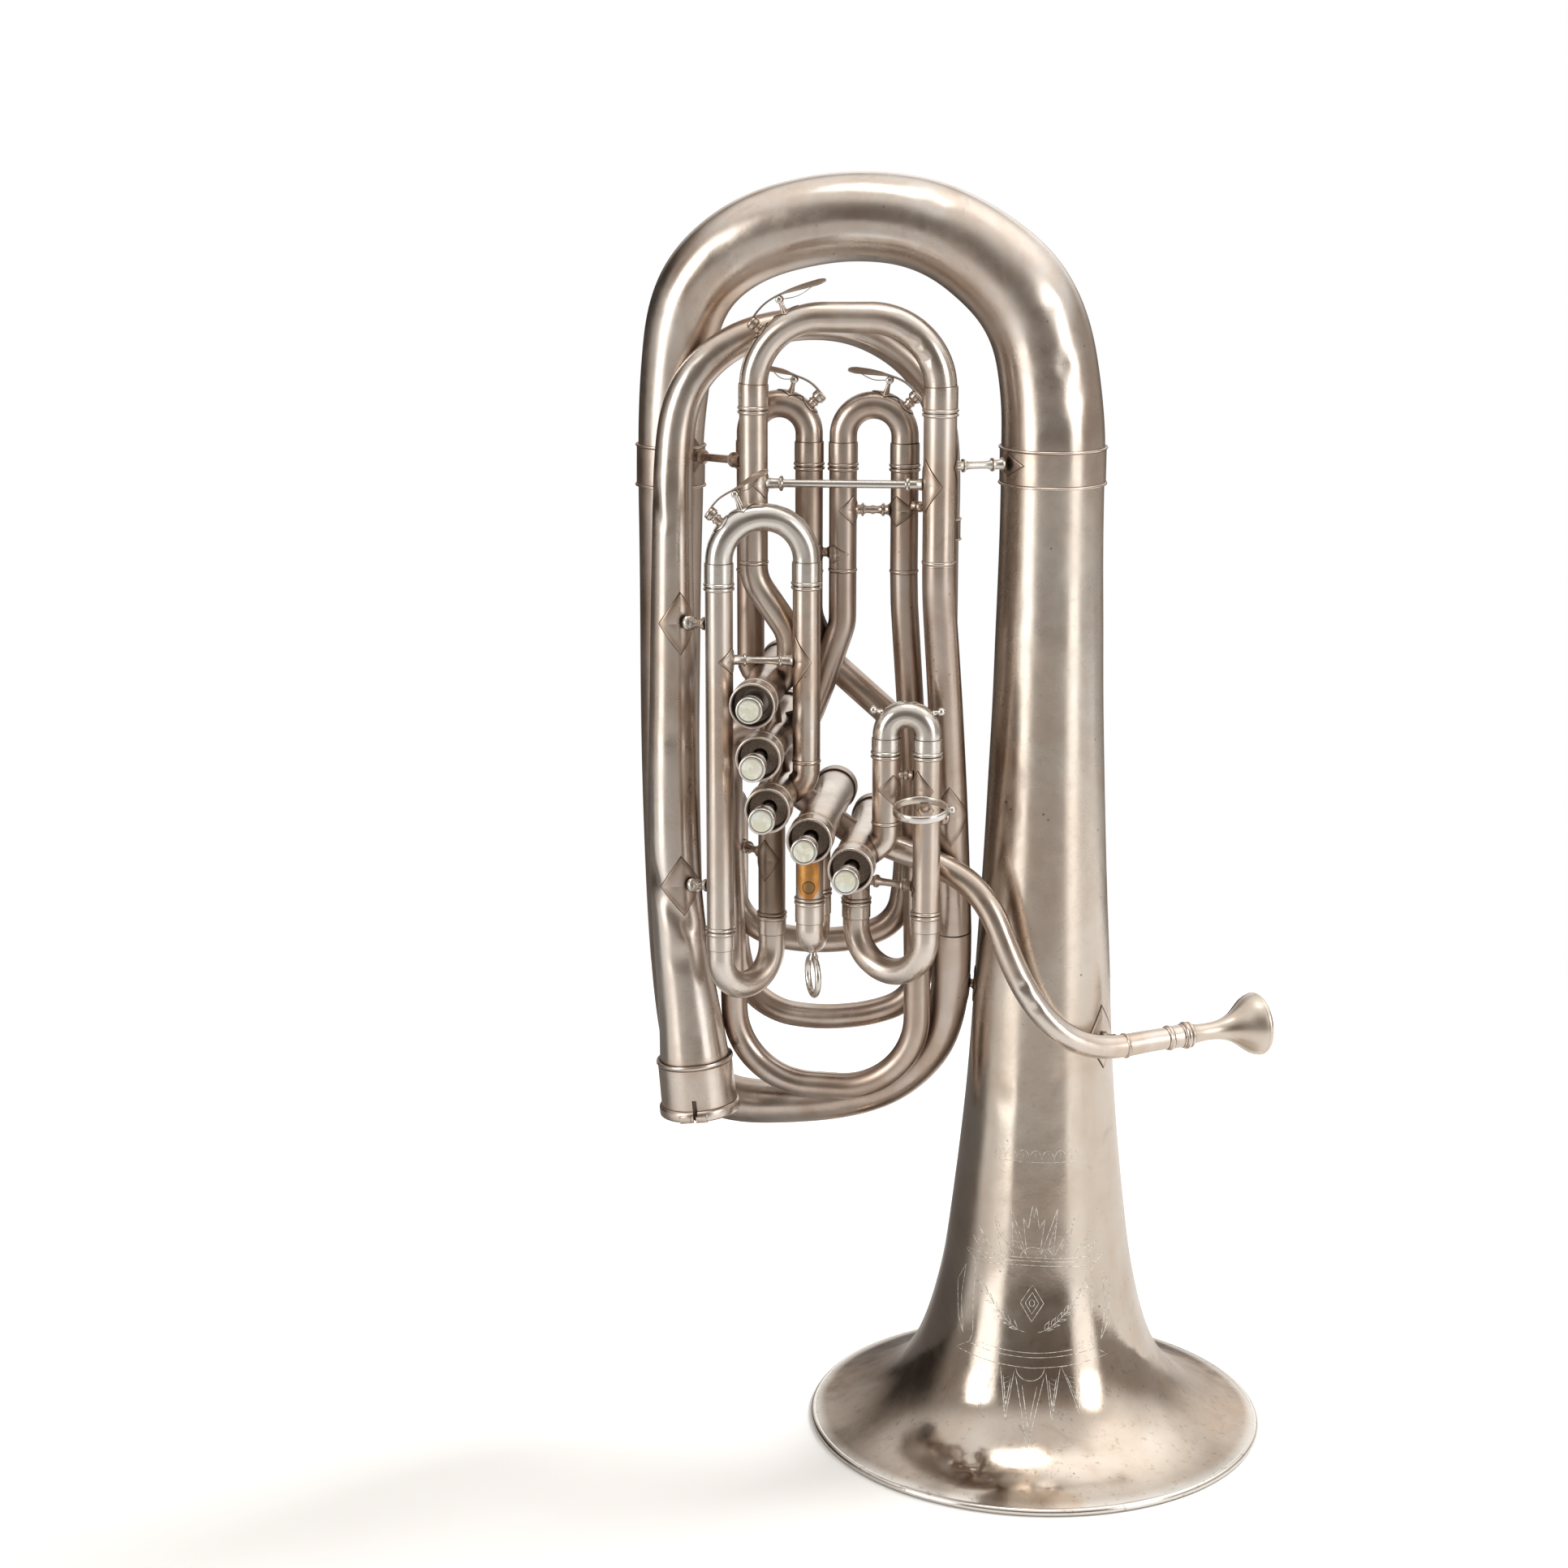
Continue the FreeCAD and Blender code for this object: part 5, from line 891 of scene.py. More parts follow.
def build_bell():
    seg = 180
    outer = [(r, z, nr, nz) for (r, z), (nr, nz) in zip(BELL_RZ, BELL_N)]
    w = 0.8
    rows, kinds = [], []
    for r, z, nr, nz in outer:
        rows.append((r, z, nr, nz))
        kinds.append("o")
    for k in range(1, 26):                        # rolled rim, flat where it stands
        a = math.radians(115) - math.radians(305) * k / 26
        z = 2.0 + 2.4 * math.sin(a)
        rows.append((136.6 + 2.4 * math.cos(a), max(0.0, z), math.cos(a), math.sin(a)))
        kinds.append("r")
    for r, z, nr, nz in reversed(outer[:-1]):
        rows.append((r - nr * w, z - nz * w, -nr, -nz))
        kinds.append("i")
    n = len(rows)
    ang = np.linspace(0, 2 * math.pi, seg, endpoint=False)
    V, D, Br = [], [], []
    front = math.radians(-90)
    for (r, z, nr, nz), kind in zip(rows, kinds):
        flare = smoothstep((200 - z) / 150)
        for a in ang:
            ca, sa = math.cos(a), math.sin(a)
            p = vec(r * ca, r * sa, z)
            nv = vec(nr * ca, nr * sa, nz)
            if kind != "r":
                sgn = 1 if kind == "o" else -1
                off = bell_wave(p) * sgn
                off *= smoothstep((z - 3.5) / 4.0) * smoothstep((590 - z) / 30)
                for c, rad, h in BELL_DENTS:
                    q = np.linalg.norm(p - vec(c))
                    if q < rad * 3:
                        off -= sgn * h * math.exp(-(q / rad) ** 2 * 1.6)
                p = p + nv * off
            V.append(p)
            da = (a - front + math.pi) % (2 * math.pi) - math.pi
            side = smoothstep((abs(da) - 0.9) / 1.6)
            n1 = noise.noise(Vector((p[0] / 35, p[1] / 35, p[2] / 60)))
            if kind == "r":
                # inside the rolled rim's curl and where the rim stands on the table: painted shade
                D.append(0.05 + (0.75 if (r < 135.6 and z > 2.4) else 0.0) + 0.25 * (z < 0.4))
                Br.append(0.8)
            elif kind == "i":
                D.append(0.62)
                Br.append(0.0)
            else:
                # darker at the sides and back of the flare and near the rim; on the left, painted shade where the flare
                # faces the tubing
                d = 0.30 * flare * side + 0.34 * flare * smoothstep((30 - z) / 26) * (0.35 + side) + 0.16 * n1 * flare
                left = smoothstep((-da - 0.25) / 1.2) if -math.pi < da < 0 else 0
                d += 0.22 * flare * left + 0.10 * side
                D.append(float(np.clip(d, 0, 1)))
                Br.append(float(smoothstep((330 - z) / 170) * (1 - smoothstep((abs(da + 0.05) - 0.95) / 1.0))))
    F = grid_faces(n, seg, 0)
    for j in range(seg):                           # close the top edge
        k = (j + 1) % seg
        F.append(((n - 1) * seg + j, (n - 1) * seg + k, k, j))
    ob = make("bell_body", V, F, D, Br)
    fix_normals(ob)
    sharp_ends(ob, 60)
    return put(ob, "frame", ["bell"], mat=MAT["bell"])


build_bell()

# ---- engraved ornament on the bell: a rayed frame, no lettering -------------------------------------
PHI0 = math.radians(-89.5)


def etched(name, runs, width=0.5):
    """Fine engraved lines: flat ribbons lying in the bell's skin. runs are lists of (x, z): mm round the bell and height."""
    V, F = [], []
    for run in runs:
        pts = []
        for (x0, z0), (x1, z1) in zip(run[:-1], run[1:]):
            m = max(2, int(math.hypot(x1 - x0, z1 - z0) / 1.6))
            for k in range(m):
                pts.append((x0 + (x1 - x0) * k / m, z0 + (z1 - z0) * k / m))
        pts.append(run[-1])
        P, N = [], []
        for x, z in pts:
            i = np.interp(-z, -BELL_RZ[:, 1], np.arange(len(BELL_RZ)))
            r = np.interp(i, np.arange(len(BELL_RZ)), BELL_RZ[:, 0])
            p, nn = bell_point(PHI0 + x / r, z)
            off = bell_wave(p) * smoothstep((z - 3.5) / 4.0)
            P.append(p + nn * off)
            N.append(nn)
        P, N = np.array(P), np.array(N)
        T = np.gradient(P, axis=0)
        T /= np.linalg.norm(T, axis=1)[:, None]
        S = np.cross(N, T)
        b = len(V)
        m = len(P)
        for i in range(m):
            taper = min(1.0, 0.35 + min(i, m - 1 - i) * 0.25)
            w = width * 0.5 * taper
            for a, h in ((-w, -0.05), (-w * 0.5, 0.045), (w * 0.5, 0.045), (w, -0.05)):
                V.append(P[i] + S[i] * a + N[i] * h)
        for i in range(m - 1):
            for j in range(3):
                a = b + i * 4 + j
                F.append((a, a + 1, a + 5, a + 4))
            F.append((b + i * 4 + 3, b + i * 4, b + i * 4 + 4, b + i * 4 + 7))
        F.append((b + 3, b + 2, b + 1, b))
        e = b + (m - 1) * 4
        F.append((e, e + 1, e + 2, e + 3))
    ob = make(name, V, F)
    fix_normals(ob)
    return put(ob, "frame", slot="polished_silver", mat=MAT["etch"])


def arc_run(cx, cz, rx, rz, a0, a1, m=18):
    return [(cx + rx * math.cos(math.radians(a0 + (a1 - a0) * k / m)), cz + rz * math.sin(math.radians(a0 + (a1 - a0) * k / m))) for k in range(m + 1)]


def ornament():
    R = []
    # bowed double frame
    for dz, w in ((0.0, 40.0), (2.6, 37.0)):
        top = [(-w + 2 * w * k / 16, 121.0 - dz + 3.2 * math.sin(math.pi * k / 16)) for k in range(17)]
        bot = [(-w + 2 * w * k / 16, 70.0 + dz - 2.6 * math.sin(math.pi * k / 16)) for k in range(17)]
        R += [top, bot]
    R += [[(-40, 121), (-37.5, 116), (-38.5, 96), (-37.5, 76), (-40, 70)], [(40, 121), (37.5, 116), (38.5, 96), (37.5, 76), (40, 70)]]
    R += [[(-47, 124), (-20, 125.5), (0, 126.5), (20, 125.5), (47, 124)], [(-47, 124), (-38, 119)], [(47, 124), (38, 119)]]
    R += [[(-50, 65), (-22, 62.5), (0, 61.5), (22, 62.5), (50, 65)], [(-50, 65), (-39, 71)], [(50, 65), (39, 71)]]
    # bosses at the top and bottom middle
    R += [arc_run(0, 126.4, 7.5, 6.2, 0, 180), arc_run(0, 61.4, 8.5, 7.0, 180, 360)]
    # rays above: long middle pair with shorter leaves between
    for x0, x1, z1, w in ((-8, -14, 156, 4.0), (8, 14, 156, 4.0), (-16, -25, 150, 3.6), (16, 25, 150, 3.6)):
        R.append([(x0 - w, 127.0), (x1, z1), (x0 + w, 127.5), (x0 + w * 0.2, 132.0), (x1 * 0.93, z1 - 9)])
    for s in (-1, 1):
        R.append([(s * 4, 129), (s * 6.5, 150), (s * 3.2, 144), (s * 1.2, 158), (0, 150)])
        R.append([(s * 24, 126), (s * 36, 140), (s * 31, 130), (s * 41, 133), (s * 33, 125.5)])
    # rays below: a long point in the middle, pairs at its sides
    R.append([(-8.5, 56.5), (0, 20.5), (8.5, 56.5)])
    R.append([(-4.5, 52), (0, 30), (4.5, 52)])
    for s in (-1, 1):
        R.append([(s * 9.5, 59), (s * 14, 33.5), (s * 18, 61)])
        R.append([(s * 11.5, 55), (s * 14, 40), (s * 16, 56)])
        R.append([(s * 19, 62), (s * 31, 36.5), (s * 30, 62.5)])
        R.append([(s * 21.5, 58), (s * 29.5, 43), (s * 27.5, 58)])
        # side leaves
        R.append([(s * 46, 114), (s * 53, 103), (s * 52, 93), (s * 50, 82), (s * 45, 74), (s * 47.5, 86), (s * 48.5, 96), (s * 46, 114)])
    # inside the frame: crossed laurel sprays and a lozenge net, plain ornament
    for s in (-1, 1):
        stem = [(s * (4 + 27 * k / 14), 82.0 + 24.0 * (k / 14) ** 1.6) for k in range(15)]
        R.append(stem)
        for k in range(2, 15, 2):
            x, z = stem[k]
            for q in (-1, 1):
                dx, dz = 5.6 * s * 0.5, 5.6
                if q < 0:
                    dx, dz = 5.6 * s, 0.8
                R.append([(x, z), (x + dx * 0.35 - dz * 0.12 * q, z + dz * 0.45 + 0.6 * q), (x + dx, z + dz), (x + dx * 0.6 + dz * 0.12 * q, z + dz * 0.5 - 0.8 * q), (x, z)])
    R.append([(0, 110), (7, 99), (0, 88), (-7, 99), (0, 110)])
    R.append([(0, 105.5), (4.0, 99), (0, 92.5), (-4.0, 99), (0, 105.5)])
    R.append(arc_run(0, 99, 1.6, 2.0, 0, 360, 14))
    etched("engraved_frame", R, 0.52)
    # finer hatch inside the rays
    H = []
    for s in (-1, 1):
        for k in range(7):
            z = 56 - k * 2.6
            H.append([(s * (12.2 + k * 0.22), z), (s * (15.8 - k * 0.22), z - 1.4)])
            H.append([(s * (23.4 + k * 0.75), z + 0.5), (s * (28.2 + k * 0.12), z - 1.0)])
        for k in range(6):
            z = 131 + k * 3.0
            H.append([(s * (6.0 + k * 1.3), z), (s * (11.5 + k * 0.55), z + 1.6)])
    etched("engraved_hatch", H, 0.32)
    # single band of small arches above, in place of any mark
    B = []
    for k in range(-3, 4):
        B.append(arc_run(k * 7.4, 186.0, 3.5, 5.4, 0, 180, 10))
        B.append([(k * 7.4, 186.0), (k * 7.4, 190.0)])
    B.append([(-26, 184.2), (26, 184.2)])
    etched("engraved_band", B, 0.36)


ornament()


# ---- bows and branches --------------------------------------------------------------------------
BOW_DENTS = [((6, -26, 655), 9.0, 1.3), ((18, -24, 672), 8.0, 0.9), ((14, -25, 636), 10.0, 0.8), ((-2, -24, 690), 10.0, 0.9),
             ((-70, -18, 744), 12, 0.6), ((-190, -8, 716), 10, 0.7)]
BRANCH_DENTS = [((-238, -30, 356), (-209, -39, 320), 7.0, 3.4), ((-214, -38, 300), 9.0, 0.7), ((-222, -35, 436), 10.0, 0.4),
                ((-231, -28, 577), (-224, -31, 560), 5.0, 1.1), ((-205, -28, 652), 7, 0.5)]


def bow(name, pts, wall, seg, node, dents=(), amp=0.10, scale=34.0, mat="silver", start_fit=None, end_fit=None, step=3.0, keys=None):
    line, rad = tapered(pts)
    if keys is None:
        ob = tube(name, line, rad, wall, seg, step, dents, amp, scale, start_fit, end_fit)
    else:
        ob = tube(name, line, keys(line, rad), wall, seg, step, dents, amp, scale, start_fit, end_fit)
    put(ob, "frame", [node], mat=MAT[mat])
    return line, rad


bow_line, bow_rad = bow("main_bow_tube", MAIN_BOW, 0.7, 112, "main_bow", BOW_DENTS, 0.16, 38.0, step=3.4)
bb_line, bb_rad = bow("big_branch_tube", BIG_BRANCH, 0.7, 72, "big_branch", (), 0.08, mat="silver_old", step=5)
bot_line, bot_rad = bow("bottom_bow_tube", BOTTOM_BOW, 0.7, 64, "bottom_bow", (((-120, -2, 196), 8, 0.5),), 0.07, mat="silver_old")
rb_line, rb_rad = bow("right_branch_tube", RIGHT_BRANCH, 0.7, 56, "right_branch", (((-61, -38, 480), 7, 0.35),), 0.05, mat="silver_old", step=4)
sb_line, sb_rad = bow("small_bell_branch_tube", SB_BRANCH, 0.7, 88, "small_bell_branch", BRANCH_DENTS, 0.10, 30.0, mat="silver", step=2.4)


def sleeve(name, base, axis, r_in, thick, length, bead, mat="silver", seg=96):
    ri, ro, rb = r_in, r_in + thick, r_in + bead
    bw = bead * 0.62
    prof = [(ri, 0, 0.6), (ro, 0.0, 0.9), (rb - 0.25, 0.12, 0.15), (rb, bw * 0.5, 0.0), (rb - 0.05, bw, 0.0), (rb - 0.35, bw * 1.45, 0.3), (ro, bw * 1.75, 1.0), (ro, bw * 1.75 + 0.5, 0.25)]
    prof += [(ro, length * f, 0.02) for f in (0.3, 0.5, 0.7)]
    prof += [(ro, length - bw * 1.75 - 0.5, 0.25), (ro, length - bw * 1.75, 1.0), (rb - 0.35, length - bw * 1.45, 0.3), (rb - 0.05, length - bw, 0.0), (rb, length - bw * 0.5, 0.0),
             (rb - 0.25, length - 0.12, 0.15), (ro, length, 0.9), (ri, length, 0.6)]
    ob = lathe(name, prof, base, axis, seg=seg, sharp=45)
    return put(ob, "frame", ["bow_ferrules"], mat=MAT[mat])


sleeve("ferrule_bell", (0, 0, 584.5), (0, 0, 1), 30.16, 0.7, 22.0, 1.5, seg=128)
sleeve("ferrule_branch", (-226.6, 12, 577.5), (0.0133, 0, 1), 19.58, 0.7, 25.0, 1.5, "silver_old")
sleeve("ferrule_small", (-62.3, 8, 549.0), (0, 0, 1), 8.16, 0.5, 13.0, 1.2, "silver_old", seg=64)


# ---- fixed tubing -------------------------------------------------------------------------------
def ring_rows(s, r_base, r_centre, br=1.05, n=8):
    """A round bead: rows that follow whichever is larger, the tube or the ring's section."""
    rows = [(s - br - 0.45, r_base, 0.15), (s - br - 0.02, r_base, 1.0)]
    for k in range(n + 1):
        a = math.pi * k / n
        r = max(r_base, r_centre + br * math.sin(a))
        rows.append((s - br * math.cos(a), r, 0.75 if r <= r_base + 0.05 else 0.0))
    rows += [(s + br + 0.02, r_base, 1.0), (s + br + 0.45, r_base, 0.15)]
    return rows


def with_rows(L, r, *groups):
    """Rows of a plain tube with ring rows put in."""
    rows = [x for gr in groups for x in gr]
    rows = [x for x in rows if 0 <= x[0] <= L]
    if not rows or rows[0][0] > 0.01:
        rows = [(0.0, r, 0.0)] + rows
    rows = sorted(rows, key=lambda x: x[0])
    if rows[-1][0] < L - 0.01:
        rows.append((L, rows[-1][1] if False else r, 0.0))
    return rows


def pipe(name, pts, radii, r, wall, node, body="frame", mat="silver", seg=48, beads=(), joints=(), start_fit=None, end_fit=None, dents=(), amp=0.035,
         step=3.0, dirt_and_shade=0.55):
    line = route(pts, radii)
    L = line.length
    groups = [ring_rows(s if s >= 0 else L + s, r, r) for s in beads]
    groups += [ring_rows(s if s >= 0 else L + s, r, r - 0.55) for s in joints]
    keys = with_rows(L, r, *groups)
    ob = tube(name, line, keys, wall, seg, step, dents, amp, 24.0, start_fit, end_fit, inner_bend_tarnish_and_shade=dirt_and_shade)
    return put(ob, body, [node], mat=MAT[mat])


def fit(n):
    return (VALVES[n][0], VALVES[n][1], 11.7)


v1, v2, v3, v4, v5 = (VALVES[k] for k in (1, 2, 3, 4, 5))
B = 1.07
pipe("main_slide_tube_narrow", [(-169.8, MY, 628.8), (-169.8, MY, 531), (-148.4, -36, 499), (-148.4, -36, v5[1]), (v5[0], -36, v5[1])], [24, 24, 9.5],
     8.2, 0.5, "main_slide_tubes", beads=(B,), joints=(87.8,), end_fit=fit(5), seg=56)
pipe("main_slide_tube_wide", [(-62.5, MY, 628.8), (-62.5, MY, 541.0)], None, 9.5, 0.5, "main_slide_tubes", beads=(B,), joints=(85.8,), seg=60)
pipe("small_bell_slide_tube_left", [(-174.2, MID, 594.8), (-174.2, MID, 472.5), (v5[0], MID, 468.3)], [10.5], 8.0, 0.5, "small_bell_slide_tubes", mat="silver_old",
     beads=(B,), joints=(61.4,))
pipe("small_bell_slide_tube_right", [(-139.8, MID, 594.8), (-139.8, MID, 507), (-129.6, 1.6, 475.5), (-96.5, 2.4, 446.2), (-83.2, 2.4, 430), (-83.2, 2.4, 402)],
     [20, 20, 22, 22], 8.0, 0.5, "small_bell_slide_tubes", mat="silver_old", beads=(B,), joints=(61.4,))
pipe("fourth_slide_tube_left", [(-120, MID, 594.8), (-120, MID, 503), (-132, MID, 467), (-141, MID, 443.5), (v4[0], MID, 439.0)], [26, 26, 12], 8.0, 0.5,
     "fourth_slide_tubes", mat="silver_old", beads=(B,), joints=(60.2,), end_fit=fit(4))
pipe("fourth_slide_tube_right", [(-84.2, MID, 594.8), (-84.2, MID, 532.5)], None, 8.02, 0.5, "fourth_slide_tubes", mat="silver_old", beads=(B,), joints=(60.2,))
pipe("fourth_valve_loop_tube", [(-84.2, MID, 533.5), (-83.8, -19.8, 515), (-77.6, -17.0, 420), (-75.6, -15.0, 350), (-74.4, -15.0, 290), (-74.4, -14.0, 214.2),
                                (-130, -10.5, 214.2), (-185.6, -7.0, 214.2), (-187.4, -10.5, 310), (-188.6, -13.0, 360), (-188.6, -13.0, v4[1]), (v4[0], -13.0, v4[1])],
     [140, 140, 200, 200, 47.5, 900, 47.5, 200, 200, 11], 8.0, 0.5, "fourth_valve_loop", mat="silver_old", end_fit=fit(4), dents=(((-150, -22, 207), 5, 0.4),), amp=0.05)
pipe("small_bell_loop_tube", [(-83.2, 2.4, 402), (-83.2, 2.4, 345), (-87.5, 2.2, 317), (-112, 3.0, 304.5), (-140.5, 4.0, 301.2), (-168, 4.0, 304.5),
                              (-186.6, 4.0, 318), (-190.0, 4.0, 345), (-190.0, 4.0, 385.5), (-190.0, 22.6, 385.5), (-190.0, 22.6, 290), (-182.5, 21.0, 263.5),
                              (-163.0, 17.5, 251.0), (-134, 13.0, 249.6), (-104.7, 10.5, 254.5), (-82.5, 10.0, 263.5), (-71.5, 11.0, 285), (-68.0, 11.0, 330),
                              (-64.5, 9.5, 400), (-62.3, 8.0, 460), (-62.3, 8.0, 560)],
     [None] * 7 + [9.3, 9.3] + [None] * 10, 7.6, 0.5, "small_bell_lower_loop", mat="silver_old", amp=0.04)
pipe("third_valve_long_tube", [(-186.6, -62.0, 530.0), (-186.6, -62.0, 325.6)], None, 8.0, 0.5, "third_valve_tubes", beads=(B, -B), mat="silver")
pipe("third_valve_right_tube", [(-137.4, -50.0, 530.0), (-137.4, -50.0, 410.5), (v3[0], -50.0, 409.5)], [11], 8.0, 0.5, "third_valve_tubes", beads=(B,), joints=(103.5,),
     end_fit=fit(3), dents=(((-134, -58, 470), 4, 0.25),))
pipe("third_valve_lower_tube", [(-160.5, -30.0, 327.2), (-160.5, -30.0, v3[1])], None, 8.0, 0.5, "third_valve_tubes", beads=(B,), mat="silver_dark", end_fit=(v3[0], v3[1], 11.7))
pipe("second_valve_front_tube", [(-133.4, -65.5, 347.0), (-133.4, -65.5, v2[1])], None, 8.0, 0.5, "second_valve_tubes", beads=(B,), mat="patch", end_fit=fit(2))
pipe("second_valve_rear_tube", [(-131.6, -46.0, 347.0), (-131.6, -46.0, v2[1])], None, 8.0, 0.5, "second_valve_tubes", beads=(B,), mat="silver_old", end_fit=fit(2))
pipe("first_valve_elbow_tube", [(-89.9, -58.0, 433.6), (-89.9, -58.0, 379), (v1[0], -58.0, 376.5)], [10], 8.0, 0.5, "first_valve_tubes", beads=(B,), joints=(40.4,), end_fit=fit(1))
pipe("first_valve_long_tube", [(-66.0, -58.0, 433.6), (-66.0, -58.0, 338.8)], None, 8.0, 0.5, "first_valve_tubes", beads=(B, -B))
pipe("first_valve_lower_tube", [(-109.5, -33.0, 338.8), (-109.5, -33.0, v1[1])], None, 8.0, 0.5, "first_valve_tubes", beads=(B,), mat="silver_old", end_fit=fit(1))


# ---- pull slides ----------------------------------------------------------------------------------
def slide(label, p1, p2, b1, b2, turn_z, corner, in1, in2, up=1, sl=(14.0, 14.0), mat="silver", dents=(), r1=7.9, r2=7.9, rs1=8.45, rs2=8.45, leg=0.46):
    """Bow with a ringed sleeve on each end, and the inner legs that run in the outer tubes."""
    b1, b2 = b1 + up * 0.3, b2 + up * 0.3
    line = route([(p1[0], p1[1], b1), (p1[0], p1[1], turn_z), (p2[0], p2[1], turn_z), (p2[0], p2[1], b2)], [corner, corner])
    L = line.length

    def end_rows(rs, r, ln):
        rows = [(0.0, rs - 0.35, 1.0), (0.12, rs - 0.05, 0.6)]
        for k in range(9):
            a = math.pi * k / 8
            rows.append((1.12 - 1.0 * math.cos(a), max(rs, rs - 0.45 + 1.05 * math.sin(a)), 0.0))
        rows += [(2.2, rs, 1.0), (2.7, rs, 0.2), (ln * 0.5, rs + 0.03, 0.0), (ln - 0.6, rs, 0.05), (ln - 0.1, rs - 0.02, 0.4), (ln + 0.08, r, 1.0), (ln + 0.7, r, 0.12)]
        return rows
    ea, eb = end_rows(rs1, r1, sl[0]), end_rows(rs2, r2, sl[1])
    mid = [(sl[0] + 0.8 + (L - sl[0] - sl[1] - 1.6) * f, r1 + (r2 - r1) * smoothstep(np.array(f)).item(), 0.0) for f in np.linspace(0.03, 0.97, 24)]
    rows = ea + mid + [(L - s, r, d) for s, r, d in reversed(eb)]
    node = label
    ob = tube(label + "_bow", line, rows, 0.9, 56, 2.4, dents, 0.05, 22.0, up=(0, 1, 0) if abs(p1[1] - p2[1]) < 1 else None)
    put(ob, BODY[node], [node], mat=MAT[mat])
    for k, (p, b, ln, r) in enumerate(((p1, b1, in1, rs1), (p2, b2, in2, rs2))):
        lr = 7.44 if r < 8.5 else r - 0.45 - 0.56
        zz = b - up * ln
        prof = [(lr - leg, 0, 0.4), (lr - 0.15, 0, 0.2), (lr, 0.2, 0.0)] + [(lr, f * (ln + 4), 0.0) for f in (0.2, 0.4, 0.6, 0.8)] + [(lr, ln + 4, 0.3), (lr - leg, ln + 4, 0.3)]
        o = lathe("%s_leg_%d" % (label, k + 1), prof, (p[0], p[1], zz), (0, 0, up), seg=48, amp=0.0)
        put(o, BODY[node], [node], mat=MAT["silver_new"])
    return line


ms_line = slide("main_slide", (-169.8, MY), (-62.5, MY), 628.8, 628.8, 681.9, 40.0, 62, 62, 1, (14.6, 14.6), "silver",
                (((-75.5, -44.5, 668.0), 4.2, 1.5), ((-70.5, -45.5, 659.5), 3.6, 0.9), ((-120, -46, 680), 9, 0.3)), 8.15, 9.4, 8.65, 9.95)
slide("small_bell_slide", (-174.2, MID), (-139.8, MID), 594.8, 594.8, 630.6, 17.19, 50, 50, mat="silver_old")
slide("fourth_slide", (-120.0, MID), (-84.2, MID), 594.8, 594.8, 630.6, 17.89, 50, 50, mat="silver_old")
slide("third_upper_slide", (-186.6, -62.0), (-137.4, -50.0), 530.0, 530.0, 569.9, 25.31, 55, 55, 1, (13.5, 13.5), "silver_new", (((-150, -62, 563), 6, 0.25),))
slide("third_lower_slide", (-186.6, -62.0), (-160.5, -30.0), 325.6, 327.2, 287.8, 20.63, 50, 50, -1, (11.0, 11.0), "silver", (((-178, -60, 296), 6, 0.25),))
slide("first_upper_slide", (-89.9, -58.0), (-66.0, -58.0), 433.6, 433.6, 457.6, 11.93, 34, 34, 1, (9.6, 9.6), "silver_new")
slide("first_lower_slide", (-109.5, -33.0), (-66.0, -58.0), 338.8, 338.8, 299.2, 25.07, 19, 40, -1, (10.0, 10.0), "silver", (((-84, -50, 300), 6, 0.3),))
slide("second_slide", (-133.4, -65.5), (-131.6, -46.0), 347.0, 347.0, 320.2, 9.78, 24, 24, -1, (13.0, 13.0), "silver")


# ---- small turned things --------------------------------------------------------------------------
def ball(name, c, r, body, node=None, axis=(0, -1, 0), mat="silver_new", slot="silver_plate"):
    prof = [(max(0.0, r * math.sin(math.pi * k / 14)), -r * math.cos(math.pi * k / 14), 0.35 if k < 3 else 0.0) for k in range(15)]
    prof[0] = (0.0, -r, 0.3)
    prof[-1] = (0.0, r, 0.0)
    ob = lathe(name, prof, c, axis, seg=32, closed=False, sharp=60)
    return put(ob, body, [node] if node else (), slot=slot, mat=MAT[mat])


def post(name, a, b, rows, body, node=None, mat="silver_old", seg=28):
    ob = solid_rod(name, a, b, rows, seg)
    return put(ob, body, [node] if node else (), slot=None if node else "silver_plate", mat=MAT[mat])


for s, (bx, px) in (("l", (-97.6, -86.4)), ("r", (-58.4, -69.6))):
    ball("first_slide_knob_" + s, (bx, -58.0, 459.6), 2.5, BODY["first_upper_slide"], "first_upper_slide")
    L = math.hypot(bx - px, 2.4)
    post("first_slide_knob_post_" + s, (px, -58, 457.2), (bx, -58, 459.6), [(0, 1.5, 0.6), (L * 0.25, 1.2, 0.2), (L * 0.5, 1.15, 0.0), (L * 0.62, 1.9, 0.0), (L * 0.72, 1.2, 0.1), (L, 1.0, 0.3)],
         BODY["first_upper_slide"], "first_upper_slide", "silver_new", 20)

# second slide's pull ring on its post
sx, sy = -132.5, -55.75
post("second_slide_post", (sx, sy, 317.0), (sx, sy, 307.4), [(0, 3.6, 0.9), (1.2, 2.6, 0.5), (3, 2.3, 0.1), (6, 2.2, 0.1), (7.6, 3.0, 0.0), (9.0, 3.0, 0.3), (9.6, 2.0, 0.8)],
     BODY["second_slide"], "second_slide", "silver_new")
rn = unit(vec(1, 0.42, 0))


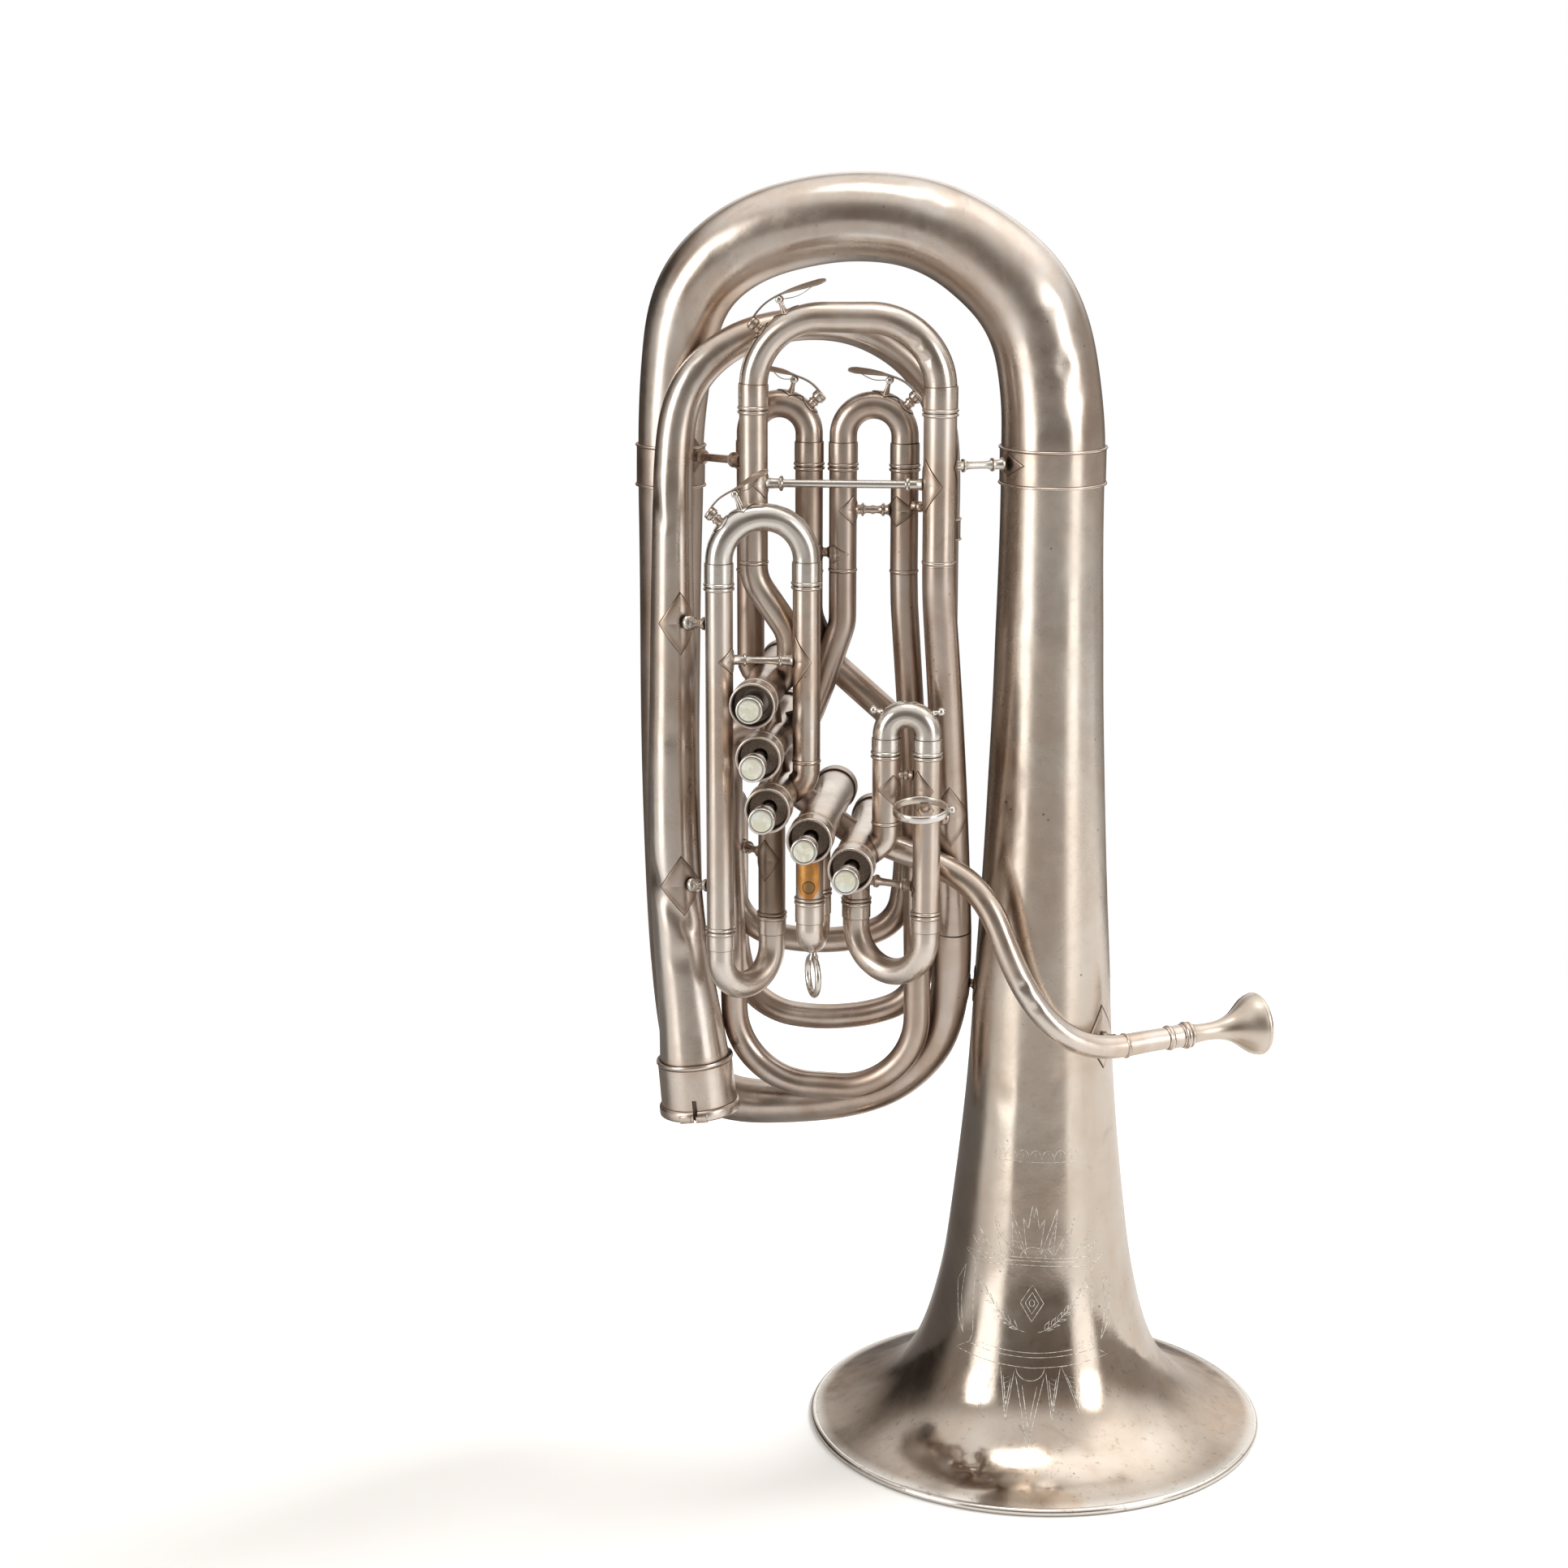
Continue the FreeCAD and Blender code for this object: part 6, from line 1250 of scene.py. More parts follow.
def hoop(name, centre, normal, R, r, body, node, mat="silver_new", squash=1.0, seg=72, sec=20):
    n = unit(normal)
    U, W = frames(np.array([n]))
    U, W = U[0], W[0]
    V = []
    for i in range(seg):
        a = 2 * math.pi * i / seg
        d = U * math.cos(a) + W * math.sin(a)
        for j in range(sec):
            b = 2 * math.pi * j / sec
            V.append(vec(centre) + d * (R + r * math.cos(b)) + n * (r * squash * math.sin(b)))
    F = []
    for i in range(seg):
        for j in range(sec):
            F.append((i * sec + j, i * sec + (j + 1) % sec, ((i + 1) % seg) * sec + (j + 1) % sec, ((i + 1) % seg) * sec + j))
    ob = make(name, V, F)
    fix_normals(ob)
    return put(ob, body, [node] if node else (), slot=None if node else "silver_plate", mat=MAT[mat])


hoop("second_slide_ring", (sx, sy, 297.6), rn, 11.3, 1.9, BODY["second_slide"], "second_slide")

# ---- water keys -----------------------------------------------------------------------------------
KEYS = {
    "main": dict(pad=(-169.3, 677.4), piv=(-154.6, 691.6), tip=(-128.1, 702.4), sad=(-150.6, 680.6), noz=(-160.6, 669.6), y=-38.0, c=(-129.8, 641.9), R=40.0, tr=8.3, m="silver"),
    "small_bell": dict(pad=(-134.6, 634.6), piv=(-148.4, 644.6), tip=(-165.6, 650.6), sad=(-152.0, 632.0), noz=(-142.4, 627.0), y=-20.0, c=(-157.0, 613.4), R=17.2, tr=7.9, m="silver_old"),
    "fourth": dict(pad=(-78.9, 635.0), piv=(-93.2, 645.0), tip=(-117.4, 650.4), sad=(-97.0, 632.0), noz=(-86.6, 627.0), y=-20.0, c=(-102.1, 612.7), R=17.9, tr=7.9, m="silver_old"),
    "third": dict(pad=(-190.9, 571.0), piv=(-177.2, 583.4), tip=(-158.4, 596.6), sad=(-172.6, 571.0), noz=(-182.4, 563.4), y=-58.6, c=(-162.0, 544.6), R=25.3, tr=7.9, m="silver_new"),
}
SLIDE_OF = {"main": "main_slide", "small_bell": "small_bell_slide", "fourth": "fourth_slide", "third": "third_upper_slide"}


def bent_flange(name, c, R, tr, ang, y, a, b, body, node, mat, thick=0.5, power=1.0, dirx=None):
    """Flange lying on the outer side of a bow: c is the bow's centre (x, z), R its radius, ang where the flange sits."""
    prof = [(0.0, thick), (0.5, thick), (0.85, thick * 0.95), (0.97, thick * 0.55), (1.0, 0.0), (1.0, -0.4)]
    n = 56
    V, D, idx = [], [], []
    dx = dirx if dirx is not None else vec(1, 0, 0)
    for q, h in prof:
        row = []
        for k in range(1 if q == 0 else n):
            th = 2 * math.pi * k / n
            cx, sn = math.cos(th), math.sin(th)
            x = a * q * math.copysign(abs(cx) ** (2 / power), cx)
            v = b * q * math.copysign(abs(sn) ** (2 / power), sn)
            w = ang + x / (R + tr)
            f = v / tr
            rr = R + (tr + h) * math.cos(f)
            row.append(len(V))
            V.append(vec(c[0], y, c[1]) + (dx * math.cos(w) + vec(0, 0, 1) * math.sin(w)) * rr + np.cross(dx, vec(0, 0, 1)) * (-(tr + h) * math.sin(f)))
            # dark rim of the flange: painted shadow along its edge
            D.append(0.1 if q < 0.9 else 1.0)
        idx.append(row if q else row * n)
    F = []
    for i in range(len(prof) - 1):
        for j in range(n):
            k = (j + 1) % n
            ff = []
            for v in (idx[i][j], idx[i][k], idx[i + 1][k], idx[i + 1][j]):
                if v not in ff:
                    ff.append(v)
            if len(ff) > 2:
                F.append(tuple(ff))
    F.append(tuple(reversed(idx[-1])))
    ob = make(name, V, F, D)
    fix_normals(ob)
    sharp_ends(ob, 45)
    return put(ob, body, [node], mat=MAT[mat])


def water_key(k, q):
    y = q["y"]
    sl = SLIDE_OF[k]
    sbody, kbody = BODY[sl], BODY[k + "_water_key"]
    A, Pv, Tp, Nz, Sd = (vec(a[0], y, a[1]) for a in (q["pad"], q["piv"], q["tip"], q["noz"], q["sad"]))
    e = unit(A - Nz)
    out = unit(Pv - Sd)
    # lever: spring leaf, narrow over the pad, broad at the finger end
    P0 = [A + e * 2.1, (A + Pv) / 2 + e * 3.6, Pv + e * 1.6 + out * 0.4, (Pv + Tp) / 2 + e * 1.0 + out * 0.6, Tp]
    P0 = np.array(P0)
    d = np.concatenate([[0], np.cumsum(np.linalg.norm(np.diff(P0, axis=0), axis=1))])
    f = cubic(d, P0)
    t = np.linspace(0, d[-1], 44)
    C = f(t)
    T = np.gradient(C, axis=0)
    T /= np.linalg.norm(T, axis=1)[:, None]
    Y = vec(0, 1, 0)
    N = np.cross(T, Y)
    if N[0] @ e < 0:
        N = -N
    u = t / d[-1]
    piv_u = d[2] / d[-1]
    W = np.interp(u, [0, 0.06, 0.16, piv_u, piv_u + 0.1, 0.72, 0.9, 0.97, 1.0], [1.5, 2.2, 2.1, 2.0, 2.3, 3.9, 4.2, 3.2, 1.2])
    H = np.interp(u, [0, 0.3, 1.0], [1.15, 1.1, 0.75])
    lean = np.radians(np.interp(u, [0, piv_u, piv_u + 0.16, 1.0], [0, 2, 17, 20]))[:, None] * (1.25 if k == "small_bell" else 1.0)
    if k == "small_bell":
        W = W * np.interp(u, [0, piv_u, piv_u + 0.1, 1.0], [1.0, 1.0, 0.72, 0.66])
    Yt = Y[None, :] * np.cos(lean) + N * np.sin(lean)
    V, D = [], []
    cols = (-1.0, -0.82, -0.4, 0.0, 0.4, 0.82, 1.0)
    for i in range(len(t)):
        for c in cols:
            V.append(C[i] + Yt[i] * (c * W[i]) + N[i] * (H[i] * (1.0 - 0.32 * abs(c) ** 3)))
            D.append(0.12 + 0.3 * (abs(c) > 0.9))
        for c in reversed(cols):
            V.append(C[i] + Yt[i] * (c * W[i]) + N[i] * (0.22 * abs(c) ** 3))
            D.append(0.5)
    m = 14
    F = grid_faces(len(t), m, 0)
    F.append(tuple(range(m)))
    b = (len(t) - 1) * m
    F.append(tuple(b + m - 1 - j for j in range(m)))
    ob = make(k + "_key_lever", V, F, D)
    fix_normals(ob)
    sharp_ends(ob, 50)
    put(ob, kbody, [k + "_water_key"], mat=MAT["silver_dark" if k != "third" else "silver_old"])
    # turned pad cup with a groove, and the lug that turns on the pin
    cup = lathe(k + "_key_cup", [(0, 3.0, 0.2), (1.8, 2.9, 0.1), (3.2, 2.6, 0.1), (3.75, 2.2, 0.1), (3.95, 1.7, 0.0), (3.9, 1.25, 0.9), (3.75, 1.05, 0.9), (3.95, 0.8, 0.1), (3.95, -0.9, 0.1),
                                 (3.75, -1.15, 0.5), (3.3, -1.15, 0.9), (3.3, 1.2, 0.9), (0, 1.2, 0.9)], A + e * 0.2, e, seg=40, closed=False, sharp=30)
    put(cup, kbody, [k + "_water_key"], mat=MAT["silver"])
    lug = lathe(k + "_key_lug", [(0.9, -1.5, 0.6), (2.0, -1.5, 0.3), (2.2, -1.2, 0.1), (2.2, 1.2, 0.1), (2.0, 1.5, 0.3), (0.9, 1.5, 0.6)], Pv, Y, seg=32, sharp=40)
    put(lug, kbody, [k + "_water_key"], mat=MAT["silver_old"])
    # leaf spring under the lever
    S = []
    q0, q1 = Pv - out * 0.6 + unit(Tp - Pv) * 2.4, (Pv * 0.32 + Tp * 0.68) - N[34] * 0.25
    for i in range(15):
        w = i / 14
        S.append(q0 * (1 - w) + q1 * w - N[30] * (1.5 * math.sin(math.pi * w)))
    S = np.array(S)
    TT = np.gradient(S, axis=0)
    TT /= np.linalg.norm(TT, axis=1)[:, None]
    NN = np.cross(TT, Y)
    V = []
    for i in range(15):
        for c, h in ((-1.1, -0.16), (1.1, -0.16), (1.1, 0.16), (-1.1, 0.16)):
            V.append(S[i] + Y * c + NN[i] * h)
    F = grid_faces(15, 4, 0)
    F += [(0, 1, 2, 3), (59, 58, 57, 56)]
    sp = make(k + "_key_spring", V, F, None, smooth=False)
    fix_normals(sp)
    put(sp, kbody, slot="spring_steel", mat=MAT["spring"])
    # cork
    ck = lathe(k + "_key_pad_cork", [(0, 0, 0), (2.9, 0, 0), (3.15, 0.25, 0), (3.2, 1.4, 0), (3.2, 2.9, 0), (3.0, 3.1, 0), (0, 3.1, 0)], A - e * 1.85, e, seg=32, closed=False)
    put(ck, kbody, [k + "_key_cork"], mat=MAT["cork"])
    # on the bow: drain nozzle, saddle, forked post, pin with a round screw head
    base = Nz
    ln = np.linalg.norm(A - Nz) - 2.1
    nz = lathe(k + "_key_nozzle", [(1.3, 0, 0.9), (2.6, 0, 0.8), (2.6, ln - 2.4, 0.6), (3.2, ln - 2.2, 0.1), (3.2, ln - 1.2, 0.1), (2.7, ln - 0.9, 0.5), (2.6, ln, 0.4), (1.3, ln, 0.9)], base, e, seg=36)
    put(nz, sbody, [sl], mat=MAT["silver"])
    c, R, tr = vec(q["c"]), q["R"], q["tr"]
    w_s = math.atan2(q["piv"][1] - c[1], q["piv"][0] - c[0])
    w_n = math.atan2(q["pad"][1] - c[1], q["pad"][0] - c[0])
    dx = vec(1, 0, 0) if k != "third" else unit(vec(49.2, 12.0, 0))
    yy = y if k != "third" else -56.0
    cc = (c[0], c[1])
    if k == "third":
        c3 = vec(-162.0, -56.0, 544.6)
        w_s = math.atan2(Pv[2] - c3[2], (Pv - c3) @ dx)
        w_n = math.atan2(A[2] - c3[2], (A - c3) @ dx)
    bent_flange(k + "_key_saddle", cc, R, tr, w_s, yy, 8.5, 6.2, sbody, sl, q["m"], 0.6, 0.95, dx)
    bent_flange(k + "_key_nozzle_plate", cc, R, tr, w_n, yy, 6.4, 6.0, sbody, sl, q["m"], 0.5, 1.9, dx)
    Lp = np.linalg.norm(Pv - Sd) + 0.9
    for s in (-1, 1):
        a = Sd + Y * (s * 2.9)
        bb = Pv + Y * (s * 3.0) + out * 0.9
        L = np.linalg.norm(bb - a)
        r0 = [(0, 1.7, 0.9), (L - 7.5, 1.5, 0.6), (L - 5.5, 1.0, 0.3), (L - 3.2, 0.95, 0.2), (L - 2.4, 1.15, 0.1), (L - 0.8, 1.35, 0.0), (L, 0.8, 0.1)]
        post("%s_key_fork_%d" % (k, (s + 3) // 2), a, bb, [r for r in r0 if r[0] >= 0], sbody, sl, q["m"], 20)
    pin = lathe(k + "_key_pin", [(0, -4.9, 0.0), (1.1, -4.85, 0.0), (1.75, -4.55, 0.0), (1.95, -4.2, 0.3), (1.95, -3.9, 0.5), (0.82, -3.85, 0.7), (0.82, 3.9, 0.4), (1.3, 4.0, 0.2), (1.3, 4.6, 0.1), (0, 4.8, 0)],
                Pv, Y, seg=28, closed=False, sharp=40)
    put(pin, sbody, [sl], mat=MAT["silver_new"])


for _k, _q in KEYS.items():
    water_key(_k, _q)

# ---- valves -----------------------------------------------------------------------------------
YP = vec(0, 1, 0)
for n, (x, z) in VALVES.items():
    # casing: a plain turned tube
    L = 122.0
    prof = [(11.2, 0, 0.9), (12.0, 0, 0.5), (12.0, 6, 0.4)] + [(12.0, f, 0.05) for f in np.linspace(14, 112, 9)] + [(12.0, 120, 0.6), (12.0, L, 0.7), (11.2, L, 0.9)]
    ob = lathe("casing_%d" % n, prof, (x, -86.0, z), YP, seg=72, amp=0.03, scale=26)
    put(ob, "frame", ["valve_casing_%d" % n], mat=MAT["silver" if n < 4 else "silver_old"])
    # deep top cap: rounded lip, fine bead behind it, shoulder band where it screws on
    hole = 8.1 if n == 5 else 4.4      # the fifth button sinks through its cap
    prof = [(hole, 10, 0.9), (11.4, 10, 1.0), (11.5, 1.4, 0.95), (11.7, 0.5, 0.35), (12.1, 0.08, 0.0), (12.6, 0.0, 0.0), (13.1, 0.25, 0.0), (13.3, 0.8, 0.0), (13.3, 2.0, 0.0), (13.15, 2.5, 0.2),
            (12.82, 2.75, 0.9), (12.8, 3.3, 0.3), (12.8, 8, 0.03), (12.8, 13.4, 0.05), (12.8, 14.2, 0.8), (13.05, 14.4, 0.2), (13.2, 14.9, 0.0), (13.2, 15.5, 0.0), (13.05, 16.0, 0.2),
            (12.8, 16.2, 0.8), (12.8, 17.6, 0.4), (12.6, 18.0, 0.9), (12.05, 18.0, 1.0), (12.05, 12.0, 1.0), (hole, 12.0, 1.0)]
    ob = lathe("top_cap_%d" % n, prof, (x, -98.0, z), YP, seg=80, sharp=50)
    put(ob, "frame", ["valve_top_caps"], mat=MAT["silver"])
    prof = [(12.05, -8, 0.9), (13.0, -8, 0.8), (13.3, -7.7, 0.1), (13.3, -6.9, 0.0), (13.0, -6.5, 0.6), (12.95, -5.8, 0.2), (12.95, -1.2, 0.1), (13.0, -0.6, 0.6), (13.3, -0.3, 0.1), (13.3, 0.6, 0.0),
            (13.0, 1.3, 0.2), (12.5, 1.7, 0.4), (9.6, 2.4, 0.3), (8.2, 2.6, 0.8), (7.9, 3.2, 0.2), (7.6, 4.4, 0.0), (6.6, 5.0, 0.1), (1.6, 5.2, 0.1), (1.4, 4.6, 0.9), (0, 4.6, 0.9), (0, 0.1, 0.9), (12.05, 0.1, 0.9)]
    ob = lathe("bottom_cap_%d" % n, prof, (x, 36.0, z), YP, seg=72, closed=False, sharp=45)
    put(ob, "frame", ["valve_bottom_caps"], mat=MAT["silver_old"])
for a, b, y in ((1, 2, -28.5), (2, 3, -29), (3, 4, -42), (4, 5, -44)):
    pa, pb = vec(VALVES[a][0], y, VALVES[a][1]), vec(VALVES[b][0], y, VALVES[b][1])
    line = Line([pa + (pb - pa) * f for f in np.linspace(0, 1, 60)])
    P, T, K = line.at(np.array([line.length / 2]))
    L = line.length
    S = np.linspace(L / 2 - 1.2, L / 2 + 1.2, 5)
    seg = 48
    P, T, K = line.at(S)
    U, W = frames(T)
    ang = np.linspace(0, 2 * math.pi, seg, endpoint=False)
    N = U[:, None] * np.cos(ang)[None, :, None] + W[:, None] * np.sin(ang)[None, :, None]
    O, I = P[:, None] + N * 7.6, P[:, None] + N * 7.0
    fa, fb = (VALVES[a][0], VALVES[a][1], 11.75), (VALVES[b][0], VALVES[b][1], 11.75)
    O = np.concatenate([ring_fit(O[0], -T[0], fa)[None], O, ring_fit(O[-1], T[-1], fb)[None]])
    I = np.concatenate([ring_fit(I[0], -T[0], fa)[None], I, ring_fit(I[-1], T[-1], fb)[None]])
    k = len(O)
    V = np.concatenate([O.reshape(-1, 3), I.reshape(-1, 3)])
    F = grid_faces(k, seg, 0) + grid_faces(k, seg, k * seg, flip=True)
    for j in range(seg):
        j2, e, m = (j + 1) % seg, (k - 1) * seg, k * seg
        F.append((j, m + j, m + j2, j2))
        F.append((e + j2, m + e + j2, m + e + j, e + j))
    ob = make("knuckle_%d%d" % (a, b), V, F, np.full(len(V), 0.7))
    fix_normals(ob)
    sharp_ends(ob)
    put(ob, "frame", ["valve_knuckles"], mat=MAT["silver_old"])

for n, (x, z) in VALVES.items():
    body = BODY["piston_%d" % n]
    face = -98.0 - (13.0 if n == 5 else 25.0)          # Y of the finger button's face
    H = -5.0 - face                                   # local height of the face above the piston's back end
    prof = [(10.3, 0, 0.3), (11.0, 0, 0.1), (11.14, 0.15, 0.0)] + [(11.14, h, 0.0) for h in (12, 24, 36, 48, 60, 72)] + [(11.14, 78.7, 0.2), (10.9, 79.0, 0.5), (3.6, 79.0, 0.9)]
    st = H - (12.9 if n == 5 else 15.3)
    k5 = 0.66 if n == 5 else 1.0
    prof += [(3.2, 79.2, 0.5), (3.15, st - 6.0, 0.2), (3.15, st - 3.0, 0.1), (3.2, st, 0.1), (5.9, st + 0.25 * k5, 0.3), (6.5, st + 0.8 * k5, 0.05), (6.55, st + 1.9 * k5, 0.0), (6.2, st + 2.4 * k5, 0.5), (5.9, st + 2.8 * k5, 0.9),
             (5.9, st + 3.2 * k5, 0.9), (6.7, st + 3.7 * k5, 0.1), (7.1, st + 4.4 * k5, 0.0), (7.1, st + 5.3 * k5, 0.0), (6.6, st + 5.8 * k5, 0.6), (6.2, st + 6.2 * k5, 0.9), (6.2, st + 6.8 * k5, 0.9), (7.1, H - 7.9, 0.3),
             (7.45, H - 7.3, 0.05), (7.5, H - 6.0, 0.0), (7.1, H - 5.3, 0.8), (6.9, H - 4.9, 0.9), (7.6, H - 4.3, 0.1),
             (7.75, H - 3.8, 0.0), (7.75, H - 0.9, 0.0), (7.6, H - 0.35, 0.0), (7.25, H, 0.0), (6.5, H + 0.08, 0.0), (6.08, H + 0.02, 0.2), (5.98, H - 0.15, 1.0), (5.98, H - 1.3, 1.0), (0, H - 1.3, 1.0)]
    prof += [(0, 77.4, 0.5), (10.3, 77.4, 0.5)]
    ob = lathe("piston_%d_turned" % n, prof, (x, -5.0, z), -YP, seg=72, closed=True, sharp=45)
    put(ob, body, ["piston_%d" % n], mat=MAT["silver_new"])
    pr = [(0, 0, 0)] + [(5.93, 0, 0), (5.93, 1.05, 0), (5.82, 1.28, 0), (5.5, 1.46, 0), (4.7, 1.64, 0), (3.4, 1.79, 0), (1.7, 1.85, 0), (0, 1.87, 0)]
    ob = lathe("pearl_%d_inlay" % n, pr, (x, face + 1.28, z), -YP, seg=64, closed=False, sharp=50)
    put(ob, body, ["pearl_%d" % n], mat=MAT["pearl"])
    # dark felt washer at the bottom of the cap's cup
    fi = 8.3 if n == 5 else 4.7
    ob = lathe("felt_%d" % n, [(fi, 8.4, 0), (fi + 0.3, 8.1, 0), (11.0, 8.1, 0), (11.3, 8.5, 0), (11.3, 9.9, 0), (fi, 9.9, 0)], (x, -98.0, z), YP, seg=60, sharp=40)
    put(ob, "frame", slot="cork", mat=MAT["felt"])
    # return spring as a real coil, hidden in the casing
    zc = np.linspace(0, 1, 220)
    P = [vec(x + 9.3 * math.cos(2 * math.pi * 6.5 * f), 35.2 - f * 46.0, z + 9.3 * math.sin(2 * math.pi * 6.5 * f)) for f in zc]
    line = Line(P)
    V, F = [], []
    Pp, Tt, Kk = line.at(np.linspace(0, line.length, 200))
    U, W = frames(Tt)
    for i in range(200):
        for j in range(8):
            a = 2 * math.pi * j / 8
            V.append(Pp[i] + (U[i] * math.cos(a) + W[i] * math.sin(a)) * 0.45)
    F = grid_faces(200, 8, 0) + [tuple(range(8)), tuple(199 * 8 + 7 - j for j in range(8))]
    ob = make("return_spring_%d" % n, V, F)
    fix_normals(ob)
    put(ob, "frame", ["spring_%d" % n], mat=MAT["spring"])

# ---- mouthpipe, receiver, mouthpiece ----------------------------------------------------------------
mp_line, mp_rad = tapered(MOUTHPIPE)
_s52 = mp_line.S[int(np.argmin(np.linalg.norm(mp_line.P - vec(51.0, -29.6, 253.8), axis=1)))]
_rows = [(s, float(mp_rad(s)), 0.0) for s in np.linspace(0, mp_line.length, 60) if abs(s - _s52) > 5]
_rows += ring_rows(_s52, float(mp_rad(_s52)), float(mp_rad(_s52)) - 0.15, 0.95)
_rows += [(_s52 - 4.2, float(mp_rad(_s52 - 4.2)), 0.0), (_s52 + 4.2, float(mp_rad(_s52 + 4.2)), 0.0)]
ob = tube("mouthpipe_tube", mp_line, sorted(_rows), 0.5, 52, 2.4, (((-8.5, -59, 297), 3.2, 0.9), ((-2.0, -60, 284), 3.6, 0.8), ((28, -50, 256), 5, 0.3)), 0.06, 20.0,
          start_fit=(v1[0], v1[1], 11.7), inner_bend_tarnish_and_shade=0.4)
put(ob, "frame", ["mouthpipe"], mat=MAT["silver"])
prof = [(6.02, -1.2, 0.9), (6.75, -1.2, 0.9), (7.0, -0.9, 0.3), (7.0, 0.0, 0.1), (7.55, 0.35, 0.0), (7.7, 1.1, 0.0), (7.55, 1.9, 0.0), (6.95, 2.4, 0.9), (6.9, 3.2, 0.2), (6.9, 7.5, 0.02), (6.9, 8.6, 0.3), (6.95, 9.0, 0.95), (7.3, 9.3, 0.2), (7.4, 9.8, 0.0), (7.3, 10.2, 0.2), (7.05, 10.5, 0.95),
        (7.7, 10.9, 0.1), (8.25, 11.6, 0.0), (8.35, 12.4, 0.0), (8.2, 13.1, 0.0), (7.6, 13.6, 0.2), (7.2, 13.8, 0.95), (7.7, 14.1, 0.1), (7.95, 14.7, 0.0), (7.85, 15.4, 0.0), (7.4, 15.9, 0.1), (6.9, 16.0, 0.2), (6.22, 16.0, 0.9), (5.9, 0.2, 0.9)]
ob = lathe("receiver_turned", prof, MP0, MPD, seg=64, sharp=45)
put(ob, "frame", ["mouthpiece_receiver"], mat=MAT["silver"])
_mo = [(4.3, 0.6, 0.6), (5.7, 0.6, 0.4), (5.82, 0.8, 0.1), (6.02, 10.0, 0.1), (6.14, 15.9, 0.9), (6.1, 16.6, 0.6), (5.9, 18.0, 0.15), (5.6, 20.5, 0.1), (5.35, 23, 0.1), (5.25, 26, 0.1), (5.3, 29, 0.1),
       (5.5, 32, 0.1), (5.9, 35, 0.1), (6.6, 38, 0.1), (7.6, 41, 0.1), (9.1, 44, 0.1), (11.1, 47, 0.1), (13.4, 50, 0.12), (15.6, 52.8, 0.12), (17.2, 55.2, 0.12), (18.25, 57.4, 0.15), (18.8, 59.4, 0.15), (18.85, 59.8, 0.55),
       (19.0, 60.1, 0.15), (19.05, 60.9, 0.05), (18.95, 61.8, 0.0), (18.5, 62.6, 0.0), (17.6, 63.15, 0.0), (16.3, 63.35, 0.0), (15.0, 63.1, 0.0), (13.8, 62.3, 0.1), (13.0, 61.0, 0.2), (12.6, 58.9, 0.3), (11.8, 56, 0.3),
       (10.2, 52.6, 0.35), (8.0, 49.2, 0.4), (5.8, 45.9, 0.5), (4.3, 42.6, 0.6), (3.6, 39.6, 0.9), (3.3, 36, 0.9), (3.1, 31, 0.9), (3.5, 20, 0.9)]
ob = lathe("mouthpiece_turned", _mo, MP0, MPD, seg=96, sharp=60, amp=0.02, scale=20)
put(ob, BODY["mouthpiece"], ["mouthpiece"], mat=MAT["worn"])

# ---- socket of the small bell ------------------------------------------------------------------------
prof = [(21.45, 0, 0.9), (22.5, 0, 0.9), (23.1, 0.2, 0.2), (23.4, 0.8, 0.0), (23.4, 1.9, 0.0), (23.0, 2.6, 0.3), (22.65, 3.0, 1.0), (22.65, 3.7, 0.25), (22.7, 9, 0.02), (22.8, 15, 0.02), (22.95, 22, 0.02), (23.05, 27.4, 0.2),
        (23.1, 28.3, 1.0), (23.7, 28.7, 0.3), (24.3, 29.2, 0.05), (24.6, 30.2, 0.0), (24.6, 33.6, 0.0), (24.4, 34.5, 0.0), (23.8, 35.0, 0.1), (22.2, 35.0, 0.3), (21.6, 34.0, 0.9), (21.5, 20, 0.9)]


def notched_lathe(name, prof, origin, axis, notch_dir, half_w, depth_h, seg=132):
    """Turned sleeve with a slot cut from its far end."""
    ob = lathe(name, prof, origin, axis, seg=seg, sharp=45)
    import bmesh
    t = unit(axis)
    nd = vec(notch_dir)
    nd = unit(nd - t * (nd @ t))
    sd = np.cross(t, nd)
    o = vec(origin)
    bm = bmesh.new()
    bm.from_mesh(ob.data)
    # slot walls: cut on both sides and at the slot's floor, then drop what lies inside and close the gaps
    for side in (-1, 1):
        co = (o + sd * (side * half_w)) * MM
        bmesh.ops.bisect_plane(bm, geom=bm.verts[:] + bm.edges[:] + bm.faces[:], plane_co=co, plane_no=sd, dist=1e-7)
    bmesh.ops.bisect_plane(bm, geom=bm.verts[:] + bm.edges[:] + bm.faces[:], plane_co=(o + t * depth_h) * MM, plane_no=t, dist=1e-7)
    gone = []
    for f in bm.faces:
        c = np.array(f.calc_center_median()) / MM - o
        if c @ nd > 0 and abs(c @ sd) < half_w and c @ t > depth_h:
            gone.append(f)
    bmesh.ops.delete(bm, geom=gone, context="FACES")
    edges = [e for e in bm.edges if e.is_boundary]
    bmesh.ops.holes_fill(bm, edges=edges, sides=200)
    bmesh.ops.recalc_face_normals(bm, faces=bm.faces)
    bm.to_mesh(ob.data)
    bm.free()
    sharp_ends(ob, 45)
    return ob


SO_ = S0 - SD * 4.0
ob = notched_lathe("socket_turned", prof, SO_, SD, (0.05, -1, 0), 1.35, 21.5)
put(ob, "frame", ["small_bell_socket"], mat=MAT["silver"])


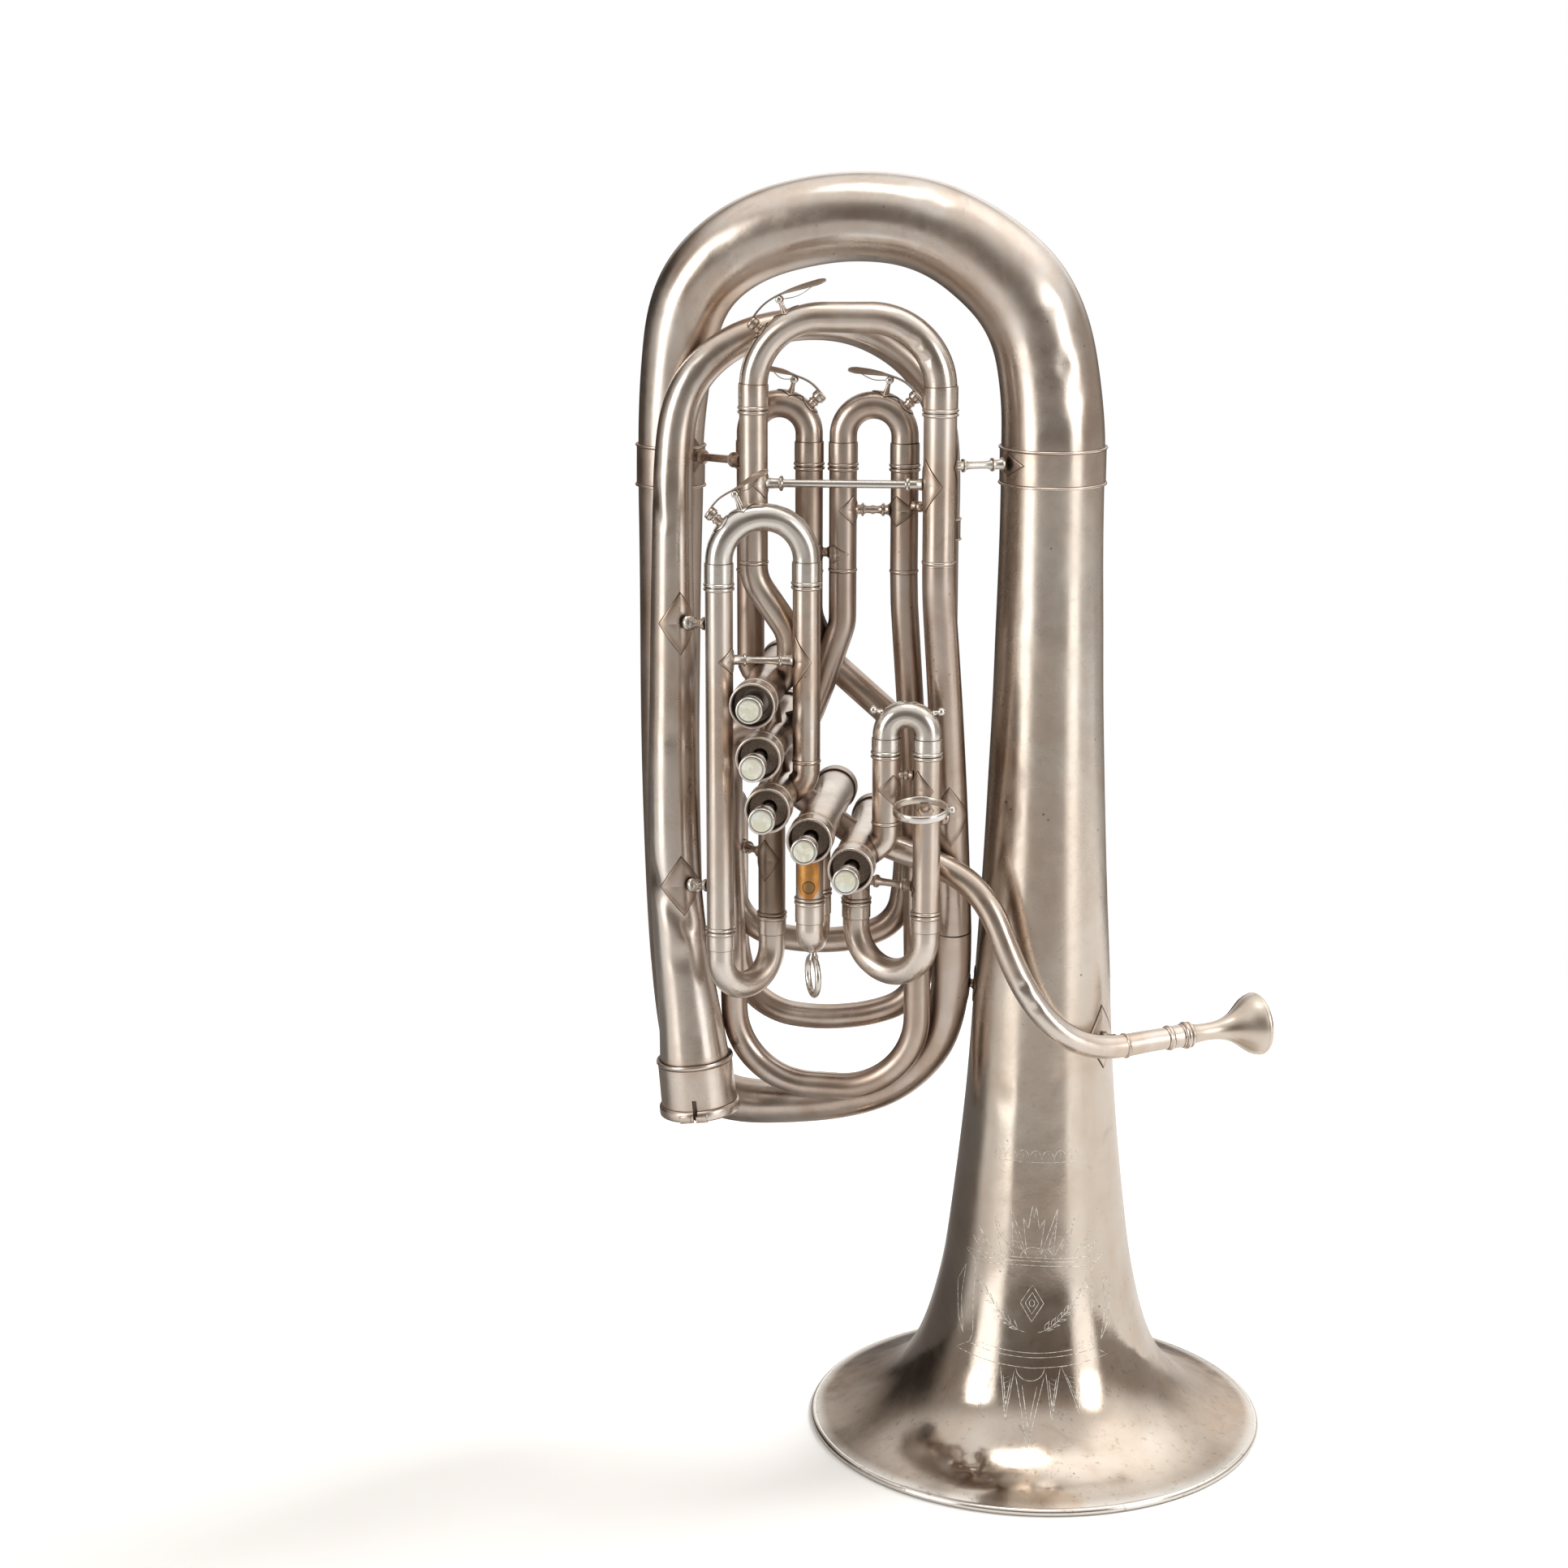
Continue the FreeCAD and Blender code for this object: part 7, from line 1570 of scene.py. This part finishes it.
def block(name, c, ax, ay, az, hx, hy, hz, rnd=0.25):
    """Small rounded block with half sizes along three directions."""
    import bmesh
    bm = bmesh.new()
    bmesh.ops.create_cube(bm, size=2.0)
    for v in bm.verts:
        p = vec(c) + unit(ax) * v.co.x * hx + unit(ay) * v.co.y * hy + unit(az) * v.co.z * hz
        v.co = Vector(p * MM)
    bmesh.ops.bevel(bm, geom=bm.edges[:], offset=rnd * MM, segments=3, affect="EDGES", profile=0.5)
    bmesh.ops.recalc_face_normals(bm, faces=bm.faces)
    me = bpy.data.meshes.new(name)
    bm.to_mesh(me)
    bm.free()
    me.shade_smooth()
    for key in ("dirt_and_shade", "bright"):
        me.attributes.new(key, "FLOAT", "POINT")
    ob = bpy.data.objects.new(name, me)
    bpy.context.scene.collection.objects.link(ob)
    sharp_ends(ob, 60)
    return ob


_side = np.cross(SD, vec(0, -1, 0))
for s in (-1, 1):
    c = SO_ + SD * 32.6 + vec(0, -24.6, 0) + unit(_side) * (s * 5.0)
    put(block("socket_tab_%d" % ((s + 3) // 2), c, _side, (0, 1, 0), SD, 3.2, 1.0, 1.9, 0.45), "frame", ["small_bell_socket"], mat=MAT["silver"])

# ---- thumb ring ----------------------------------------------------------------------------------------
tc = (-67.6, -81.6, 404.7)
prof = [(14.5, 0.5, 0.5), (14.8, 0.1, 0.1), (15.2, 0.0, 0.0), (15.6, 0.1, 0.0), (15.95, 0.5, 0.0), (16.05, 1.4, 0.0), (16.05, 3.2, 0.0), (15.95, 4.1, 0.0), (15.6, 4.5, 0.0), (15.2, 4.6, 0.0), (14.8, 4.5, 0.1), (14.5, 4.1, 0.5), (14.4, 2.3, 0.6)]
ob = lathe("thumb_ring_band", prof, tc, (0, -0.150, 0.9887), seg=96, sharp=70)
put(ob, "frame", ["thumb_ring"], mat=MAT["silver_new"])
post("thumb_ring_stub", (-66.8, -68.0, 407.2), (-66.2, -65.4, 403.4), [(0, 2.4, 0.8), (1.4, 2.1, 0.3), (2.6, 2.3, 0.6), (4.0, 3.0, 0.9)], "frame", "thumb_ring", "silver")
ball("thumb_ring_knob", (-50.2, -75.0, 406.0), 2.5, "frame", "thumb_ring", axis=(1, 0.3, 0))
post("thumb_ring_knob_post", (-53.2, -76.0, 406.6), (-50.2, -75.0, 406.0), [(0, 1.7, 0.7), (0.9, 1.2, 0.2), (1.7, 1.1, 0.1), (3.2, 1.2, 0.5)], "frame", "thumb_ring", "silver_new", 20)

# ---- braces and their foot plates ------------------------------------------------------------------------
BRACES = [
    ("bell_top", (-55.0, -33.6, 598.0), (-27.6, -19.3, 597.6)),
    ("branch_top", (-210.3, -0.5, 596.7), (-176.3, -32.9, 598.9)),
    ("main_long", (-161.9, -38.0, 586.8), (-71.7, -38.0, 587.6)),
    ("third_branch_upper", (-208.6, -34.7, 503.4), (-193.0, -54.9, 507.0)),
    ("third_branch_lower", (-206.6, -38.0, 345.6), (-193.0, -55.1, 350.6)),
    ("third_legs", (-179.1, -60.2, 487.3), (-145.0, -51.9, 486.0)),
    ("fourth_legs", (-112.3, -20.0, 570.0), (-91.9, -20.0, 570.2)),
    ("middle_pair", (-132.0, -20.0, 544.6), (-127.8, -20.0, 544.6)),
    ("fourth_main", (-78.2, -25.4, 573.6), (-70.0, -32.0, 573.2)),
    ("first_legs", (-82.2, -58.0, 421.6), (-73.7, -58.0, 421.6)),
    ("first_lower_legs", (-102.6, -37.2, 352.4), (-72.8, -53.9, 354.0)),
    ("right_branch_first", (-58.6, -35.0, 391.0), (-63.4, -51.0, 392.5)),
    ("loop_third", (-181.3, -2.0, 361.0), (-165.2, -24.2, 363.4)),
    ("mouthpipe_bell", (43.8, -24.2, 255.5), (38.2, -20.2, 255.6)),
    ("branch_bell", (-43.2, -4.9, 281.2), (-40.9, -4.6, 280.8)),
]
for name, a, b in BRACES:
    a, b = vec(a), vec(b)
    L = np.linalg.norm(b - a)
    d = unit(b - a)
    if L > 40:
        e = 9.0
        rows = [(0, 3.0, 0.9), (0.8, 2.4, 0.3), (e - 4.5, 2.05, 0.1), (e - 1.7, 2.0, 0.5), (e - 1.4, 2.5, 0.1), (e - 0.9, 3.1, 0.0), (e + 0.1, 3.15, 0.0), (e + 0.6, 2.4, 0.2), (e + 0.9, 1.7, 0.6),
                (e + 2, 1.62, 0.1)]
        rows += [(L * f, 1.62, 0.0) for f in (0.25, 0.4, 0.6, 0.75)]
        rows += [(L - s, r, q) for s, r, q in reversed(rows[:10])]
    elif L > 12:
        m = L / 2
        half = [(0, 3.1, 0.95), (0.7, 2.5, 0.4), (1.6, 2.05, 0.1), (m * 0.42 - 0.9, 1.9, 0.4), (m * 0.42 - 0.5, 2.7, 0.1), (m * 0.42 + 0.3, 2.75, 0.0), (m * 0.42 + 0.8, 2.0, 0.5), (m * 0.62, 1.6, 0.2)]
        rows = half + [(m * 0.8, 1.5, 0.1), (m, 1.5 if L > 24 else 1.9, 0.1)] + [(L - m * 0.8, 1.5, 0.1)] + [(L - s, r, q) for s, r, q in reversed(half)]
    elif L > 7:
        rows = [(0, 2.8, 0.95), (1.0, 2.2, 0.5), (L * 0.3, 1.9, 0.3), (L * 0.42, 2.7, 0.1), (L * 0.58, 2.7, 0.1), (L * 0.7, 1.9, 0.3), (L - 1.0, 2.2, 0.5), (L, 2.8, 0.95)]
    else:
        rows = [(0, 3.0, 0.95), (L * 0.3, 2.3, 0.7), (L * 0.7, 2.3, 0.7), (L, 3.0, 0.95)]
    fat = 1.42 if L > 12 else 1.15
    ob = solid_rod("brace_" + name, a - d * 0.4, b + d * 0.4, [(s_, r_ * fat, q_) for s_, r_, q_ in rows], 32)
    put(ob, "frame", ["braces"], mat=MAT["silver_new" if name in ("bell_top", "main_long", "third_legs", "third_branch_upper", "third_branch_lower", "mouthpipe_bell") else "silver_old"])

Z = (0, 0, 1)
# name, point on the tube's axis, axis, direction of the plate, tube radius, half length, half width, finish
FLANGES = [
    ("bell_top_tube", (-62.5, -38, 598), Z, (31, 15, 0), 9.5, 16.0, 9.0, "silver"),
    ("bell_top_ferrule", (0, 0, 597.6), Z, (-28, -20.5, 0), 30.9, 7.0, 13.5, "silver_old"),
    ("branch_top_tube", (-169.8, -38, 599), Z, (-39, 36, 0), 8.2, 8.0, 7.0, "silver_old"),
    ("branch_top_bow", (-226, 12, 597), Z, (36, -28, 0), 19.4, 11.0, 10.0, "silver_dark"),
    ("main_long_left", (-169.8, -38, 586.8), Z, (1, -0.55, 0), 8.2, 8.5, 9.0, "silver"),
    ("main_long_right", (-62.5, -38, 587.6), Z, (-1, -0.75, 0), 9.5, 15.5, 11.5, "silver"),
    ("third_upper_branch", (-220.6, -22, 502.4), Z, (18, -30, 0), 12.9, 19.0, 13.5, "silver"),
    ("third_upper_leg", (-186.6, -62, 508), Z, (-22, 26, 0), 8.0, 9.0, 7.0, "silver"),
    ("third_lower_branch", (-219.4, -24.6, 344.5), unit(vec(-3.0, 0, 60)), (16, -34, 0), 15.35, 18.5, 14.0, "silver_old"),
    ("third_lower_leg", (-186.6, -62, 351.6), Z, (-20, 24, 0), 8.0, 9.0, 7.0, "silver"),
    ("third_legs_left", (-186.6, -62, 487.3), Z, (1, -0.35, 0), 8.0, 8.0, 9.5, "silver"),
    ("third_legs_right", (-137.4, -50, 486), Z, (-1, -0.95, 0), 8.0, 15.5, 10.5, "silver"),
    ("fourth_legs_left", (-120, -20, 570), Z, (1, -0.7, 0), 8.0, 9.0, 9.5, "silver_old"),
    ("fourth_legs_right", (-84.2, -20, 570.2), Z, (-0.55, -1, 0), 8.0, 9.0, 12.0, "silver_dark"),
    ("middle_pair_left", (-139.8, -20, 544.6), Z, (1, -0.6, 0), 8.0, 5.5, 8.5, "silver_old"),
    ("middle_pair_right", (-120, -20, 544.6), Z, (-0.8, -1, 0), 8.0, 5.5, 10.0, "silver_old"),
    ("first_legs_left", (-89.9, -58, 414.0), Z, (0.75, -1, 0), 8.0, 9.0, 9.5, "silver_old"),
    ("first_legs_right", (-66.0, -58, 414.0), Z, (-0.8, -1, 0), 8.0, 12.0, 10.0, "silver_old"),
    ("first_lower_right", (-66.0, -58, 354), Z, (-1, 0.35, 0), 8.0, 7.5, 8.5, "silver_old"),
    ("first_lower_left", (-109.5, -33, 352.4), Z, (1, -0.55, 0), 8.0, 7.0, 7.0, "silver_dark"),
    ("right_branch_tall", (-55.6, -20.8, 391.5), unit(vec(-1.7, -6.0, 50.7)), (0.10, -1, 0), 10.65, 19.5, 13.0, "silver_old"),
    ("lower_third_dark", (-160.5, -30, 362), Z, (-0.45, -1, 0), 8.0, 13.0, 9.5, "silver_dark"),
    ("branch_bell_tube", (-55.2, -3.6, 281.2), unit(vec(2.0, -7.0, 26)), (1, -0.45, 0), 11.5, 11.5, 10.5, "silver_old"),
    ("thumb_ring_foot", (-66.0, -58, 402.5), Z, (0.0, -1, 0), 8.0, 7.0, 5.0, "silver"),
]
for name, c, ax, ft, r, a, b, m in FLANGES:
    ob = flange("plate_" + name, c, ax, ft, r, a, b, 0.6, power=1.02)
    put(ob, "frame", slot="silver_plate", mat=MAT[m])


def bell_plate(name, phi, z, a, b, mat):
    """Diamond plate lying on the bell."""
    prof = [(0.0, 0.65), (0.5, 0.65), (0.85, 0.6), (0.97, 0.4), (1.0, 0.0), (1.0, -0.4)]
    n = 64
    V, D, idx = [], [], []
    for q, h in prof:
        row = []
        for k in range(1 if q == 0 else n):
            th = 2 * math.pi * k / n
            x = a * q * math.copysign(abs(math.cos(th)) ** 1.95, math.cos(th))
            y = b * q * math.copysign(abs(math.sin(th)) ** 1.95, math.sin(th))
            zz = z + x
            r = np.interp(-zz, -BELL_RZ[:, 1], BELL_RZ[:, 0])
            p, nn = bell_point(phi + y / r, zz)
            row.append(len(V))
            V.append(p + nn * (h + bell_wave(p)))
            # dark rim of the plate: painted shadow along its edge
            D.append(0.08 if q < 0.9 else 1.0)
        idx.append(row if q else row * n)
    F = []
    for i in range(len(prof) - 1):
        for j in range(n):
            k = (j + 1) % n
            ff = []
            for v in (idx[i][j], idx[i][k], idx[i + 1][k], idx[i + 1][j]):
                if v not in ff:
                    ff.append(v)
            if len(ff) > 2:
                F.append(tuple(ff))
    F.append(tuple(reversed(idx[-1])))
    ob = make(name, V, F, D)
    fix_normals(ob)
    sharp_ends(ob, 45)
    put(ob, "frame", slot="silver_plate", mat=mat)


bell_plate("plate_mouthpipe_bell", math.atan2(-20.5, 38.6), 255.6, 20.0, 15.0, MAT["silver"])
bell_plate("plate_branch_bell", math.atan2(-4.7, -41), 281.0, 11.5, 10.0, MAT["silver_old"])


# ---- guard strips along the outer edges --------------------------------------------------------------------
def guard(name, line, rad, s0, s1, side, half_w=1.5, high=1.1, back=55.0, mat="silver_old", ref=None):
    """Half-round strip soldered along a tube. side gives the outward direction at a point of the line; back turns it towards the rear."""
    S = np.linspace(s0, s1, max(12, int((s1 - s0) / 3.5)))
    P, T, K = line.at(S)
    V, D = [], []
    m = 9
    n = len(S)
    for i in range(n):
        o = vec(side(P[i]))
        o = unit(o - T[i] * (o @ T[i]))
        w = np.cross(T[i], o)
        if w[1] < 0:
            w = -w
        a = math.radians(back)
        dirn = unit(o * math.cos(a) + w * math.sin(a))
        tang = unit(np.cross(T[i], dirn))
        r = float(rad(S[i]))
        end = smoothstep(min(i, n - 1 - i) / 5.0)
        hw, hh = half_w * (0.25 + 0.75 * end), high * (0.3 + 0.7 * end)
        for j in range(m):
            f = math.pi * j / (m - 1)
            V.append(P[i] + dirn * (r + hh * math.sin(f) - 0.05) + tang * (hw * math.cos(f)))
            # dark edges of the strip: solder line with painted shade in the crease
            D.append(0.9 if j in (0, m - 1) else 0.1)
        V.append(P[i] + dirn * (r - 0.8))
        D.append(0.9)
    mm = m + 1
    F = grid_faces(n, mm, 0)
    F += [tuple(range(mm)), tuple((n - 1) * mm + mm - 1 - j for j in range(mm))]
    ob = make(name, V, F, D)
    fix_normals(ob)
    sharp_ends(ob, 50)
    put(ob, "frame", slot="silver_plate", mat=MAT[mat])


_bc = vec(-112, 6, 640)
guard("guard_main_bow", bow_line, bow_rad, 78, bow_line.length - 50, lambda p: vec(p[0] + 112, 0, (p[2] - 610) * 1.1), 2.6, 1.3, 40.0, "silver")
guard("guard_big_branch", bb_line, bb_rad, 34, bb_line.length - 40, lambda p: vec(-1, 0, 0), 1.3, 1.5, -62.0 + 90, "silver_old")
guard("guard_bottom_bow", bot_line, bot_rad, 40, bot_line.length - 120, lambda p: vec(p[0] + 130, 0, (p[2] - 300)), 1.5, 1.2, 12.0, "silver_dark")
guard("guard_small_branch", sb_line, sb_rad, 175, 470, lambda p: vec(-1, 0, 0.0), 0.9, 0.7, 20.0, "silver_old")


# ---- painted shade with tarnish where neighbouring parts close in -------------------------------------------
def occlusion_shade_and_tarnish():
    """Adds painted shade, with tarnish, to the darkening attribute at each tube's shut-in places: rays from a coarse
    grid of points that hit something near.
    """
    verts, polys, base = [], [], 0
    for o in PIECES:
        me = o.data
        n = len(me.vertices)
        co = np.empty(n * 3, np.float32)
        me.vertices.foreach_get("co", co)
        verts.append(co.reshape(-1, 3))
        k = len(me.polygons)
        step = 1
        for p in me.polygons:
            polys.append([base + i for i in p.vertices])
        base += n
    tree = BVHTree.FromPolygons(np.concatenate(verts).tolist(), polys)
    rng = np.random.default_rng(7)
    dirs = rng.normal(size=(18, 3))
    dirs /= np.linalg.norm(dirs, axis=1)[:, None]
    reach = 0.034
    for ob, first, n, seg in GRIDS:
        me = ob.data
        co = np.empty(len(me.vertices) * 3, np.float32)
        me.vertices.foreach_get("co", co)
        co = co.reshape(-1, 3)[:n * seg].reshape(n, seg, 3)
        ii = np.unique(np.concatenate([np.arange(0, n, 3), [n - 1]]))
        jj = np.arange(0, seg, max(1, seg // 16))
        axis = co.mean(axis=1)
        occ = np.zeros((len(ii), len(jj)))
        for a, i in enumerate(ii):
            for b, j in enumerate(jj):
                p = co[i, j]
                nn = p - axis[i]
                nn = nn / max(1e-9, np.linalg.norm(nn))
                org = Vector((p + nn * 0.0012).tolist())
                hit = 0.0
                for d in dirs:
                    dd = d if d @ nn > 0 else -d
                    dd = dd + nn * 0.4
                    h = tree.ray_cast(org, Vector(dd.tolist()), reach)
                    if h[0] is not None:
                        hit += 1.0 - 0.6 * h[3] / reach
                occ[a, b] = hit / len(dirs)
        # back to the full grid
        full = np.zeros((n, len(jj)))
        for b in range(len(jj)):
            full[:, b] = np.interp(np.arange(n), ii, occ[:, b])
        wide = np.zeros((n, seg))
        jx = np.concatenate([jj, [seg]])
        for i in range(n):
            wide[i] = np.interp(np.arange(seg), jx, np.concatenate([full[i], full[i, :1]]))
        at = me.attributes["dirt_and_shade"].data
        v = np.empty(len(me.vertices), np.float32)
        at.foreach_get("value", v)
        # painted shade: occlusion raises the darkening value, which darkens the colour
        v[:n * seg] = np.clip(v[:n * seg] + 0.95 * wide.ravel() ** 1.25, 0, 1)
        at.foreach_set("value", v)


occlusion_shade_and_tarnish()

# ---- floor, light, camera -------------------------------------------------------------------------------------
def floor_mat():
    m = bpy.data.materials.new("studio_floor")
    t, b = nt(m)
    g = G(t)
    co = g.coords()
    c = g.mix(g.ramp(g.noise(co, 1.2, 2.0), 0.3, 0.7), (0.86, 0.855, 0.85), (0.885, 0.88, 0.875))
    lpth = g.n("ShaderNodeLightPath")
    sp = g.n("ShaderNodeSeparateXYZ")
    g.link(co, sp.inputs[0])
    # painted reflection: for glossy rays only, the floor turns dark, most at the left and back, so the metal reflects a
    # darker floor
    shade = g.math("MULTIPLY", g.ramp(sp.outputs["X"], -0.04, -0.24), g.ramp(sp.outputs["Y"], -0.25, 0.02))
    shade = g.math("ADD", g.math("MULTIPLY", shade, 0.56), 0.34)
    c = g.mix(g.math("MULTIPLY", shade, lpth.outputs["Is Glossy Ray"]), c, (0.035, 0.030, 0.026))
    g.link(c, b.inputs["Base Color"])
    b.inputs["Roughness"].default_value = 0.55
    b.inputs["Specular IOR Level"].default_value = 0.25
    return m


def stage():
    """The white table the instrument stands on; it ends where the pale room begins."""
    V, F = [], []
    xs, ys = np.linspace(-2.6, 2.6, 14), np.linspace(-0.85, 0.93, 8)
    for y in ys:
        for x in xs:
            V.append((x * 1000, y * 1000, -0.05))
    m = len(xs)
    for i in range(len(ys) - 1):
        for j in range(m - 1):
            a = i * m + j
            F.append((a, a + 1, a + m + 1, a + m))
    ob = make("studio_table", V, F)
    ob.data.materials.append(floor_mat())


stage()


def area(name, loc, target, size, size_y, power, color=(1, 1, 1), spread=180):
    L = bpy.data.lights.new(name, "AREA")
    L.shape = "RECTANGLE"
    L.size, L.size_y = size, size_y
    L.energy = power
    L.color = color
    L.spread = math.radians(spread)
    o = bpy.data.objects.new(name, L)
    bpy.context.scene.collection.objects.link(o)
    o.location = loc
    d = Vector(target) - Vector(loc)
    o.rotation_euler = d.to_track_quat("-Z", "Y").to_euler()
    return o


key = area("key_right_back", (1.9, 1.5, 3.2), (-0.10, 0.0, 0.0), 1.5, 1.35, 132, (1.0, 0.995, 0.985))
key.visible_glossy = False
area("left_box", (-1.75, -1.45, 1.12), (-0.08, 0, 0.30), 0.66, 0.85, 9.5, (1.0, 0.975, 0.94))
area("right_box", (1.85, -1.2, 1.12), (0, 0, 0.30), 0.60, 0.85, 8.0, (1.0, 0.98, 0.95))
area("top", (-0.16, -0.22, 2.3), (-0.05, 0, 0.3), 0.75, 0.5, 4.2, (1.0, 0.95, 0.88))

w = bpy.data.worlds.new("studio")
bpy.context.scene.world = w
w.use_nodes = True
t = w.node_tree
t.nodes.clear()
g = G(t)
out = g.n("ShaderNodeOutputWorld")
bgc = g.n("ShaderNodeBackground")
bgl = g.n("ShaderNodeBackground")
mixs = g.n("ShaderNodeMixShader")
lp = g.n("ShaderNodeLightPath")
tc = g.n("ShaderNodeTexCoord")
sep = g.n("ShaderNodeSeparateXYZ")
g.link(tc.outputs["Generated"], sep.inputs[0])
zz = sep.outputs["Z"]
phi = g.math("ARCTAN2", sep.outputs["X"], g.math("MULTIPLY", sep.outputs["Y"], -1.0))   # 0 towards the lens, negative to the left


def sector(c, half, soft):
    return g.ramp(g.math("ABSOLUTE", g.math("SUBTRACT", phi, c)), half - soft, half + soft, 1.0, 0.0)


aphi = g.math("ABSOLUTE", phi)
# dim room in front, greyer at the sides, white room behind, a dark case at the left behind
lum = g.ramp(aphi, 0.45, 1.35, 0.17, 0.36)
back = g.ramp(aphi, 1.75, 2.15)
lum = g.math("ADD", lum, g.math("MULTIPLY", back, 0.02))
case = g.math("MULTIPLY", sector(-2.28, 0.62, 0.20), g.ramp(zz, 0.45, 0.75, 1.0, 0.0))
lum = g.math("MULTIPLY", lum, g.math("SUBTRACT", 1.0, g.math("MULTIPLY", case, 0.88)))
up = g.ramp(zz, 0.52, 0.82)
lum = g.math("ADD", lum, g.math("MULTIPLY", up, 0.58))
low = g.ramp(zz, -0.03, -0.22, 0.0, 1.0)
lum = g.math("ADD", lum, g.math("MULTIPLY", g.math("MULTIPLY", low, g.ramp(aphi, 0.9, 1.6, 1.0, 0.2)), 0.42))
lum = g.math("ADD", lum, g.math("MULTIPLY", g.ramp(zz, 0.30, 0.60), 0.12))
el = g.math("MULTIPLY", g.ramp(zz, -0.30, -0.16), g.ramp(zz, 0.45, 0.66, 1.0, 0.0))
box = g.math("ADD", g.math("MULTIPLY", sector(-0.84, 0.22, 0.08), 1.85), g.math("MULTIPLY", sector(0.98, 0.20, 0.08), 1.32))
lum = g.math("ADD", lum, g.math("MULTIPLY", box, el))
lum = g.math("ADD", lum, g.math("MULTIPLY", g.math("MULTIPLY", g.math("MULTIPLY", g.ramp(phi, 0.9, 1.5), g.ramp(phi, 3.05, 2.2)), g.ramp(zz, 0.25, 0.55)), 0.62))
# straight behind: dark below, a bright band above the horizon
behind = g.ramp(aphi, 2.3, 2.85)
lum = g.math("MULTIPLY", lum, g.math("SUBTRACT", 1.0, g.math("MULTIPLY", g.math("MULTIPLY", behind, g.ramp(zz, 0.08, -0.02)), 0.55)))
lum = g.math("ADD", lum, g.math("MULTIPLY", g.math("MULTIPLY", behind, g.math("MULTIPLY", g.ramp(zz, 0.09, 0.19), g.ramp(zz, 0.55, 0.42))), 0.85))
tint = g.mix(g.ramp(lum, 0.05, 0.8), (1.0, 0.84, 0.71), (1.0, 0.975, 0.94))
g.link(tint, bgl.inputs[0])
g.link(lum, bgl.inputs[1])
bgc.inputs[0].default_value = (1, 1, 1, 1)
bgc.inputs[1].default_value = 1.0
g.link(lp.outputs["Is Camera Ray"], mixs.inputs[0])
g.link(bgl.outputs[0], mixs.inputs[1])
g.link(bgc.outputs[0], mixs.inputs[2])
g.link(mixs.outputs[0], out.inputs[0])

sc = bpy.context.scene
sc.view_settings.view_transform = "Standard"
sc.view_settings.look = "None"
sc.view_settings.exposure = 0.0

cam = bpy.data.cameras.new("camera")
cam.lens = 70
cam.sensor_width = 36
cam.clip_start = 0.05
cam.clip_end = 50
co = bpy.data.objects.new("camera", cam)
co.location = (0.0771, -1.7663, 0.8296)
co.rotation_euler = (math.radians(76.442), 0, math.radians(7.555))
sc.collection.objects.link(co)
sc.camera = co
